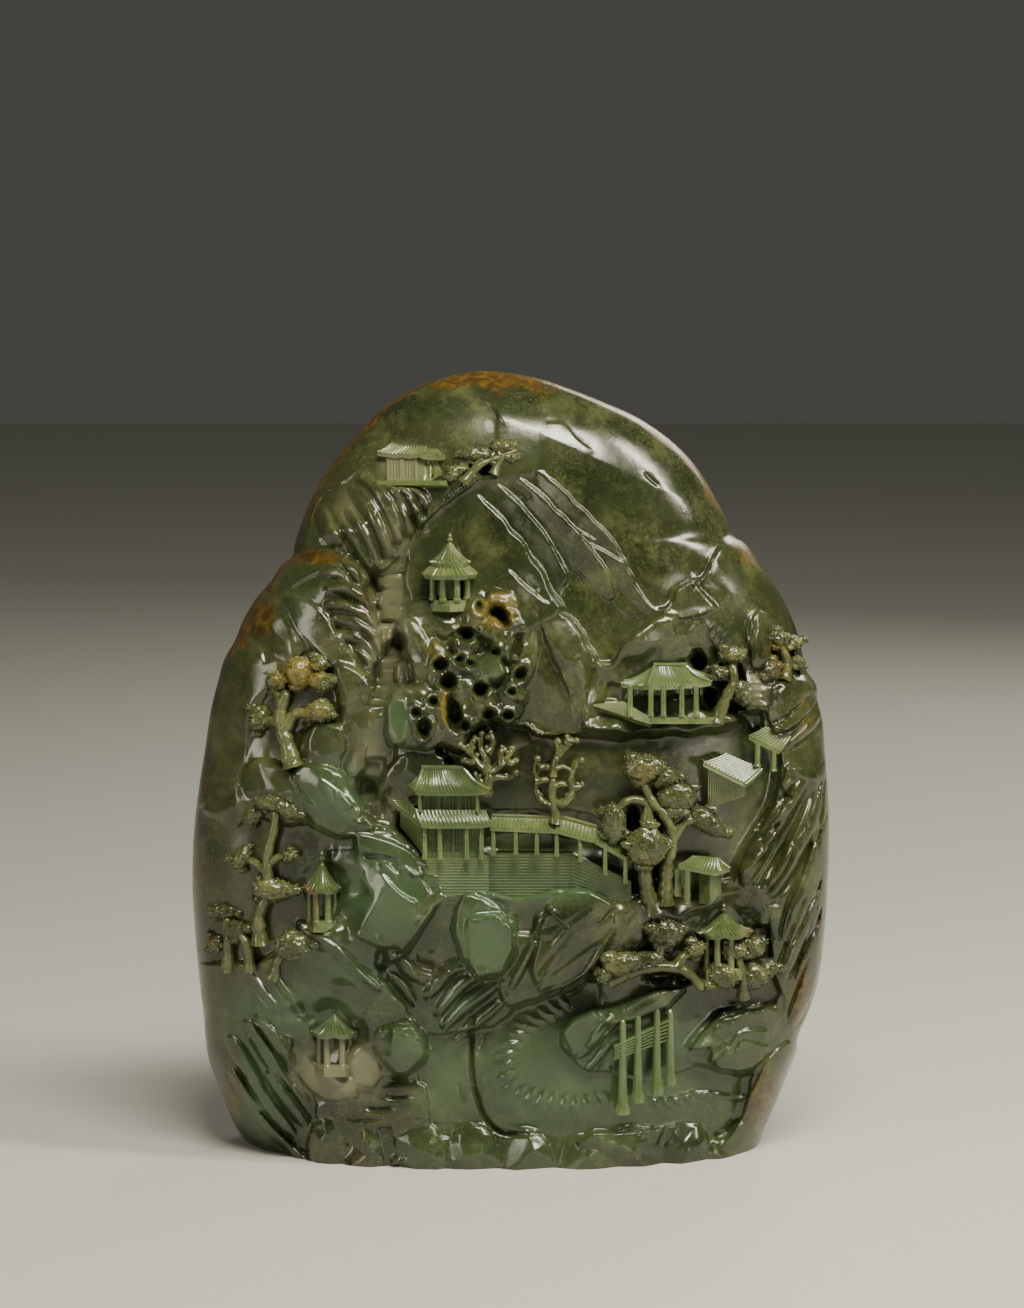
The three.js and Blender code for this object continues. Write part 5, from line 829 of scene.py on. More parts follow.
# Crisp steps in the stone: [high, low, reach], then the line; the stone is proud on the line's left
FOLDS = [
    [[0.3, 0.25, 3], [-10, 232.5], [-5.5, 229], [-3, 225.5], [-1.2, 222.8]],
    [[0.3, 0.25, 4], [25.5, 215.3], [20, 219.5], [16, 224], [10, 224.3]],
    [[0.35, 0.25, 3], [7.5, 234.5], [9.5, 229], [11.3, 227], [10, 225.5]],
    [[0.5, 0.5, 2.2], [1.4, 70], [-0.6, 75.4], [-4.4, 79], [-9, 80.6]],
    [[0.4, 0.4, 1.6], [-1.4, 72.6], [-3, 76.4], [-6.6, 78.6]],
    [[0.2, 0.2, 3], [12, 236], [17, 231.5], [22, 232.5], [26, 231]],
    [[0.5, 0.8, 3], [8.5, 172.5], [4.5, 175.5], [-1, 181]],
    [[0.4, 0.7, 3], [12, 169.5], [6, 174], [2, 178]],
    [[0.5, 0.8, 3], [26, 189], [20, 192.4]],
    [[0.6, 1, 3.5], [34.5, 182], [28, 186], [23, 188.4]],
    [[0.4, 0.4, 2], [3.5, 199.5], [0, 203.5]],
    [[0.9, 0.9, 5], [65, 189.7], [62, 185.5], [60.8, 183.5], [60, 181], [57.3, 176]],
    [[0.7, 0.8, 3], [57, 176], [55.5, 177], [53, 176], [50, 174], [49.5, 171.5], [48, 168]],
    [[0.7, 0.6, 4], [62.5, 169], [58, 173], [56, 175.6]],
    [[0.3, 0.4, 2], [18, 158.5], [21.5, 155]],
    [[0.3, 0.4, 2], [19, 150.5], [21, 145.5]],
    [[0.2, 0.4, 1.5], [10.7, 144.8], [13.7, 143.5]],
    [[0.6, 0.8, 3], [19.5, 136], [18, 145], [15.5, 150]],
    [[0.7, 0.9, 4], [-26, 92], [-31, 96.5], [-38, 99.5], [-46, 101], [-52, 101]],
    [[0.5, 0.8, 3], [-33, 88], [-38, 92.5], [-44, 94], [-46, 97]],
    [[0.5, 0.7, 2.5], [-23, 82], [-27, 88], [-33, 92]],
    [[0.4, 0.6, 3], [-29.5, 79.5], [-33.5, 85.5], [-40, 90]],
    [[0.5, 0.7, 3], [-3, 58.5], [1, 65], [0.5, 72], [-4, 76.5], [-12.5, 75.5], [-13.6, 66]],
    [[0.6, 0.8, 3], [31, 78.6], [22.8, 71.5], [14.7, 64], [5, 53]],
    [[0.5, 0.6, 2.5], [25, 79], [18, 73.5], [11, 66]],
    [[0.5, 0.6, 2.5], [29, 70], [21, 64.6], [11, 57]],
    [[0.6, 0.9, 3.5], [13, 79], [9.5, 74], [8, 69]],
    [[0.7, 0.9, 3], [77.5, 42.7], [69, 41.5], [65, 36], [61, 32]],
    [[0.5, 0.8, 3], [76, 38], [70, 38.5], [67, 34.5]],
    [[0.5, 0.8, 4], [-52, 159], [-55, 166], [-61, 171], [-67, 173.5]],
    [[0.6, 0.7, 3], [-66, 174.5], [-60, 178], [-54, 179.5], [-48, 176]],
    [[0.5, 0.8, 3], [-43, 141], [-41.5, 144], [-44, 148], [-52, 153]],
    [[0.5, 0.6, 3], [-73.5, 151.5], [-75.5, 157.5], [-79, 159]],
    [[0.4, 0.7, 4], [-58, 108], [-63, 114], [-66, 120], [-74, 121.5]],
    [[0.5, 0.7, 4], [-45, 107], [-52, 114], [-58, 118.5]],
    [[0.4, 0.5, 3], [-42, 66], [-48, 74], [-56, 77]],
    [[0.4, 0.6, 3], [-38, 54], [-46, 60], [-55, 67]],
    [[0.4, 0.4, 3], [-27, 38], [-31, 40.5], [-36, 39]],
    [[0.4, 0.6, 3], [86, 146.6], [82, 144.5], [79, 141]],
    [[0.5, 0.7, 3], [84, 121.2], [88, 117.5], [94, 117]],
]

# Fingers of rock: [width, height] or [width, height, dip of the gaps beside it], then the line
FINGERS = [
    [[5.4, 2.4], [-45.8, 207.6], [-40.6, 203], [-37, 197.8], [-33.6, 187.7]],
    [[5.2, 2.2], [-48, 205.4], [-44.6, 201.6], [-41, 195], [-35.8, 183.3]],
    [[4.2, 2], [-49.1, 198.8], [-46, 194.6], [-42.5, 187.7], [-39.7, 180.6]],
    [[3.4, 1.5], [-50.4, 194.4], [-48, 191], [-45.2, 185.5], [-42, 180]],
    [[4.6, 2.2], [-40.4, 206.8], [-36, 203], [-32.5, 196.6], [-29.8, 190]],
    [[3.8, 1.9], [-35.8, 204.9], [-31.4, 202], [-29.2, 198.8], [-26.4, 193.6]],
    [[3.2, 1.5], [-33.6, 204.9], [-29.6, 203.8], [-27, 202.1], [-24.8, 197.7]],
    [[4.6, 1.5], [-57, 199], [-55, 193], [-51, 187]],
    [[4.4, 1.8], [-55.4, 174.9], [-50, 174.9], [-45.4, 172], [-40.4, 165.9]],
    [[4.6, 2], [-55.6, 170], [-48.1, 168.2], [-43.6, 165], [-39.3, 160]],
    [[4.6, 2], [-53.9, 166.2], [-45.9, 162.5], [-42, 159.6], [-38.8, 154]],
    [[4.2, 1.9], [-52.6, 161], [-45.9, 158.6], [-40.6, 151.4]],
    [[3.8, 1.6], [-50.4, 157], [-44.6, 153.6], [-41, 146.4]],
    [[4.2, 1.6], [-50.6, 184], [-46, 179.6], [-43.4, 175], [-41.2, 168.6]],
    [[3.4, 1.3], [-59, 180.6], [-53, 179.6], [-47.6, 175.4]],
    [[3.8, 2.1, 1.5], [88, 116.6], [85.8, 112.6], [81, 104.6], [76.6, 97.6]],
    [[4.4, 1.9], [79.6, 102], [76, 96.6], [72.4, 90.4], [69.4, 85.4]],
    [[5.4, 2, 1.5], [92.6, 113], [89.4, 104], [83.8, 92.6], [78, 82]],
    [[5.4, 2.1, 1.5], [95, 106], [91.6, 91.4], [86.4, 78.6], [82.6, 68]],
    [[4.8, 1.9, 1.5], [95.4, 94], [91, 79.6], [86, 67.6], [81.4, 57.6]],
    [[4.6, 1.8, 1.5], [94.8, 80.4], [91.6, 68.6], [87, 55.6]],
    [[4, 1.6, 1.5], [92.6, 66], [90, 57], [86.6, 48.6], [84.4, 43.6]],
    [[3.4, 1.8, 1.5], [96, 118], [95.6, 106], [94, 92]],
    [[3.2, 1.7, 1.5], [96, 100], [95.2, 88], [93.4, 76]],
    [[3, 1.6, 1.5], [95.6, 84], [94.2, 72], [91.6, 60]],
    [[3.4, 1.4, 1.5], [84.4, 97.6], [80.6, 90.4], [75.6, 83.6]],
    [[3.6, 1.5, 1.5], [83.6, 111.4], [79.6, 106.4], [75, 100.4]],
    [[3, 1.2], [75.4, 96], [71.6, 91.4], [68.6, 88]],
    [[3.4, 1.5, 1.5], [95, 117], [93.4, 108.6], [90, 98]],
    [[3, 1.4, 1.5], [91.5, 142], [87, 137], [81, 132]],
    [[3, 1.4, 1.5], [89, 139], [84, 134.5], [78, 131.5]],
    [[2.8, 1.3, 1.5], [93, 137], [88, 131], [83, 127]],
    [[4, 2.2], [-84.6, 40], [-80, 32], [-74.6, 23]],
    [[3.6, 2.1], [-79.6, 45], [-73.6, 35], [-66, 24.6]],
    [[3.4, 1.9], [-76.6, 46], [-70.6, 39], [-65, 31]],
    [[4, 2], [-79, 27.6], [-72, 18.6], [-64.6, 10]],
    [[3.6, 1.9], [-73, 29.6], [-66.8, 20.6], [-61, 13]],
    [[3, 1.6], [-84, 30], [-80, 23.6], [-75.4, 17.6]],
    [[3, 1.5], [-76, 17], [-71, 11], [-66, 6.6]],
    [[2.8, 1.4], [-69, 9.6], [-64.6, 5], [-60, 2]],
    [[4.2, 1.6, 0.2], [-35, 65], [-30, 60], [-24, 57.4], [-18, 58.4]],
    [[4.6, 1.8, 0.2], [-11, 61], [-16.4, 61], [-21, 57], [-25.8, 51.6]],
    [[4.4, 1.8, 0.2], [-7, 59.6], [-12.6, 57.4], [-18, 52], [-22.4, 46.4]],
    [[4.6, 1.9, 0.2], [-2.6, 57.4], [-8, 53.4], [-14.6, 48.6], [-20.4, 42.4]],
    [[3.8, 1.6, 0.2], [-0.6, 52.4], [-6, 47.6], [-12.6, 42.4], [-17, 38.6]],
    [[3.2, 1.4], [-36.4, 59], [-32, 54.6], [-28.6, 49.4]],
    [[2.8, 1.6], [31.5, 72.5], [28, 67], [25, 63], [22, 58], [12, 53]],
    [[3, 1.5], [7.5, 69], [3.5, 61], [-0.5, 53.5]],
    [[2.6, 1.2], [45, 53.3], [39, 51], [34.5, 47.5]],
    [[3, 1.5], [30.5, 46.5], [27, 42], [23, 36.5]],
    [[2.6, 1.4], [32, 44.5], [26, 39], [20, 33.5]],
    [[2.6, 1.3], [30, 38], [26, 33.5], [22.5, 30]],
    [[2.6, 1.1], [-62, 72], [-53, 66.5], [-45, 59], [-38, 53]],
    [[2.2, 0.8], [-70, 58], [-66, 52.5], [-62, 47]],
    [[2.2, 0.8], [-78, 59], [-73, 52], [-69, 47]],
    [[2.4, 1], [87, 113.5], [82, 106.5], [79.5, 104]],
]

# Cut grooves: [width, depth], then the line
GROOVES = [
    [[2, 2.2], [-10.8, 50], [-11.5, 38.5], [-11.5, 30], [-10, 22], [-7, 15], [-3, 11.5], [2, 10.8], [12, 11]],
    [[1.4, 1], [-15.5, 26.5], [-14.8, 23], [-13, 20.5]],
    [[2.6, 1.6], [60, 10.5], [63, 10], [67, 13.5], [72, 16]],
    [[2, 1.4], [-36.5, 26.8], [-33, 26.3], [-29.5, 26.8]],
    [[2, 1.4], [-38.5, 22.4], [-34, 21.6], [-28.5, 22.2]],
    [[2, 1.4], [-44.5, 19], [-40, 18.2], [-34, 18.8]],
    [[1.6, 1], [-50, 15.6], [-44, 15], [-38, 15.4]],
    [[2, 1.2], [70.4, 165.5], [70.6, 158], [72, 152]],
    [[1.6, 0.8], [40, 209.5], [42.5, 207], [45, 205]],
    [[1.6, 1.2], [73.5, 21], [76.5, 21.6], [80.5, 21.2]],
    [[2.4, 1.4], [-41, 113], [-43, 108], [-46, 104.5]],
    [[2.4, 1.4], [-36, 115], [-38, 110], [-38, 105]],
    [[1.4, 0.7], [70.8, 149.5], [73, 149.8], [75, 149.4]],
    [[1.4, 0.7], [71.5, 145.2], [74, 145.4], [76.5, 144.8]],
    [[1.4, 0.7], [72, 142.8], [74, 143], [76, 142.6]],
    [[1.4, 0.7], [72.5, 140.8], [74.5, 141], [76.5, 140.6]],
    [[1.6, 0.8], [-8, 118], [-1, 124], [6, 128]],
]

# Fine tooled hatching: how many strokes, width, depth, then the lines where the strokes start and end
HATCHING = [
    [8, 1, 0.35, [[18, 132.5], [24, 133]], [[22, 140], [27, 137.5]]],
    [6, 1, 0.3, [[-4, 209], [2, 206]], [[2, 203.5], [7, 200.5]]],
    [7, 1.1, 0.4, [[-84, 34], [-76, 22]], [[-78, 26], [-70, 13]]],
    [6, 1.1, 0.4, [[-70, 38], [-62, 26]], [[-66, 31], [-59, 20]]],
    [7, 1, 0.3, [[14, 66], [22, 76]], [[6, 56], [14, 64]]],
    [6, 1, 0.3, [[33, 74], [38, 79]], [[26, 62], [31, 66]]],
    [9, 1.2, 0.5, [[93, 108], [93.5, 80]], [[84, 96], [85, 68]]],
    [8, 1.1, 0.4, [[82, 112], [74, 99]], [[78, 106], [69, 92]]],
    [7, 1, 0.3, [[66, 84], [76, 82]], [[72, 78], [80, 78]]],
    [9, 0.9, 0.3, [[58, 121], [70, 115]], [[60, 110], [70, 112]]],
    [6, 1, 0.35, [[-50, 120], [-44, 110]], [[-44, 112], [-40, 104]]],
    [5, 1, 0.3, [[-64, 60], [-52, 58]], [[-56, 50], [-46, 50]]],
    [8, 1.1, 0.4, [[30, 12], [66, 14]], [[26, 5], [60, 6]]],
    [6, 1, 0.3, [[60, 166], [70, 160]], [[56, 160], [64, 154]]],
    [7, 1, 0.35, [[82, 38], [70, 32]], [[78, 30], [66, 31]]],
]

# Boulders along the foot, as [left, right, top]
FOOT_STONES = [
    [-61, -49.5, 16.5], [-51, -39, 9.8], [-47.5, -38, 14], [-35, -18.5, 13.8], [-19, -3.5, 14],
    [-5, 13, 12.6], [12, 34, 10.5], [27, 48, 13], [44, 61, 13.8], [58, 72, 11],
]
FOOT_BEADS = [[-34, 2.7], [-31, 2.5], [-28, 2.3]]

# The ring of ripples in the pond, as two lines of drawn points, the gap between two ripples, how long, wide
# and high each one is, and the point that they spread from
RIPPLE_LINES = [
    [[17, 50.3], [8.6, 46], [1.5, 39], [-1.3, 29.7], [1, 24.5], [8, 22], [19.5, 19.6], [29, 20.8]],
    [[43, 20], [50, 20.4], [56, 22.4], [62, 22], [69, 21]],
]
RIPPLE_GAP, RIPPLE_REACH, RIPPLE_WIDTH, RIPPLE_HEIGHT = 3.3, 3.4, 2.4, 1.15
POND_HEART = np.array([29.0, 34.0])

# The stair up to the crown's pines, and the gap, half-width, thickness and depth of its steps
STAIR = [[-26.5, 195.5], [-22, 200], [-18, 202.7], [-14, 205.5], [-10.5, 207.5]]
STAIR_PITCH, STEP_REACH, STEP_WIDTH, STEP_DEPTH = 1.05, 1.1, 0.9, 0.8

# The back: low overlapping slabs, plainer than the front. Outlines are in [x, z] straight from behind.
BACK_SLABS = [
    [0, [[-60, 60], [-88, 90], [-96, 130], [-70, 185], [-30, 150], [-38, 96]]],
    [0.5, [[-34, 92], [-26, 152], [-50, 196], [-30, 238], [24, 240], [30, 190], [8, 130]]],
    [0.2, [[12, 128], [36, 188], [34, 230], [70, 200], [98, 130], [70, 96], [34, 100]]],
    [0, [[-20, 86], [30, 94], [66, 90], [98, 110], [100, 60], [84, 40], [40, 58], [-8, 46]]],
    [0.3, [[-98, 82], [-62, 54], [-24, 78], [-14, 40], [-44, 8], [-90, 10]]],
    [0.1, [[-38, 4], [-8, 38], [40, 50], [82, 34], [82, -12], [-40, -12]]],
]


def round_outline(x, z, wide, high, corners):
    """An uneven rounded outline about a point."""
    uneven = np.random.default_rng(1).uniform(0.88, 1.12, corners)
    angles = np.arange(corners) * 2 * math.pi / corners + 0.3
    return np.stack([x + np.cos(angles) * wide * uneven, z + np.sin(angles) * high * uneven], 1)


def foot_stone_outline(left, right, top, seed):
    wide = right - left
    jitter = np.random.default_rng(seed).uniform(-0.05, 0.05, 5)
    return [[left, -14], [left, top * 0.45], [left + wide * (0.14 + jitter[0]), top * (0.84 + jitter[1])],
            [left + wide * (0.42 + jitter[2]), top], [left + wide * (0.72 + jitter[3]), top * 0.96],
            [left + wide * 0.9, top * (0.7 + jitter[4])], [right, top * 0.3], [right, -14]]


def between(a, b, share):
    return np.array(a) + (np.array(b) - np.array(a)) * share


def carve_ripples(board):
    for points in RIPPLE_LINES:
        line = spaced(curve_through(points, 1), RIPPLE_GAP)
        for number, spot_drawn in enumerate(line):
            out = (spot_drawn - POND_HEART) * (1, 1.5)
            out /= np.linalg.norm(out)
            slant = np.array([out[0] - 0.3 * out[1], out[1] + 0.3 * out[0]])
            bow = 0.5 * np.array([-out[1], out[0]])
            start = spot_drawn - slant * RIPPLE_REACH
            end = spot_drawn + slant * (RIPPLE_REACH + 0.6 + 0.6 * math.sin(number * 2.1))
            board.ridge([start, spot_drawn + bow, end], RIPPLE_WIDTH, RIPPLE_HEIGHT, 0.5, 1.0)


def carve_stair(board):
    line = spaced(curve_through(STAIR, 0.5), STAIR_PITCH)
    ways = np.gradient(line, axis=0)
    for step, way in zip(line, ways):
        side = np.array([-way[1], way[0]]) / np.linalg.norm(way)
        board.ridge([step - side * STEP_REACH, step + side * STEP_REACH], STEP_WIDTH, -STEP_DEPTH, 0.2)


def carve_front(board):
    for number, form in enumerate(GROUNDS.values()):
        board.rock(**form, swell=0.01, root=18, edge=0.6, wander=0.2, blend=0.6, seed=number, gouge=0.05,
                   gouge_size=11)
    for number, form in enumerate(ROCKS.values()):
        board.rock(**form, seed=number + 40)
    for number, (left, right, top) in enumerate(FOOT_STONES):
        board.rock(foot_stone_outline(left, right, top, number), [[left, top, 4.6], [left, 0, 1.9]], root=10,
                   swell=4, edge=0.25, seed=number + 140, sharp=(0.55, 1.1), chips=8, chip_lean=(0.15, 0.6),
                   corner=0.08, gouge=0.1, gouge_size=9)
    for upper, lower, *outline in FACES:
        board.rock(outline, [upper, lower], root=4, swell=0.3, edge=0.15, wander=0.1, sharp=(0.8, 1.2),
                   chips=0, corner=0.05, gouge=0, blend=0.08)
    board.close_gaps(2.2, 0.6)
    for number, block in enumerate(GORGE_BLOCKS):
        board.knuckle(*block, seed=number, square=5, bulk=0.55)
    for number, (x, z, wide, high, turn, cut) in enumerate(PIERCED_LUMPS):
        board.knuckle(x, z, wide * LUMP_SPREAD, high * LUMP_SPREAD, turn, cut,
                      seed=number + len(GORGE_BLOCKS), bulk=1.1)
    for niche in NICHES:
        board.niche(*niche)
    for x, z in FOOT_BEADS:
        board.rock(round_outline(x, z, 1.5, 1.4, 8), [[x, 5, 1], [x, 0, 1]], root=3, swell=1,
                   edge=0.8, chips=0, gouge=0)
    board.front += 0.07 * undulation(board.x, board.z, 19, 5) * ease(board.skin - board.front, 0, 3)
    for (width, height, *dip), *points in FINGERS:
        board.finger(points, width * 1.15, height * 1.3, *(dip or [0.6]))
    for (high, low, reach), *points in FOLDS:
        board.fold(points, high, low, reach)
    for (width, depth), *points in GROOVES:
        board.ridge(points, width, -depth, 0.2)
    for count, width, depth, (start_a, start_b), (end_a, end_b) in HATCHING:
        for share in np.linspace(0, 1, count):
            start, end = between(start_a, start_b, share), between(end_a, end_b, share)
            bow = between(start, end, 0.5) + 0.04 * (end - start)[::-1] * (1, -1)
            board.ridge([start, bow, end], width, -depth, 0.4)
    carve_ripples(board)
    carve_stair(board)
    for x, z, wide, high, depth, turn in HOLES:
        in_lumps = PIERCED_LEFT < x < PIERCED_RIGHT and PIERCED_LOW < z < PIERCED_HIGH
        board.hole(x, z, wide, high, 0.5 * depth if in_lumps else depth, turn, 1.1 if in_lumps else 0.3)
    board.smooth()
    board.front = np.clip(board.front, board.skin * (1 - DEEPEST_SHARE), board.skin + SKIN_RISE)


def carve_back(board):
    for number, (cut, outline) in enumerate(BACK_SLABS):
        board.rock(outline, [[0, 200, cut], [0, 0, cut]], root=6, swell=0.2, edge=3.5, seed=number + 200,
                   wander=3, wander_size=45, blend=1.2, steep=1, sharp=(0.01, 0.03), chips=0, gouge=0)
    board.front += 0.2 * undulation(board.x, board.z, 26, 9)
    board.smooth(4)
    board.front = np.clip(board.front, board.skin * (1 - DEEPEST_SHARE), board.skin)


# Meshes

def mesh_object(name, points, faces, material=None):
    """A mesh object from points in the stone's millimetres."""
    mesh = bpy.data.meshes.new(name)
    mesh.from_pydata(np.asarray(points, float) * MILLIMETRE, [], faces)
    mesh.validate()
    thing = bpy.data.objects.new(name, mesh)
    bpy.context.scene.collection.objects.link(thing)
    if material:
        mesh.materials.append(material)
    return thing


def evaluated_mesh(thing):
    """A new mesh of an object with its modifiers carried out."""
    graph = bpy.context.evaluated_depsgraph_get()
    return bpy.data.meshes.new_from_object(thing.evaluated_get(graph))


def made_mesh(thing):
    """Puts the mesh that an object's modifiers make in place of the object's own."""
    finished = evaluated_mesh(thing)
    thing.modifiers.clear()
    spare = thing.data
    thing.data = finished
    bpy.data.meshes.remove(spare)
    return thing


def smooth_shaded(thing, angle=40):
    thing.data.polygons.foreach_set("use_smooth", np.ones(len(thing.data.polygons), bool))
    thing.data.set_sharp_from_angle(angle=math.radians(angle))
    return thing


def even_stops(line, gap):
    """Positions along a profile's first number, at even gaps along the profile itself."""
    lengths = arc_lengths(line)
    stops = np.linspace(0, lengths[-1], round(lengths[-1] / gap) + 1)
    return np.interp(stops, lengths, line[:, 0])


def boulder_shares(gap):
    """Shares of the way out, -1 to 1, that lie `gap` apart round the pebble's widest section."""
    fine = np.sin(np.linspace(-math.pi / 2, math.pi / 2, 4001))
    shares = even_stops(np.stack([fine * WIDEST, bulge(fine) * DEEPEST], 1), gap) / WIDEST
    shares[0], shares[-1] = -1, 1
    return shares


def front_rows(heights):
    """The carved face, as rows of points from the left rim to the right one."""
    shares = boulder_shares(GRAIN)
    left, right = left_at(heights)[:, None], right_at(heights)[:, None]
    x = (left + right) / 2 + (right - left) / 2 * shares
    z = np.repeat(heights[:, None], len(shares), 1)
    face = Board(x, z, half_depth_at(heights)[:, None] * bulge(shares), RELIEF_DEPTH)
    carve_front(face)
    return place(face.x, face.z, face.front)


def back_rows(heights):
    """The plainer back, as rows of points between the right rim and the left one."""
    shares = boulder_shares(BACK_GRAIN)[1:-1][::-1]
    rows = heights[:, None]
    left, right = place(left_at(rows), rows, 0), place(right_at(rows), rows, 0)
    points = left + (right - left) * ((shares + 1) / 2)[None, :, None]
    skin = half_depth_at(rows) * bulge(shares)
    rear = Board(points[..., 0] / ACROSS, points[..., 2] / UP, skin, BACK_CARVING)
    carve_back(rear)
    points[..., 1] += rear.front * THROUGH
    return points


def shell_faces(rows, size):
    """Faces of a stack of rings that closes in a point above and in one flat face below."""
    rows_at = np.arange(rows - 1)[:, None] * size
    here, after = np.arange(size)[None], np.roll(np.arange(size), -1)[None]
    quads = np.stack([rows_at + here, rows_at + after, rows_at + size + after, rows_at + size + here], -1)
    last, top = (rows - 1) * size, rows * size
    crown = [[last + j, last + (j + 1) % size, top] for j in range(size)]
    return quads.reshape(-1, 4).tolist() + crown + [list(range(size))[::-1]]


def cut_flat(body):
    """Cuts the stone off at the ground and closes its underside."""
    shape = bmesh.new()
    shape.from_mesh(body.data)
    cut = bmesh.ops.bisect_plane(shape, geom=shape.verts[:] + shape.edges[:] + shape.faces[:],
                                 plane_co=(0, 0, 0), plane_no=(0, 0, 1), clear_inner=True)
    rim = [part for part in cut["geom_cut"] if isinstance(part, bmesh.types.BMEdge)]
    bmesh.ops.edgenet_fill(shape, edges=rim)
    bmesh.ops.triangulate(shape, faces=[face for face in shape.faces if len(face.verts) > 4])
    shape.to_mesh(body.data)
    shape.free()


def thin_out(body, kept):
    """Thins a mesh to the number of triangles kept."""
    thinning = body.modifiers.new("thinning", "DECIMATE")
    thinning.ratio = kept / sum(len(face.vertices) - 2 for face in body.data.polygons)
    made_mesh(body)


def boulder_body(material):
    """The whole stone: the carved face, the plainer back and the flat underside."""
    fine = np.linspace(FOOT, CROWN[1], 3001)
    heights = even_stops(np.stack([fine, half_depth_at(fine)], 1), GRAIN)[:-1]
    rings = np.concatenate([front_rows(heights), back_rows(heights)], 1)
    points = np.vstack([rings.reshape(-1, 3), place(*CROWN, 0.0)])

    # The cut and the thinning work in millimetres, so the mesh shrinks to metres after them
    body = mesh_object("boulder", points / MILLIMETRE, shell_faces(*rings.shape[:2]))
    cut_flat(body)
    thin_out(body, BOULDER_TRIANGLES)
    body.data.transform(Matrix.Scale(MILLIMETRE, 4))
    body.data.materials.append(material)
    return smooth_shaded(body)


# Joining many small forms into one mesh

class Pile:
    """Closed forms gathered into one mesh of one stone, in the stone's millimetres."""

    def __init__(self, material, roof_tree=None):
        self.material, self.roof_tree = material, roof_tree
        self.points, self.faces, self.count = [], [], 0

    def add(self, points, faces):
        points = np.asarray(points, float).reshape(-1, 3)
        self.points.append(points)
        self.faces += [[corner + self.count for corner in face] for face in faces]
        self.count += len(points)

    def add_made(self, thing):
        """Takes in what an object's modifiers make, and removes the object."""
        mesh = evaluated_mesh(thing)
        points = np.empty(len(mesh.vertices) * 3)
        mesh.vertices.foreach_get("co", points)
        self.add(points, [list(face.vertices) for face in mesh.polygons])
        spare = thing.data
        bpy.data.objects.remove(thing)
        bpy.data.meshes.remove(mesh)
        bpy.data.meshes.remove(spare)

    def finish(self, name, angle=35):
        thing = mesh_object(name, np.vstack(self.points), self.faces, self.material)
        return smooth_shaded(thing, angle)


def ring_faces(rows, size):
    """Faces of a closed body of rings, one above the other, with flat ends."""
    faces = []
    for low in range(0, (rows - 1) * size, size):
        faces += [[low + j, low + (j + 1) % size, low + size + (j + 1) % size, low + size + j]
                  for j in range(size)]
    return faces + [list(range(size))[::-1], [(rows - 1) * size + j for j in range(size)]]


def turned_form(pile, centre, turning, sides=16, spin=0.0):
    """A form turned on an upright axis from [radius, height] entries."""
    angles = np.arange(sides) * 2 * math.pi / sides + spin
    turning = np.array(turning, float)
    circle = np.stack([np.cos(angles), np.sin(angles)], 1)
    rings = np.zeros((len(turning), sides, 3))
    rings[..., :2] = turning[:, None, :1] * circle
    rings[..., 2] = turning[:, 1:]
    pile.add(rings + np.asarray(centre), ring_faces(len(turning), sides))


def panel(pile, corners, thick, relief_at=None, across=2, up=2):
    """A standing slab between four corners, from the lower left counter-clockwise, with a carved face."""
    u, v = np.meshgrid(np.linspace(0, 1, across), np.linspace(0, 1, up))
    a, b, c, d = (np.asarray(corner, float) for corner in corners)
    mix = lambda p, q, t: p + (q - p) * t[..., None]
    face = mix(mix(a, b, u), mix(d, c, u), v)
    way = np.cross(b - a, d - a)
    way /= np.linalg.norm(way)
    relief = np.zeros(u.shape) if relief_at is None else relief_at(u, v)
    ahead = face + way * relief[..., None]
    behind = face - way * thick
    points = np.concatenate([ahead.reshape(-1, 3), behind.reshape(-1, 3)])
    back = across * up
    quads = [[r * across + k, r * across + k + 1, (r + 1) * across + k + 1, (r + 1) * across + k]
             for r in range(up - 1) for k in range(across - 1)]
    faces = quads + [[back + corner for corner in quad[::-1]] for quad in quads]
    rim = ([k for k in range(across)] + [r * across + across - 1 for r in range(1, up)]
           + [(up - 1) * across + k for k in range(across - 2, -1, -1)]
           + [r * across for r in range(up - 2, 0, -1)])
    faces += [[rim[(i + 1) % len(rim)], rim[i], back + rim[i], back + rim[(i + 1) % len(rim)]]
              for i in range(len(rim))]
    pile.add(points, faces)


def tube(pile, line, radii, sides=8, knobbly=0.0, seed=1, flat=1.0):
    """A limb of changing thickness along a line of points, closed at both ends."""
    line = np.asarray(line, float)
    ways = np.gradient(line, axis=0)
    ways /= np.linalg.norm(ways, axis=1)[:, None]
    side = np.cross(ways, [0, -1, 0.02])
    side /= np.linalg.norm(side, axis=1)[:, None] + 1e-9
    over = np.cross(side, ways) * flat
    angles = np.arange(sides) * 2 * math.pi / sides
    uneven = 1 + knobbly * np.random.default_rng(seed).uniform(-1, 1, (len(line), sides))
    reach = np.asarray(radii)[:, None] * uneven
    rings = (line[:, None] + side[:, None] * (np.cos(angles) * reach)[..., None]
             + over[:, None] * (np.sin(angles) * reach)[..., None])
    pile.add(rings, ring_faces(len(line), sides))


# Geometry trees for what repeats

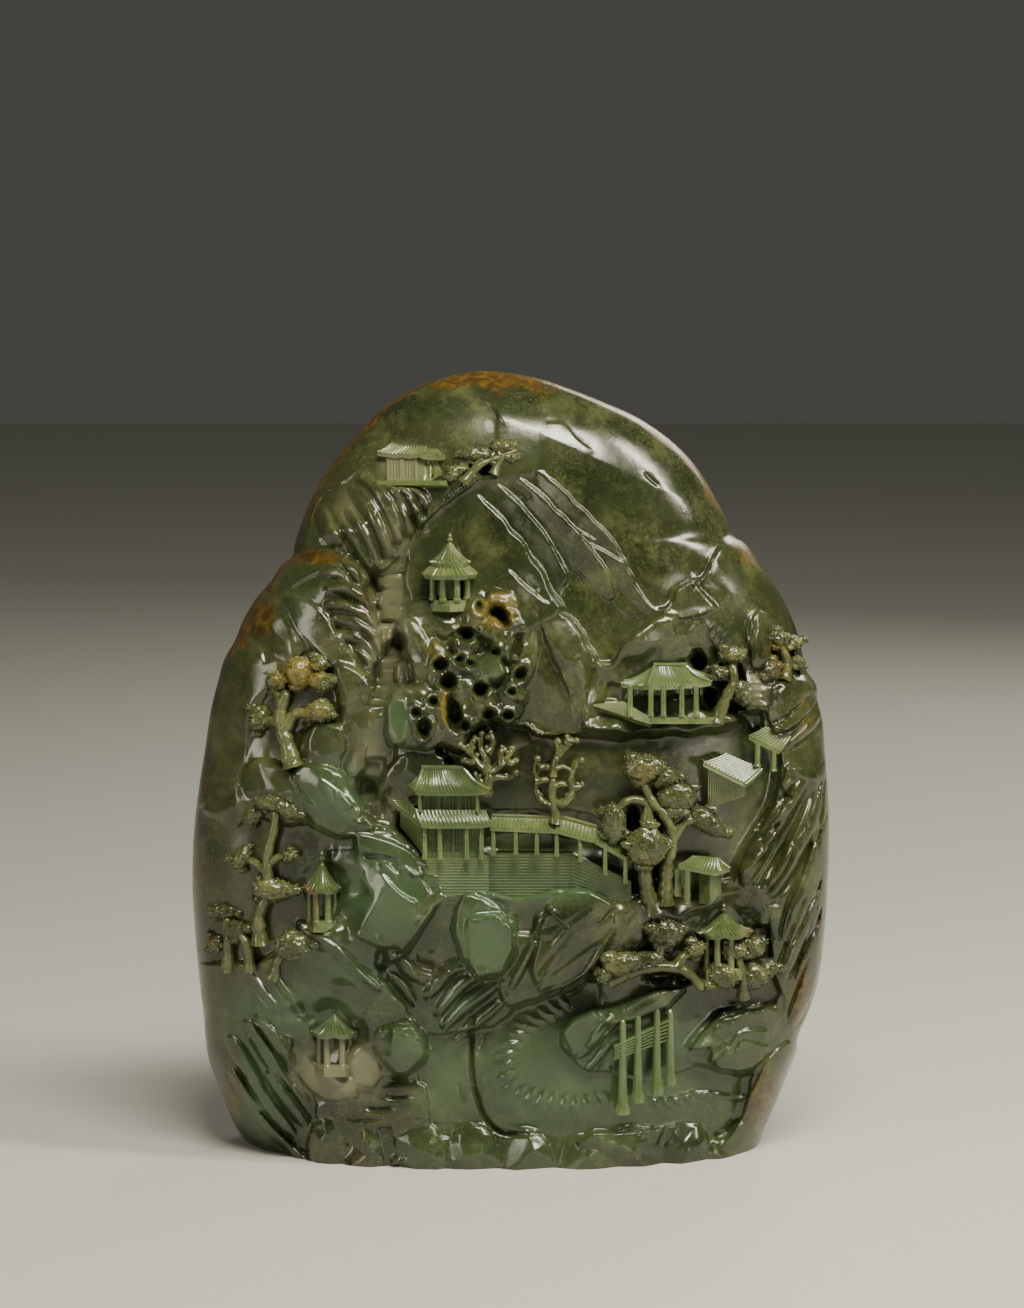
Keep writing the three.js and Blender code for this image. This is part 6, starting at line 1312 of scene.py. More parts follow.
class Weave:
    """A short way to write a node tree: each call adds a node and gives one of its outputs."""

    def __init__(self, tree):
        self.tree = tree

    def add(self, kind, joins=None, out=0, **settings):
        node = self.tree.nodes.new(kind)
        for name, value in settings.items():
            setattr(node, name, value)
        for key, value in (joins or {}).items():
            if isinstance(value, bpy.types.NodeSocket):
                self.tree.links.new(value, node.inputs[key])
            else:
                node.inputs[key].default_value = value
        return node.outputs[out]

    def sum(self, a, b):
        return self.add("ShaderNodeVectorMath", {0: a, 1: b}, operation="ADD")

    def number(self, operation, a, b=0.0):
        return self.add("ShaderNodeMath", {0: a, 1: b}, operation=operation)

    def times(self, a, b):
        return self.number("MULTIPLY", a, b)

    def plus(self, a, b):
        return self.number("ADD", a, b)

    def minus(self, a, b):
        return self.number("SUBTRACT", a, b)

    def mix(self, a, b, share):
        return self.add("ShaderNodeMix", {0: share, 4: a, 5: b}, out=1, data_type="VECTOR")

    def vector(self, x=0.0, y=0.0, z=0.0):
        return self.add("ShaderNodeCombineXYZ", {0: x, 1: y, 2: z})

    def parts(self, vector):
        node = self.tree.nodes.new("ShaderNodeSeparateXYZ")
        self.tree.links.new(vector, node.inputs[0])
        return node.outputs


def new_tree(name, inputs):
    """A geometry tree with named inputs, given as name: (kind, starting value)."""
    tree = bpy.data.node_groups.new(name, "GeometryNodeTree")
    tree.interface.new_socket("Geometry", in_out="OUTPUT", socket_type="NodeSocketGeometry")
    for label, (kind, value) in inputs.items():
        socket = tree.interface.new_socket(label, in_out="INPUT", socket_type="NodeSocket" + kind)
        if value is not None:
            socket.default_value = value
    weave = Weave(tree)
    entry = tree.nodes.new("NodeGroupInput").outputs
    return tree, weave, entry


def close_tree(tree, weave, geometry, material):
    realized = weave.add("GeometryNodeRealizeInstances", {0: geometry})
    finished = weave.add("GeometryNodeSetMaterial", {"Geometry": realized, "Material": material})
    leave = tree.nodes.new("NodeGroupOutput")
    tree.links.new(finished, leave.inputs[0])
    return tree


def grown(tree, values, ground=None):
    """An object that carries a geometry tree, with the tree's inputs set by their own identifiers."""
    thing = bpy.data.objects.new(tree.name, ground or bpy.data.meshes.new(tree.name))
    bpy.context.scene.collection.objects.link(thing)
    weaver = thing.modifiers.new(tree.name, "NODES")
    weaver.node_group = tree
    for item in tree.interface.items_tree:
        if item.in_out == "INPUT" and item.name in values:
            weaver[item.identifier] = values[item.name]
    return thing


def rib_lines(weave, count):
    """Straight lines side by side in a unit square: x is the share across, y the share along each."""
    line = weave.add("GeometryNodeCurvePrimitiveLine", {"Start": (0, 0, 0), "End": (0, 1, 0)})
    fine = weave.add("GeometryNodeResampleCurve", {"Curve": line, "Count": 7})
    last = weave.minus(count, 1.0)
    stops = weave.add("GeometryNodeMeshLine", {"Count": count, "Start Location": (0, 0, 0),
                                              "Offset": weave.vector(weave.number("DIVIDE", 1.0, last))})
    placed = weave.add("GeometryNodeInstanceOnPoints", {"Points": stops, "Instance": fine})
    return weave.add("GeometryNodeRealizeInstances", {0: placed})


def rib_bodies(weave, lines, width):
    radius = weave.times(width, 0.5)
    section = weave.add("GeometryNodeCurvePrimitiveCircle", {"Resolution": 6, "Radius": radius})
    return weave.add("GeometryNodeCurveToMesh", {"Curve": lines, "Profile Curve": section, "Fill Caps": True})


def tiled_slope_tree():
    """One slope of a tiled roof between a ridge line and an eave line, with raised rows of tiles."""
    tree, weave, entry = new_tree("tiled slope", {
        "Ridge Start": ("Vector", None), "Ridge End": ("Vector", None), "Eave Start": ("Vector", None),
        "Eave End": ("Vector", None), "Sag": ("Float", 0.5), "Upturn": ("Float", 0.4),
        "Thickness": ("Float", 1.1), "Rib Width": ("Float", 0.6), "Ribs": ("Int", 12),
        "Material": ("Material", None)})

    def slope_point(across, down):
        ridge = weave.mix(entry["Ridge Start"], entry["Ridge End"], across)
        eave = weave.mix(entry["Eave Start"], entry["Eave End"], across)
        straight = weave.mix(ridge, eave, down)
        left = weave.minus(1.0, down)
        bow = weave.times(weave.times(left, down), 4.0)
        end = weave.number("ABSOLUTE", weave.minus(weave.times(across, 2.0), 1.0))
        corner = weave.times(weave.number("POWER", end, 5.0), weave.number("POWER", down, 3.0))
        lift = weave.minus(weave.times(corner, entry["Upturn"]),
                            weave.times(bow, entry["Sag"]))
        return weave.sum(straight, weave.vector(0.0, 0.0, lift))

    at = weave.add("GeometryNodeInputPosition")
    slab = weave.add("GeometryNodeMeshCube", {"Size": (1, 1, 1), "Vertices X": 13, "Vertices Y": 7,
                                             "Vertices Z": 2})
    x, y, z = weave.parts(at)
    depth = weave.times(weave.minus(0.5, z), entry["Thickness"])
    surface = slope_point(weave.plus(x, 0.5), weave.plus(y, 0.5))
    sunk = weave.sum(surface, weave.vector(0.0, 0.0, weave.times(depth, -1.0)))
    slab = weave.add("GeometryNodeSetPosition", {"Geometry": slab, "Position": sunk})
    lines = rib_lines(weave, entry["Ribs"])
    lines = weave.add("GeometryNodeSetPosition", {"Geometry": lines, "Position": slope_point(x, y)})
    ribs = rib_bodies(weave, lines, entry["Rib Width"])
    joined = weave.tree.nodes.new("GeometryNodeJoinGeometry")
    tree.links.new(slab, joined.inputs[0])
    tree.links.new(ribs, joined.inputs[0])
    return close_tree(tree, weave, joined.outputs[0], entry["Material"])


def umbrella_ribs_tree():
    """Rows of tiles that run down from the tip of a round roof."""
    tree, weave, entry = new_tree("umbrella ribs", {
        "Centre": ("Vector", None), "Radius": ("Float", 7.0), "Rise": ("Float", 8.0), "Power": ("Float", 1.7),
        "Rib Width": ("Float", 0.5), "Ribs": ("Int", 36), "Material": ("Material", None)})
    x, y, _ = weave.parts(weave.add("GeometryNodeInputPosition"))
    turn = weave.times(x, 2 * math.pi)
    up = weave.times(y, 0.93)
    reach = weave.times(weave.minus(1.0, up), entry["Radius"])
    height = weave.times(weave.number("POWER", up, entry["Power"]), entry["Rise"])
    point = weave.vector(weave.times(weave.number("SINE", turn), reach),
                         weave.times(weave.number("COSINE", turn), reach), height)
    lines = weave.add("GeometryNodeSetPosition", {"Geometry": rib_lines(weave, entry["Ribs"]),
                                                 "Position": weave.sum(point, entry["Centre"])})
    return close_tree(tree, weave, rib_bodies(weave, lines, entry["Rib Width"]), entry["Material"])


def needle_grain_tree():
    """Grains scattered over the front of the pines' clumps."""
    tree, weave, entry = new_tree("needle grains", {
        "Clumps": ("Object", None), "Grains Per Area": ("Float", 1.0), "Size": ("Float", 0.4),
        "Seed": ("Int", 7), "Material": ("Material", None)})
    ground = weave.add("GeometryNodeObjectInfo", {"Object": entry["Clumps"]}, out="Geometry")
    way = weave.parts(weave.add("GeometryNodeInputNormal"))[1]
    facing = weave.add("FunctionNodeCompare", {0: way, 1: 0.1}, operation="LESS_THAN")
    scatter = weave.tree.nodes.new("GeometryNodeDistributePointsOnFaces")
    for key, value in (("Mesh", ground), ("Density", entry["Grains Per Area"]), ("Seed", entry["Seed"]),
                       ("Selection", facing)):
        tree.links.new(value, scatter.inputs[key])
    grain = weave.add("GeometryNodeMeshIcoSphere", {"Radius": entry["Size"], "Subdivisions": 1})
    size = weave.add("FunctionNodeRandomValue", {"Min": (0.5, 0.5, 0.6), "Max": (1, 1, 1.5),
                                                "Seed": entry["Seed"]}, data_type="FLOAT_VECTOR")
    placed = weave.add("GeometryNodeInstanceOnPoints", {
        "Points": scatter.outputs["Points"], "Instance": grain, "Rotation": scatter.outputs["Rotation"],
        "Scale": size})
    return close_tree(tree, weave, placed, entry["Material"])


# Halls, galleries and pavilions

TILE_PITCH, TILE_ROW_WIDTH, ROOF_THICKNESS = 1.12, 0.6, 1.1


def roof_slope(pile, corners, sag=0.5, upturn=0.5):
    """A tiled slope between the ends of its ridge and the ends of its eave, as four [x, z, cut]."""
    corners = [spot(*corner) for corner in corners]
    longest = max(np.linalg.norm(corners[1] - corners[0]), np.linalg.norm(corners[3] - corners[2]))
    names = ("Ridge Start", "Ridge End", "Eave Start", "Eave End")
    values = {name: tuple(corner) for name, corner in zip(names, corners)}
    values |= {"Sag": sag, "Upturn": upturn, "Rib Width": TILE_ROW_WIDTH, "Thickness": ROOF_THICKNESS,
               "Ribs": max(3, round(longest / TILE_PITCH) + 1), "Material": pile.material}
    pile.add_made(grown(pile.roof_tree, values))


def ridge_beam(pile, points, thick=0.55):
    line = np.array([spot(*point) for point in points])
    if len(points) > 2:
        line = curve_through(line, 1.0)
    tube(pile, line, np.full(len(line), thick), 8)


def column(pile, x, low, high, cut, wide=1.5):
    foot, head = spot(x, low, cut), spot(x, high, cut)
    half = wide / 2
    turning = [[half * 1.25, 0], [half * 1.25, 0.5], [half, 0.8], [half * 0.94, head[2] - foot[2]]]
    turned_form(pile, foot, turning, 12)


def courses(count, depth=0.22):
    """Carving of fine level lines."""
    return lambda u, v: -depth * (np.abs((v * count) % 1 - 0.5) < 0.26)


def upright_lines(count, depth=0.16):
    """Carving of fine upright lines."""
    return lambda u, v: -depth * (np.abs((u * count) % 1 - 0.5) < 0.25)


def frames(bays, depth=0.5, margin=0.12):
    """Carving of upright panels in frames."""
    def relief(u, v):
        bay = (u * bays) % 1
        inside = (bay > margin) & (bay < 1 - margin) & (v > 0.1) & (v < 0.9)
        slats = np.abs((bay * 5) % 1 - 0.5) < 0.2
        return -depth * inside + 0.45 * depth * (inside & slats)
    return relief


def leaning_wall(pile, corners, thick=4.0, relief_at=None, across=2, up=2):
    panel(pile, [spot(*corner) for corner in corners], thick, relief_at, across, up)


def wall(pile, left, right, low, high, cut, *finish):
    """An upright wall at an even cut; the rest is what a leaning wall takes."""
    leaning_wall(pile, [[left, low, cut], [right, low, cut], [right, high, cut], [left, high, cut]], *finish)


def two_storey_hall(pile):
    wall(pile, -26, -8, 94, 103.8, 4.6, 9, frames(4), 121, 31)
    leaning_wall(pile, [[-33, 103, 11], [-26, 94.5, 4.8], [-26, 103.5, 4.8], [-33, 109, 11]], 4)
    wall(pile, -27.5, -9, 107, 114, 3.8, 9, frames(3, 0.7, 0.08), 91, 21)
    roof_slope(pile, [[-28, 108, 3], [-7.5, 108, 3], [-26.6, 103.4, 0.6], [-5.4, 103.6, 0.6]])
    roof_slope(pile, [[-31, 112, 9], [-28, 108, 3], [-35.2, 110.4, 9], [-26.6, 103.4, 0.6]])
    roof_slope(pile, [[-26, 120.5, 5], [-14, 120.5, 5], [-28.4, 113.2, 0.8], [-6, 113.4, 0.8]], 0.9)
    roof_slope(pile, [[-26.2, 120.4, 5.4], [-26, 120.5, 5], [-32, 116.6, 9], [-28.4, 113.2, 0.8]], 0.6)
    ridge_beam(pile, [[-26.6, 120.7, 5], [-13.6, 120.7, 5]], 0.7)
    ridge_beam(pile, [[-14, 120.7, 5], [-10.5, 116.6, 3], [-5.8, 113.9, 0.8]], 0.55)
    ridge_beam(pile, [[-26.2, 120.6, 5], [-27.6, 116.6, 3], [-28.8, 113.5, 0.8]], 0.5)
    ridge_beam(pile, [[-28.2, 108.2, 3], [-27.4, 105.6, 1.8], [-26.8, 103.8, 0.7]], 0.5)
    for x in (-25.6, -21, -13, -8.6):
        column(pile, x, 93.2, 103.4, 2.6)
    for x in (-27, -9.8):
        column(pile, x, 107.4, 113.4, 2.4, 1.2)
    wall(pile, -25.6, -6.4, 80, 94, 4.2, 12, courses(16, 0.09), 2, 129)


def gallery(pile):
    roof_slope(pile, [[-5.4, 106.2, 5], [15, 105.6, 5], [-6, 102.8, 1.8], [15, 101.9, 1.8]], 0.3, 0.1)
    roof_slope(pile, [[14.8, 105.9, 5], [26, 102.8, 5], [13.8, 102, 1.6], [25.4, 99, 1.6]], 0.3, 0.3)
    roof_slope(pile, [[25, 102.6, 5.4], [35.5, 97.5, 5.4], [24.6, 99.4, 2.4], [35, 93.6, 2.4]], 0.3, 0.1)
    ridge_beam(pile, [[-5.4, 106.4, 5], [15, 105.8, 5]], 0.5)
    ridge_beam(pile, [[14.8, 106.1, 5], [26, 103, 5]], 0.6)
    for x, low, high in ([-5, 94.5, 102.8], [1.7, 94.5, 102.6], [8, 94.5, 102.2], [14, 94, 102],
                         [21, 92.5, 100.4], [28.5, 88.5, 98], [34.6, 86, 94]):
        column(pile, x, low, high, 3, 1.4)
    wall(pile, -6.8, 19, 79, 95, 5.9, 8, courses(18, 0.3), 2, 145)
    leaning_wall(pile, [[18.6, 78, 5.3], [36.4, 74, 5.7], [36.4, 86.6, 5.7], [18.6, 95, 5.3]], 8,
                 courses(16, 0.42), 2, 129)


def terrace_hall(pile):
    wall(pile, 34, 58, 136, 146.5, 11, 5, frames(5, 0.4), 121, 21)
    roof_slope(pile, [[43.5, 151.3, 5], [52.6, 151.3, 5], [41.5, 144.8, 0.8], [60.4, 146, 1.2]], 0.8)
    roof_slope(pile, [[43.3, 151.2, 5.4], [43.5, 151.3, 5], [32.4, 146, 8], [41.5, 144.8, 0.8]], 0.7)
    roof_slope(pile, [[52.6, 151.3, 5], [52.8, 151.2, 5.4], [60.4, 146, 1.2], [61, 148.6, 9]], 0.6)
    ridge_beam(pile, [[43, 151.6, 5], [53, 151.6, 5]], 0.65)
    ridge_beam(pile, [[43.3, 151.4, 5], [42.2, 147.8, 2.8], [41.3, 145, 0.9]], 0.5)
    ridge_beam(pile, [[52.7, 151.4, 5], [56, 148.4, 3], [60.6, 146.4, 1.3]], 0.5)
    for x in (36, 42.2, 46, 51.5, 55.8):
        column(pile, x, 136, 145.4, 2.4, 1.7)
    leaning_wall(pile, [[24, 139.6, 5], [42.4, 133.6, 1.6], [42.4, 135.6, 1.6], [34, 140.6, 5]], 3)
    wall(pile, 42, 62, 133.8, 135.8, 1.6, 4)


def crown_hut(pile):
    wall(pile, -37, -28, 206.6, 214.6, 2.2, 6, frames(2, 0.45, 0.14), 61, 21)
    wall(pile, -28, -20.4, 206.6, 213.8, 3, 6, frames(1, 0.5, 0.3), 31, 11)
    wall(pile, -40, -19, 205.4, 206.8, 0.8, 6)
    roof_slope(pile, [[-34.6, 218.8, 3.6], [-25, 218.8, 3.6], [-39.8, 215, 0.8], [-26, 214.6, 0.8]], 0.4)
    roof_slope(pile, [[-27, 217.4, 3.2], [-22.6, 217, 3.2], [-27, 214.4, 0.6], [-19.6, 213.8, 0.9]], 0.3)
    ridge_beam(pile, [[-35, 219, 3.6], [-25, 219, 3.6]], 0.5)


def eastern_huts(pile):
    roof_slope(pile, [[65, 124.8, 4], [75.6, 120.4, 3], [58, 122.2, 1.6], [70.6, 115.8, 1.2]], 0.2, 0)
    leaning_wall(pile, [[59.4, 108.6, 7], [70.6, 112, 6], [70.6, 117, 3.4], [59.4, 121.6, 3.4]], 8,
                 upright_lines(16), 129, 2)
    roof_slope(pile, [[77, 133, 4.4], [84, 130, 2.6], [71.6, 130.2, 2.6], [80.6, 125.8, 1.6]], 0.2, 0)
    column(pile, 74.2, 121, 128, 2.6, 1.8)
    column(pile, 79, 119.6, 126, 2.6, 1.8)


def pine_hut(pile):
    roof_slope(pile, [[55, 94.2, 5], [62, 93.8, 4.4], [50.6, 91.4, 1.6], [61.6, 89.2, 1]], 0.2, 0.1)
    roof_slope(pile, [[62, 93.8, 4.4], [62.4, 93.6, 4.8], [61.6, 89.2, 1], [66, 90.6, 4]], 0.2, 0)
    column(pile, 53, 79.6, 90.8, 2.4, 2.2)
    leaning_wall(pile, [[60, 79.6, 2.6], [63.4, 83, 6], [63.4, 91, 6], [60, 89.8, 2.6]], 4)
    wall(pile, 49.4, 51.4, 82, 90, 5, 5)


def umbrella_roof(pile, centre, radius, rise, sides, ribs, power=1.7, upturn=0.7):
    """A round roof that sweeps up to a tip, with its corners turned up and rows of tiles."""
    steps, around = 9, sides * 6
    angles = np.arange(around) * 2 * math.pi / around
    up = np.linspace(0, 0.96, steps)
    corner = np.abs(np.cos(angles * sides / 2))**6
    reach = radius * (1 - up)[:, None] * (1 + 0.05 * corner * (1 - up)[:, None])
    rings = np.stack([np.sin(angles) * reach, np.cos(angles) * reach,
                      rise * up[:, None]**power + upturn * corner * (1 - up)[:, None]**4], -1)
    under = rings[0] * (0.94, 0.94, 1) - (0, 0, 1.2)
    inner = rings[0] * (0.4, 0.4, 0.2) - (0, 0, 0.5)
    pile.add(np.concatenate([inner[None], under[None], rings]) + centre, ring_faces(steps + 2, around))
    values = {"Centre": tuple(centre + (0, 0, 0.05)), "Radius": radius, "Rise": rise, "Power": power,
              "Rib Width": 0.8, "Ribs": ribs, "Material": pile.material}
    pile.add_made(grown(pile.roof_tree, values))


def post_ring(pile, axis, count, reach, turning):
    """Turned posts at even gaps round an upright axis."""
    for corner in range(count):
        turn = 2 * math.pi * (corner + 0.5) / count
        at = axis + np.array([math.sin(turn), -math.cos(turn), 0]) * reach
        turned_form(pile, at, turning, 12)


# The turned knob on a roof's tip, as [radius, height]
FINIAL = [[0.9, -0.4], [0.55, 0.1], [0.5, 0.5], [0.95, 0.9], [1.05, 1.3], [0.6, 1.75], [0.35, 1.95],
          [0.6, 2.3], [0.62, 2.6], [0.3, 3.0], [0.12, 3.6]]

# The open pavilions: [x, floor, eave, tip, radius, cut, sides, size of the finial, rows of tiles]
PAVILIONS = [
    [-56.3, 74.5, 84.6, 96, 5.8, 6.2, 6, 1.1, 26],
    [-52.5, 31.5, 41.6, 50, 7.2, 7.2, 6, 0.9, 30],
    [64, 60.5, 71.6, 80, 8.6, 7, 8, 0.9, 34],
]


def open_pavilion(pile, x, floor, eave, tip, radius, cut, sides, finial, ribs):
    """A pavilion of columns under an umbrella roof, on a low step."""
    front = skin_at(x, floor) - cut
    axis = place(x, floor, front)
    eave_z, tip_z = (place(x, drawn, front)[2] for drawn in (eave, tip))
    step = radius * 0.86
    turned_form(pile, axis, [[step, -2.5], [step, 0.1], [step * 0.94, 0.3], [step * 0.9, 0.9]], sides)
    rise = (tip_z - eave_z) - 3 * finial
    umbrella_roof(pile, np.array([axis[0], axis[1], eave_z]), radius, rise, sides, ribs)
    turned_form(pile, [axis[0], axis[1], eave_z + rise * 0.93], np.array(FINIAL) * finial, 12)
    post_ring(pile, axis, sides, radius * 0.62,
              [[1.3, 0], [1.3, 0.7], [1.05, 1], [1.0, eave_z - axis[2] + 0.3]])


def pagoda(pile, x=-18.0, floor=171.2, cut=7.0):
    front = skin_at(x, floor) - cut
    axis = place(x, floor, front)
    levels = [place(x, drawn, front)[2] for drawn in (178.9, 182.4, 190.8)]
    turned_form(pile, axis, [[6.6, -3], [6.6, -1], [6.3, -0.7], [6.2, 0.2]], 8)
    lower, upper, tip = (np.array([axis[0], axis[1], level]) for level in levels)
    umbrella_roof(pile, lower, 8.1, 5.2, 8, 34, 0.75, 0.3)
    turned_form(pile, lower, [[4.6, -0.5], [4.6, 3.4], [5, 3.9], [5, 4.6]], 16)
    umbrella_roof(pile, upper, 6, tip[2] - upper[2] - 2.4, 8, 26, 1.5, 0.4)
    turned_form(pile, tip - (0, 0, 2.7), np.array(FINIAL) * 0.85, 12)
    turned_form(pile, axis, [[3.4, 0.5], [3.4, levels[0] - axis[2]]], 12)
    post_ring(pile, axis, 8, 5.4, [[1.25, 0], [1.25, 0.7], [1, 1], [0.95, levels[0] - axis[2] + 0.3]])


# The landing stage's posts, as [x, low, high, wide], and their turning as [share of the width, height] up
# from the foot and down from the tip
STAGE_POSTS = [[33.8, 18.3, 44.6, 2.6], [38.3, 21.8, 47, 2.5], [44, 24.3, 48.6, 2.5], [48, 27, 47.6, 2.3]]
POST_FOOT = [[0.84, -1.5], [0.84, 0.3], [0.62, 2.2], [0.52, 7], [0.44, 14]]
POST_TIP = [[0.38, 1.4], [0.3, 1.2], [0.34, 0.7], [0.12, 0]]
STAGE_SLATS = 6


def landing_stage(pile):
    """Pointed posts that stand in the pond, joined by a band of slats that rises to the right."""
    for x, low, high, wide in STAGE_POSTS:
        foot, head = spot(x, low, 0.8), spot(x, high, 0.8)
        tall = head[2] - foot[2]
        turning = [[wide * share, up] for share, up in POST_FOOT]
        turning += [[wide * share, tall - down] for share, down in POST_TIP]
        turned_form(pile, foot, turning, 8, 0.39)
    for share in np.arange(STAGE_SLATS) / (STAGE_SLATS - 1):
        left, right = spot(31.3, 33.2 + 3.6 * share, 3), spot(49, 39.8 + 5.6 * share, 3)
        tube(pile, [left, between(left, right, 0.5), right], np.full(3, 0.42), 6)
    panel(pile, [spot(31.3, 33, 3.4), spot(49, 39.6, 3.4), spot(49, 45.6, 3.4), spot(31.3, 37, 3.4)], 6)


# Pines and bare trees

GRAINS_PER_AREA = 1.1

TREES = {
    "crown_pines": {
        "trunks": [[2.2, 1, [-14, 206, 3], [-9, 211.5, 2], [-3, 214, 1.6]],
                   [1.8, 1, [-5, 208.5, 3], [-2, 214, 2], [2, 216, 1.4]]],
        "pads": [[-10, 214.8, 2, 5, 2.2, 0], [-1.5, 217, 1.6, 4.6, 2.4, 0], [0.5, 213.6, 2, 3.4, 1.6, 0],
                 [-16.5, 209, 2, 4, 2, 40]],
    },
    "west_pine": {
        "trunks": [[4, 2.2, [-65, 121, 3], [-67, 128, 2], [-69, 135, 1.6],
                    [-67, 144, 1.6]],
                   [2.8, 1.6, [-68, 132, 2], [-64, 137, 2], [-58, 136, 2]],
                   [2.4, 1.4, [-68, 139, 2], [-70, 143, 2], [-72, 146, 2]],
                   [2.2, 1.4, [-68.5, 134, 2], [-72, 135, 2], [-75, 135, 2]]],
        "pads": [[-62.6, 149.4, 1.4, 4.4, 4.8, 0], [-56.6, 146.8, 2, 4.2, 2.8, -10],
                 [-57, 152, 2.2, 3, 2.4, 0],
                 [-70, 146.5, 1.4, 3.4, 3, 0], [-75, 135.5, 1.2, 3.5, 4.2, 0], [-57, 137.5, 2, 4.6, 3, 0]],
    },
    "umbrella_pine": {
        "trunks": [[3.2, 1.8, [-75, 68, 2], [-75.5, 75, 1.6], [-72.5, 85, 1.4], [-73, 93, 1.4],
                    [-71, 102, 1.4], [-70, 108, 1.6]],
                   [2, 1.4, [-73, 90, 2], [-78, 93, 2], [-80.5, 94, 2]],
                   [2, 1.4, [-73, 91, 2], [-69, 94, 2], [-66, 94.5, 2]]],
        "pads": [[-71, 110.4, 1.2, 5.6, 2.6, 0], [-76.4, 107, 1.2, 4.6, 2.6, 42],
                 [-66.4, 108, 1.4, 4.2, 2.6, -32], [-80.5, 94, 1.2, 4.6, 3, 48], [-66, 94.5, 2, 2.2, 1.8, 0],
                 [-71, 84, 1.2, 6.4, 3.6, -6]],
    },
    "west_grove": {
        "trunks": [[2.6, 2, [-84.5, 60, 1.6], [-84.5, 70, 1], [-85, 76, 1]],
                   [2.4, 1.8, [-78, 60, 1.6], [-79, 68, 1], [-82, 72, 1]],
                   [2.4, 1.8, [-71, 58, 1.6], [-69, 64, 1.2], [-65, 67, 1.2]]],
        "pads": [[-85.5, 77.5, 1, 5, 2.4, 0], [-88, 68, 0.8, 2.4, 3, 0], [-82, 72, 1, 3.4, 3, 0],
                 [-65, 67, 1.2, 6, 4.5, 0]],
    },
    "great_pine": {
        "trunks": [[3.6, 2.4, [43, 78, 5], [41, 84, 4], [40.5, 90, 3], [41, 96, 2.6]],
                   [3.2, 1.8, [46.5, 80, 5], [47, 90, 4], [48.5, 102, 3], [46, 107, 3], [43, 110, 3],
                    [40, 116, 3]],
                   [2.6, 1.6, [48, 99, 4], [54, 105, 3], [60, 103, 3]],
                   [2.4, 1.6, [41, 104, 4], [41, 110, 4], [36, 111, 4], [32, 108, 4]]],
        "pads": [[40, 120.5, 2, 6, 4.4, 0], [47, 118, 2.4, 4, 3, 0], [50, 112, 2, 6, 4.5, 0],
                 [50, 107.6, 2, 4, 2.2, 0], [59, 104.6, 2, 7, 3.4, -38], [31, 104, 3, 3.5, 6.4, 0],
                 [41, 97, 0.8, 6.2, 6.4, 0]],
    },
    "east_grove": {
        "trunks": [[3, 1.8, [30, 57, 5], [40, 60.5, 2.4], [46, 61, 2.2], [52, 60, 2.4], [58, 54, 4]],
                   [2.4, 1.6, [50, 61, 3], [52, 64, 3], [55, 66, 3]],
                   [2.4, 1.6, [44, 61, 3], [45, 66, 3], [47, 71, 3]],
                   [2.4, 1.8, [70, 52, 3], [70, 58, 2], [68, 64, 2]]],
        "pads": [[47, 71, 2.4, 5.5, 4, 0], [55, 66, 2.4, 2.8, 2.5, 0], [34, 62, 1.4, 6.4, 3.5, 8],
                 [42, 63, 2, 4, 2.6, 0], [28.5, 58.5, 2, 3, 2, 40], [67, 66, 2.4, 4, 3, 0],
                 [73, 67, 2, 3.6, 3.5, 0], [64, 58, 1.6, 4.5, 4, 0], [73, 58, 1.4, 5, 4, 0],
                 [77, 60.5, 2, 3.4, 3, 0]],
    },
    "terrace_trees": {
        "trunks": [[2.8, 1.8, [62, 134.5, 4], [65, 142, 2.4], [67, 146, 2], [66.5, 152, 2]],
                   [2.6, 1.6, [82, 146, 3], [83, 152, 1.6], [81, 158, 1.4]]],
        "pads": [[66.5, 154.5, 1.6, 4.2, 2.6, 0], [63, 149, 2, 2.4, 2.2, 0], [69.5, 143, 1.6, 2.6, 4.4, 30],
                 [80, 159.5, 1, 3.6, 2.4, 0], [85, 158.3, 1, 2.8, 2.1, 0], [78, 150, 1.4, 2.8, 3, 0],
                 [86, 152, 1, 2.8, 1.8, 0]],
    },
}


def ball(subdivisions):
    """The points and faces of a unit ball."""
    shape = bmesh.new()
    bmesh.ops.create_icosphere(shape, subdivisions=subdivisions, radius=1)
    points = np.array([vertex.co[:] for vertex in shape.verts])
    faces = [[vertex.index for vertex in face.verts] for face in shape.faces]
    shape.free()
    return points, faces


# Uneven numbers that scatter the grains' middles
GRAIN_MIXING = np.array([[12.9898, 39.346, 73.156], [78.233, 11.135, 52.235], [37.719, 83.155, 9.151]])


def grains(points, size, seed):
    """How near each point is to the middle of its grain, 1 at the middle, in a packing of uneven grains."""
    cells = np.floor(points / size)
    nearest = np.full(len(points), 1e9)
    for step in np.ndindex(3, 3, 3):
        cell = cells + np.array(step) - 1
        mixed = cell @ GRAIN_MIXING
        middle = (cell + np.abs(np.sin(mixed + seed) * 43758.5453) % 1) * size
        nearest = np.minimum(nearest, np.linalg.norm(points - middle, axis=1))
    return np.clip(1 - nearest / size, 0, 1)


def nugget(pile, form, centre, size, seed):
    """A granular nugget of pine needles, longer towards the stone behind it."""
    points, faces = form
    shaped = points * size
    shaped[:, 1] *= np.where(points[:, 1] > 0, 2.0, 1.0)
    coarse = grains(shaped + centre, 1.5, seed) * 0.7 + grains(shaped + centre, 0.72, seed + 5) * 0.5 - 0.5
    pile.add(shaped + points * coarse[:, None] + centre, faces)


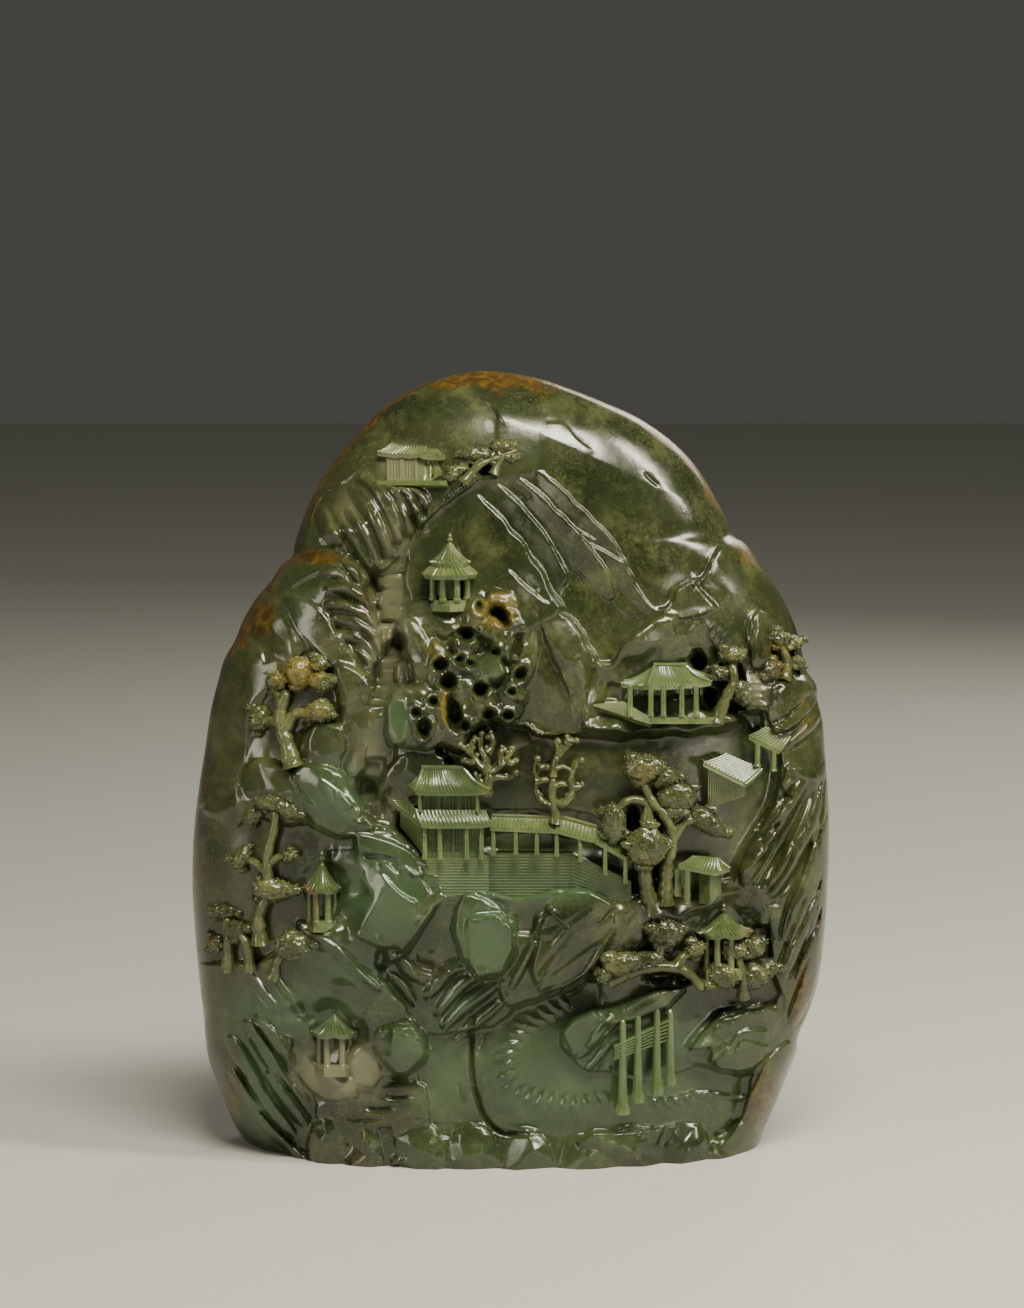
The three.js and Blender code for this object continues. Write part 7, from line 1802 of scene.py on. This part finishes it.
def needle_clump(pile, forms, x, z, cut, wide, high, turn, seed):
    """A clump of pine needles: one granular mass with nuggets grown round its edge."""
    chance = np.random.default_rng(seed)
    small = min(wide, high)
    lean = math.radians(turn)
    points, faces = forms[1]
    centre = spot(x, z, cut + 0.5)
    size = np.array([wide * 0.94, min(3.0, 1.0 * small), high * 0.9])
    shaped = points * size
    shaped[:, 1] *= np.where(points[:, 1] > 0, 1.7, 1.0)
    flat = shaped.copy()
    shaped[:, 0] = flat[:, 0] * math.cos(lean) - flat[:, 2] * math.sin(lean)
    shaped[:, 2] = flat[:, 0] * math.sin(lean) + flat[:, 2] * math.cos(lean)
    coarse = (grains(shaped + centre, 2.6, seed) * 0.9 + grains(shaped + centre, 1.3, seed + 3) * 0.8
              + grains(shaped + centre, 0.75, seed + 5) * 0.65 - 1.0)
    pile.add(shaped + points * coarse[:, None] + centre, faces)
    size = min(2.1, 0.6 * small)
    count = max(3, round(1.3 * (wide + high) / size / 2))
    for number in range(count):
        angle = (number + chance.uniform(-0.3, 0.3)) * 2 * math.pi / count
        reach = chance.uniform(0.84, 1.08)
        along, over = reach * wide * math.cos(angle), reach * high * math.sin(angle)
        nugget_x = x + along * math.cos(lean) - over * math.sin(lean)
        nugget_z = z + along * math.sin(lean) + over * math.cos(lean)
        scale = size * chance.uniform(0.7, 1.1)
        nugget(pile, forms[0], spot(nugget_x, nugget_z, cut + chance.uniform(0.6, 1.6)),
               scale * np.array([1.25, 0.9, 0.8]), seed + number)


def limb(pile, points, thick, thin, seed, knobbly=0.07, flat=1.3):
    """A limb through [x, z, cut] points, with swellings along it."""
    line = spaced(curve_through([spot(*point) for point in points], 0.6), 0.8)
    share = np.linspace(0, 1, len(line))
    lengths = arc_lengths(line)
    swellings = 0.07 * np.sin(lengths * 1.1 + seed) + 0.05 * np.sin(lengths * 2.3 + 2 * seed)
    swellings += 0.35 * np.exp(-lengths / 2.5)
    radii = 1.4 * (thick + (thin - thick) * share) / 2 * (1 + swellings)
    radii[-1] *= 0.6
    tube(pile, line, radii, 12, knobbly, seed, flat)


# The two leafless trees by the hall: the thickness of each limb, then its line as [x, z]
BARE_TREES = [
    [2.1, [-7, 112], [-6.4, 118], [-7.2, 122.5], [-6.6, 126.5]],
    [1.5, [-7, 119.5], [-9.8, 122.5], [-12, 125.3], [-15.2, 127.6]],
    [1.5, [-12, 125.3], [-11.6, 127.4], [-10.6, 129.6]],
    [1.5, [-10.2, 122.8], [-12, 122.3], [-13.8, 122.9]],
    [1.5, [-7, 123.5], [-8.8, 126.6], [-8.6, 130.8]],
    [1.5, [-6.7, 125], [-5.2, 127.6], [-5.8, 131.2]],
    [1.5, [-6.6, 119.5], [-3.4, 120.8], [-1, 123.4], [0.6, 126.2]],
    [1.5, [-1.4, 122.8], [0.4, 122], [2, 122.8]],
    [1.5, [-2.4, 121.8], [-3, 124.4], [-2.2, 126.8]],
    [1.5, [-6.6, 116.6], [-3.6, 117.9], [-0.4, 117.6], [1.8, 119]],
    [1.5, [-6.8, 115.6], [-9, 116.8], [-10.4, 118.8]],
    [2.1, [13.4, 104], [13.6, 107.4], [13, 110], [12.6, 113.4], [12.9, 118]],
    [1.5, [13, 109.6], [9.8, 110.6], [8, 113.6], [8.2, 117.6], [7.4, 120.4], [8.2, 123.4]],
    [2.1, [13.4, 109.6], [17, 110.6], [18.6, 113.4], [18.2, 117.4], [18.8, 120]],
    [1.5, [8, 116.6], [10.4, 117], [12.8, 116.8]],
    [1.5, [12.6, 115], [15.4, 115.8], [18.4, 115]],
    [1.5, [8, 120.6], [10.6, 120.8], [13, 120.2], [15.4, 121], [18.6, 119.6]],
    [1.5, [12.9, 118], [13.2, 121.6], [14.4, 124.6], [14.2, 128.4]],
    [1.5, [14.4, 124.6], [16.6, 126.6], [17.8, 128.6], [20, 128.8]],
    [1.5, [17.4, 127.4], [17.2, 130]],
    [1.5, [18.6, 119.6], [20, 122.2], [21.6, 122.8]],
    [1.5, [18.5, 115], [20.4, 114.6], [21.6, 115.6]],
]
BARE_CUT = 4.2


def bare_trees(pile, form):
    """Knobbly leafless limbs like coral, with a knob at each end."""
    for number, (thick, *points) in enumerate(BARE_TREES):
        line = [[x, z, BARE_CUT + 0.5 * math.sin(number + x)] for x, z in points]
        limb(pile, line, thick, thick * 0.75, number + 60, 0.2, 1.4)
        nugget(pile, form, spot(*line[-1]), np.array([0.9, 1.1, 0.9]) * (1.05 + 0.2 * math.sin(number * 2.3)),
               number)
        for share in (0.35, 0.7):
            index = int(share * (len(line) - 1))
            x, z, cut = between(line[index], line[index + 1], 0.5)
            side = 1.1 * math.sin(number * 7 + share * 20)
            nugget(pile, form, spot(x + side, z + 0.4, cut), np.array([0.85, 0.9, 0.8]), number + 5)


def carve_trees(wood_stone, needle_stone):
    wood = Pile(wood_stone)
    forms = ball(2), ball(4)
    groves = {name: Pile(needle_stone) for name in ("western_pines", "eastern_pines")}
    for number, tree in enumerate(TREES.values()):
        for place_in_tree, (thick, thin, *points) in enumerate(tree["trunks"]):
            limb(wood, points, thick, thin, number * 10 + place_in_tree)
        for place_in_tree, pad in enumerate(tree["pads"]):
            grove = groves["western_pines" if pad[0] < 10 else "eastern_pines"]
            needle_clump(grove, forms, *pad, seed=number * 20 + place_in_tree)
    bare_trees(wood, forms[0])
    limbs = wood.finish("tree_limbs", 60)
    clumps = [grove.finish(name, 70) for name, grove in groves.items()]
    return [limbs, *clumps, *(needle_grains(clump, needle_stone) for clump in clumps)]


def needle_grains(clump, material):
    """The grains of one grove, as a piece of their own."""
    values = {"Clumps": clump, "Grains Per Area": GRAINS_PER_AREA / MILLIMETRE**2, "Size": 0.36 * MILLIMETRE,
              "Seed": 7, "Material": material}
    thing = made_mesh(grown(needle_grain_tree(), values))
    thing.name = clump.name + "_grains"
    return smooth_shaded(thing, 80)


def carve_buildings(material):
    halls = Pile(material, tiled_slope_tree())
    for build in (two_storey_hall, gallery, terrace_hall, crown_hut, eastern_huts, pine_hut):
        build(halls)
    rooms = Pile(material, umbrella_ribs_tree())
    pagoda(rooms)
    for pavilion in PAVILIONS:
        open_pavilion(rooms, *pavilion)
    stage = Pile(material)
    landing_stage(stage)
    return halls.finish("halls_and_gallery"), rooms.finish("pavilions"), stage.finish("landing_stage")


# The stone's stain, kept on each piece as masks: russet skin, yellow crust, grey gorge and clearer green; the
# grey mask also carries a painted highlight on the pavilion lawn

# Where the brown skin of the pebble is left, as [x, z, reach across, reach up, strength]
SKIN_PATCHES = [
    [0, 241, 36, 3.5, 0.7], [-62, 204, 4, 10, 0.6], [-75, 176, 6, 6, 0.75], [-58, 184, 9, 2.4, 0.8],
    [-43, 170, 3.5, 9, 0.55], [-76, 166, 6, 7, 0.8], [-45, 156, 5, 6, 0.5], [95, 100, 2, 46, 0.25],
    [88, 52, 5, 14, 0.6], [76, 22, 8, 14, 0.55], [-83, 22, 5, 16, 0.5], [-45, 4, 6, 5, 0.4],
    [-78, 62, 5, 5, 0.3], [72, 190, 6, 10, 0.7], [92, 136, 4, 12, 0.4], [88, 142, 6, 5, 0.4],
    [80, 152, 5, 10, 0.45], [-60, 79, 2.5, 8, 0.75], [73, 72, 3, 2.5, 0.8], [-55, 62, 6, 3, 0.25],
    [70, 66, 6, 4, 0.3], [0, 3, 16, 3.5, 0.35], [-70, 6, 9, 7, 0.45], [-95, 90, 2, 40, 0.5],
    [80, 105, 4, 6, 0.35], [30, 3, 12, 3, 0.25], [-61, 85, 2, 2, 0.7], [20, 234, 12, 3, 0.35],
    [-20, 216, 14, 4, 0.25], [86, 132, 6, 3, 0.5], [-84, 90, 3, 6, 0.2],
]
CRUST_PATCHES = [
    [-5, 168, 8, 6, 1], [-22, 158, 4, 6, 0.7], [-24, 150, 4, 5, 0.45], [4, 158, 4, 7, 0.5],
    [-19, 137, 3.5, 8, 0.9], [-2, 146, 6, 6, 0.35], [-64, 149, 9, 6, 0.9], [-60, 138, 7, 4, 0.7],
    [-70, 132, 8, 6, 0.35], [82, 156, 7, 5, 0.6], [-2, 216, 8, 4, 0.5], [40, 119, 7, 5, 0.6],
    [55, 106, 8, 5, 0.4], [40, 97, 7, 7, 0.3], [-71, 108, 9, 4, 0.35], [34, 62, 8, 4, 0.45],
    [47, 71, 6, 4, 0.45], [70, 62, 9, 8, 0.4], [-42, 160, 4, 12, 0.5], [-56, 168, 6, 8, 0.3],
    [-7, 124, 9, 8, 0.6], [14, 117, 9, 9, 0.6], [-40, 172, 3, 8, 0.6], [66, 153, 5, 6, 0.4],
    [94, 90, 4, 44, 0.4], [88, 112, 4, 10, 0.4], [-3, 168, 5, 6, 1.1], [-28, 134, 3, 8, 0.4],
    [-47, 6, 6, 5, 0.5], [-82, 20, 5, 14, 0.45], [-93, 66, 3, 26, 0.4],
]
GREY_AND_HIGHLIGHT_PATCHES = [
    [-36, 162, 5, 20, 0.9], [-34, 190, 6, 8, 0.5], [-42, 122, 5, 14, 0.7], [-86, 128, 9, 26, 0.3],
    [-74, 128, 10, 14, 0.2], [-48, 199, 7, 7, 0.5], [-30, 30, 6, 12, 0.3], [-56, 158, 8, 8, 0.4],
    # The first patch below, on the pavilion lawn, is partly the lawn's own pale grey and partly a painted
    # highlight in place of the lawn's reflection
    [-51, 30, 11, 8, 1.2], [74, 145, 4, 6, 0.6], [-26, 60, 10, 8, 0.35],
    [-36, 108, 6, 8, 0.5], [-32, 211, 7, 6, 0.9], [-90, 80, 5, 16, 0.15], [-86, 160, 5, 10, 0.2],
]
CLEAR_PATCHES = [
    [24, 30, 48, 22, 0.8], [-8, 70, 10, 13, 1], [-38, 84, 14, 18, 0.9], [-20, 30, 10, 20, 0.8],
    [-62, 48, 20, 9, 0.9], [-46, 58, 18, 12, 0.7], [-52, 112, 11, 10, 0.9], [-16, 100, 14, 22, 0.6],
    [16, 92, 22, 10, 0.5], [0, 6, 62, 9, 0.4], [-34, 134, 4, 8, 0.9], [20, 72, 14, 14, 0.25],
    [-5, 150, 6, 6, 0.5], [48, 142, 14, 10, 0.5], [68, 118, 10, 8, 0.5], [-64, 172, 8, 8, 0.4],
    [34, 45, 16, 9, 0.6], [14, 178, 10, 14, 0.3], [-16, 50, 8, 8, 0.7], [4, 86, 26, 6, 1.2],
    [-74, 26, 10, 18, 0.8], [-32, 36, 6, 7, 1],
]

# Where the skin that runs along the pebble's rim starts and is full, as a share of the way out; the heights
# between which the rim's skin thickens and the crown's skin starts; and the depths between which the face's
# stain gives way to the back's
RIM_START, RIM_FULL = 0.955, 1.0
HIGH_RIM = (184, 204)
CROWN_SKIN = (229, 240)
BEHIND = (-6, 8)


def patch_mask(patches, x, z):
    mask = np.zeros_like(x)
    for middle_x, middle_z, across, up, strength in patches:
        reach = ((x - middle_x) / across)**2 + ((z - middle_z) / up)**2
        mask = np.maximum(mask, strength * np.exp(-reach * 0.7))
    return mask


def keep_stain(thing):
    """Stores the stain masks on a finished piece, from where each point is drawn."""
    points = np.empty(len(thing.data.vertices) * 3)
    thing.data.vertices.foreach_get("co", points)
    points = points.reshape(-1, 3) / MILLIMETRE
    x, z = drawn_at(points)
    left, right = left_at(z), right_at(z)
    share = (x - (left + right) / 2) / np.maximum((right - left) / 2, 1)
    wander = 0.03 * undulation(x, z, 16, 31) + 0.012 * undulation(x, z, 5, 32)
    high_up = ease(z, *HIGH_RIM)
    rim = ease(np.abs(share) + wander + 0.03 * high_up, RIM_START, RIM_FULL)
    low_rim = np.where(share > 0, 0.35, np.where(z > 150, 0.7, 0.45))
    rim *= low_rim + (0.85 - low_rim) * high_up
    crown = 0.95 * ease(z + 60 * wander + 0.02 * x, *CROWN_SKIN)
    behind = ease(points[:, 1], *BEHIND)
    back_skin = 0.55 * ease(undulation(points[:, 0], points[:, 2], 60, 33) + 0.5 * np.abs(share), 0.35, 1.1)
    depth = skin_at(x, z) + points[:, 1] / THROUGH
    near_skin = 0.25 + 0.75 * ease(-depth, -5, -1)
    russet = np.maximum.reduce([rim, crown, patch_mask(SKIN_PATCHES, x, z)]) * near_skin
    in_front = np.stack([russet, patch_mask(CRUST_PATCHES, x, z) * near_skin, patch_mask(GREY_AND_HIGHLIGHT_PATCHES, x, z),
                         patch_mask(CLEAR_PATCHES, x, z)], 1)
    at_back = np.stack([np.maximum(0.7 * rim, back_skin), 0 * x, 0 * x, 0 * x + 0.15], 1)
    masks = in_front + (at_back - in_front) * behind[:, None]
    store = thing.data.color_attributes.new("stain", "FLOAT_COLOR", "POINT")
    store.data.foreach_set("color", masks.astype(np.float32).ravel())


# Materials

# Layers of cloud over the dark ground of the stone: the size of the clouds in millimetres, their detail,
# distortion, seed and roughness, the values where they start and are full, their strength and their tone
CLOUD_LAYERS = [
    [46, 4, 0.8, 0, 0.55, 0.38, 0.62, 1.0, "Middle"],
    [13, 7, 0.3, 40, 0.7, 0.46, 0.72, 0.65, "Pale"],
    [7, 6, 0.3, 90, 0.68, 0.5, 0.74, 0.55, "Dark"],
    [3.4, 5, 0.2, 19, 0.7, 0.52, 0.78, 0.3, "Pale"],
]
# Pale grey: the gorge's own grey, and also the colour of the painted highlight on the pavilion lawn
GREY_AND_HIGHLIGHT_STONE = (0.165, 0.162, 0.092, 1)
CLEAR_STONE = (0.054, 0.1, 0.046, 1)
DARK_SKIN = (0.045, 0.024, 0.004, 1)


def stone_clouds():
    """The colour of nephrite: broad clouds, small ones, pale snow and dark flecks, under its stain."""
    group = bpy.data.node_groups.new("stone clouds", "ShaderNodeTree")
    for label, kind in (("Dark", "Color"), ("Middle", "Color"), ("Pale", "Color"), ("Skin", "Color"),
                        ("Crust", "Color"), ("Snow", "Float"), ("Stain", "Color"), ("Clear", "Float")):
        group.interface.new_socket(label, in_out="INPUT", socket_type="NodeSocket" + kind)
    for label, kind in (("Colour", "Color"), ("Roughness", "Float"), ("Height", "Float")):
        group.interface.new_socket(label, in_out="OUTPUT", socket_type="NodeSocket" + kind)
    weave = Weave(group)
    entry = group.nodes.new("NodeGroupInput").outputs
    leave = group.nodes.new("NodeGroupOutput")
    where = weave.add("ShaderNodeTexCoord", out="Object")
    where = weave.add("ShaderNodeVectorMath", {0: where, "Scale": 1 / MILLIMETRE}, operation="SCALE")

    def noise_of(size, detail=3.0, distortion=0.0, seed=0.0, roughness=0.55):
        moved = weave.sum(where, (seed, seed * 0.7, seed * 1.3))
        return weave.add("ShaderNodeTexNoise", {"Vector": moved, "Scale": 1 / size, "Detail": detail,
                                               "Distortion": distortion, "Roughness": roughness})

    def over(value, low, high, strongest=1.0):
        limits = {"Value": value, "From Min": low, "From Max": high, "To Min": 0.0, "To Max": strongest}
        return weave.add("ShaderNodeMapRange", limits, interpolation_type="SMOOTHSTEP")

    def blended(share, below, above):
        return weave.add("ShaderNodeMix", {0: share, 6: below, 7: above}, out=2, data_type="RGBA")

    colour = entry["Dark"]
    for *clouds, low, high, strongest, tone in CLOUD_LAYERS:
        colour = blended(over(noise_of(*clouds), low, high, strongest), colour, entry[tone])
    snow = weave.times(over(noise_of(1.1, 5, 0.0, 11, 0.8), 0.48, 0.74),
                       over(noise_of(17, 2, 0.5, 77), 0.4, 0.6))
    colour = blended(weave.times(snow, entry["Snow"]), colour, entry["Pale"])
    flecks = over(noise_of(1.7, 3, 0.0, 55, 0.7), 0.6, 0.78, 0.4)
    colour = blended(flecks, colour, entry["Dark"])
    stain = weave.tree.nodes.new("ShaderNodeSeparateColor")
    group.links.new(entry["Stain"], stain.inputs[0])
    russet_mask, crust_mask, grey_and_highlight_mask = stain.outputs
    skin_noise = weave.plus(noise_of(5, 5, 1.5, 23), weave.times(noise_of(1.1, 3, 0.3, 29), 0.4))
    # The grey mask gives grey stone, and on the pavilion lawn a painted highlight
    grey_and_highlight = weave.plus(grey_and_highlight_mask, weave.times(noise_of(8, 4, 1, 61), 0.5))
    colour = blended(over(grey_and_highlight, 0.35, 1.15, 0.85), colour, GREY_AND_HIGHLIGHT_STONE)
    clear = weave.plus(entry["Clear"], weave.times(noise_of(9, 3, 0.6, 83), 0.4))
    colour = blended(over(clear, 0.3, 1.2, 0.75), colour, CLEAR_STONE)
    skin = over(weave.plus(weave.times(russet_mask, 1.2), weave.times(skin_noise, 0.8)), 0.9, 1.3)
    brown = blended(over(noise_of(3.2, 4, 1, 67), 0.35, 0.7), DARK_SKIN, entry["Skin"])
    colour = blended(weave.times(skin, 0.95), colour, brown)
    crust = over(weave.plus(crust_mask, weave.times(skin_noise, 0.9)), 0.98, 1.5)
    colour = blended(weave.times(crust, 0.85), colour, entry["Crust"])
    group.links.new(colour, leave.inputs["Colour"])
    rough = weave.plus(over(noise_of(6, 4, 0.5, 13), 0.3, 0.75, 0.1), 0.155)
    rough = weave.plus(rough, weave.times(weave.number("MAXIMUM", skin, crust), 0.1))
    group.links.new(rough, leave.inputs["Roughness"])
    grain = weave.plus(weave.times(noise_of(2.6, 2, 0.2, 5), 0.7), weave.times(noise_of(0.5, 3, 0, 7), 0.3))
    group.links.new(grain, leave.inputs["Height"])
    return group


def stone(name, clouds, dark, middle, pale, snow=0.6, skin=(0.12, 0.07, 0.01), crust=(0.15, 0.11, 0.016),
          bump=0.06, milky=0.18):
    """A polished jade whose colours come from the stone clouds."""
    material = bpy.data.materials.new(name)
    material.use_nodes = True
    weave = Weave(material.node_tree)
    shader = material.node_tree.nodes["Principled BSDF"]
    stain = material.node_tree.nodes.new("ShaderNodeAttribute")
    stain.attribute_name = "stain"
    pattern = material.node_tree.nodes.new("ShaderNodeGroup")
    pattern.node_tree = clouds
    tones = {"Dark": dark, "Middle": middle, "Pale": pale, "Skin": skin, "Crust": crust}
    for label, colour in tones.items():
        pattern.inputs[label].default_value = (*colour, 1)
    pattern.inputs["Snow"].default_value = snow
    link = material.node_tree.links.new
    link(stain.outputs["Color"], pattern.inputs["Stain"])
    link(stain.outputs["Alpha"], pattern.inputs["Clear"])
    link(pattern.outputs["Colour"], shader.inputs["Base Color"])
    link(pattern.outputs["Roughness"], shader.inputs["Roughness"])
    normal = weave.add("ShaderNodeBump", {"Height": pattern.outputs["Height"], "Strength": 1.0,
                                         "Distance": bump * MILLIMETRE})
    link(normal, shader.inputs["Normal"])
    shader.inputs["IOR"].default_value = 1.61
    shader.inputs["Subsurface Weight"].default_value = milky
    shader.inputs["Subsurface Radius"].default_value = (1.0, 1.3, 0.6)
    shader.inputs["Subsurface Scale"].default_value = 0.001
    return material


def stones():
    """The four finishes of the one stone: darker where it is left whole, brighter where it is cut fine, that
    lightness partly a painted highlight for the glints along the roofs' tile rows.
    """
    clouds = stone_clouds()
    boulder = stone("boulder jade", clouds, (0.013, 0.0185, 0.006), (0.034, 0.043, 0.0145),
                    (0.106, 0.118, 0.044), 0.8)
    # The carved pieces' lighter tones are partly their own paler stone and partly a painted highlight for the
    # glints on the roofs' tile ribs
    carved = stone("carved jade", clouds, (0.055, 0.078, 0.024), (0.105, 0.138, 0.046),
                   (0.23, 0.26, 0.1), 0.3)
    needle = stone("needle jade", clouds, (0.026, 0.034, 0.01), (0.056, 0.067, 0.02),
                   (0.175, 0.18, 0.06), 0.6, crust=(0.2, 0.15, 0.025), bump=0.12, milky=0.1)
    limb = stone("limb jade", clouds, (0.04, 0.046, 0.014), (0.076, 0.086, 0.03),
                 (0.18, 0.185, 0.07), 0.4, crust=(0.2, 0.16, 0.045))
    return boulder, carved, needle, limb


# The floor, the lights and the eye

# Area lights that face the stone: name, place and size in metres, power
SOFTBOXES = [
    ["left strip", (-0.88, -0.55, 0.34), (0.16, 0.6), 2.4],
    ["right strip", (0.62, -0.3, 0.72), (0.12, 0.6), 8.5],
    ["top box", (0.14, -0.55, 1.0), (0.5, 0.25), 15.5],
    ["left fill", (-0.66, -1.12, 0.1), (0.22, 0.2), 0.5],
    ["rear box", (0.45, 1.0, 0.65), (0.5, 0.4), 3.5],
    ["right fill", (0.85, -1.1, 0.1), (0.25, 0.2), 1.0],
]
WARM_LIGHT = (1, 0.96, 0.78)
LIGHTS_AIM = Vector((0, 0, 0.13))
FLOOR_COLOUR = (0.52, 0.52, 0.49, 1)
ROOM_COLOUR, ROOM_STRENGTH = (0.8, 0.8, 0.7, 1), 0.08
LENS, SENSOR_HEIGHT = 128.44, 36


def softbox(name, place_at, size, power):
    """A rectangular studio light that faces the stone."""
    light = bpy.data.lights.new(name, "AREA")
    light.shape = "RECTANGLE"
    light.size, light.size_y = size
    light.energy = power
    light.color = WARM_LIGHT
    lamp = bpy.data.objects.new(name, light)
    lamp.location = place_at
    lamp.rotation_euler = (LIGHTS_AIM - Vector(place_at)).to_track_quat("-Z", "Y").to_euler()
    bpy.context.scene.collection.objects.link(lamp)


def floor_and_lights():
    bpy.ops.mesh.primitive_plane_add(size=6)
    floor = bpy.context.active_object
    floor.name = "floor"
    paint = bpy.data.materials.new("floor")
    paint.use_nodes = True
    paint.node_tree.nodes["Principled BSDF"].inputs["Base Color"].default_value = FLOOR_COLOUR
    paint.node_tree.nodes["Principled BSDF"].inputs["Roughness"].default_value = 0.6
    floor.data.materials.append(paint)
    world = bpy.data.worlds.new("studio")
    bpy.context.scene.world = world
    world.use_nodes = True
    world.node_tree.nodes["Background"].inputs["Color"].default_value = ROOM_COLOUR
    world.node_tree.nodes["Background"].inputs["Strength"].default_value = ROOM_STRENGTH
    for box in SOFTBOXES:
        softbox(*box)


def camera():
    lens = bpy.data.cameras.new("camera")
    lens.sensor_fit = "VERTICAL"
    lens.sensor_height = SENSOR_HEIGHT
    lens.lens = LENS
    eye = bpy.data.objects.new("camera", lens)
    eye.location = EYE * MILLIMETRE
    eye.rotation_euler = (math.pi / 2 - EYE_PITCH, 0, 0)
    bpy.context.scene.collection.objects.link(eye)
    bpy.context.scene.camera = eye


boulder_stone, lightened_carved_stone, needle_stone, wood_stone = stones()
pieces = [boulder_body(boulder_stone), *carve_buildings(lightened_carved_stone), *carve_trees(wood_stone, needle_stone)]
for piece in pieces:
    keep_stain(piece)
    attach(piece, "root")
    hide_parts("jade_boulder")
floor_and_lights()
camera()
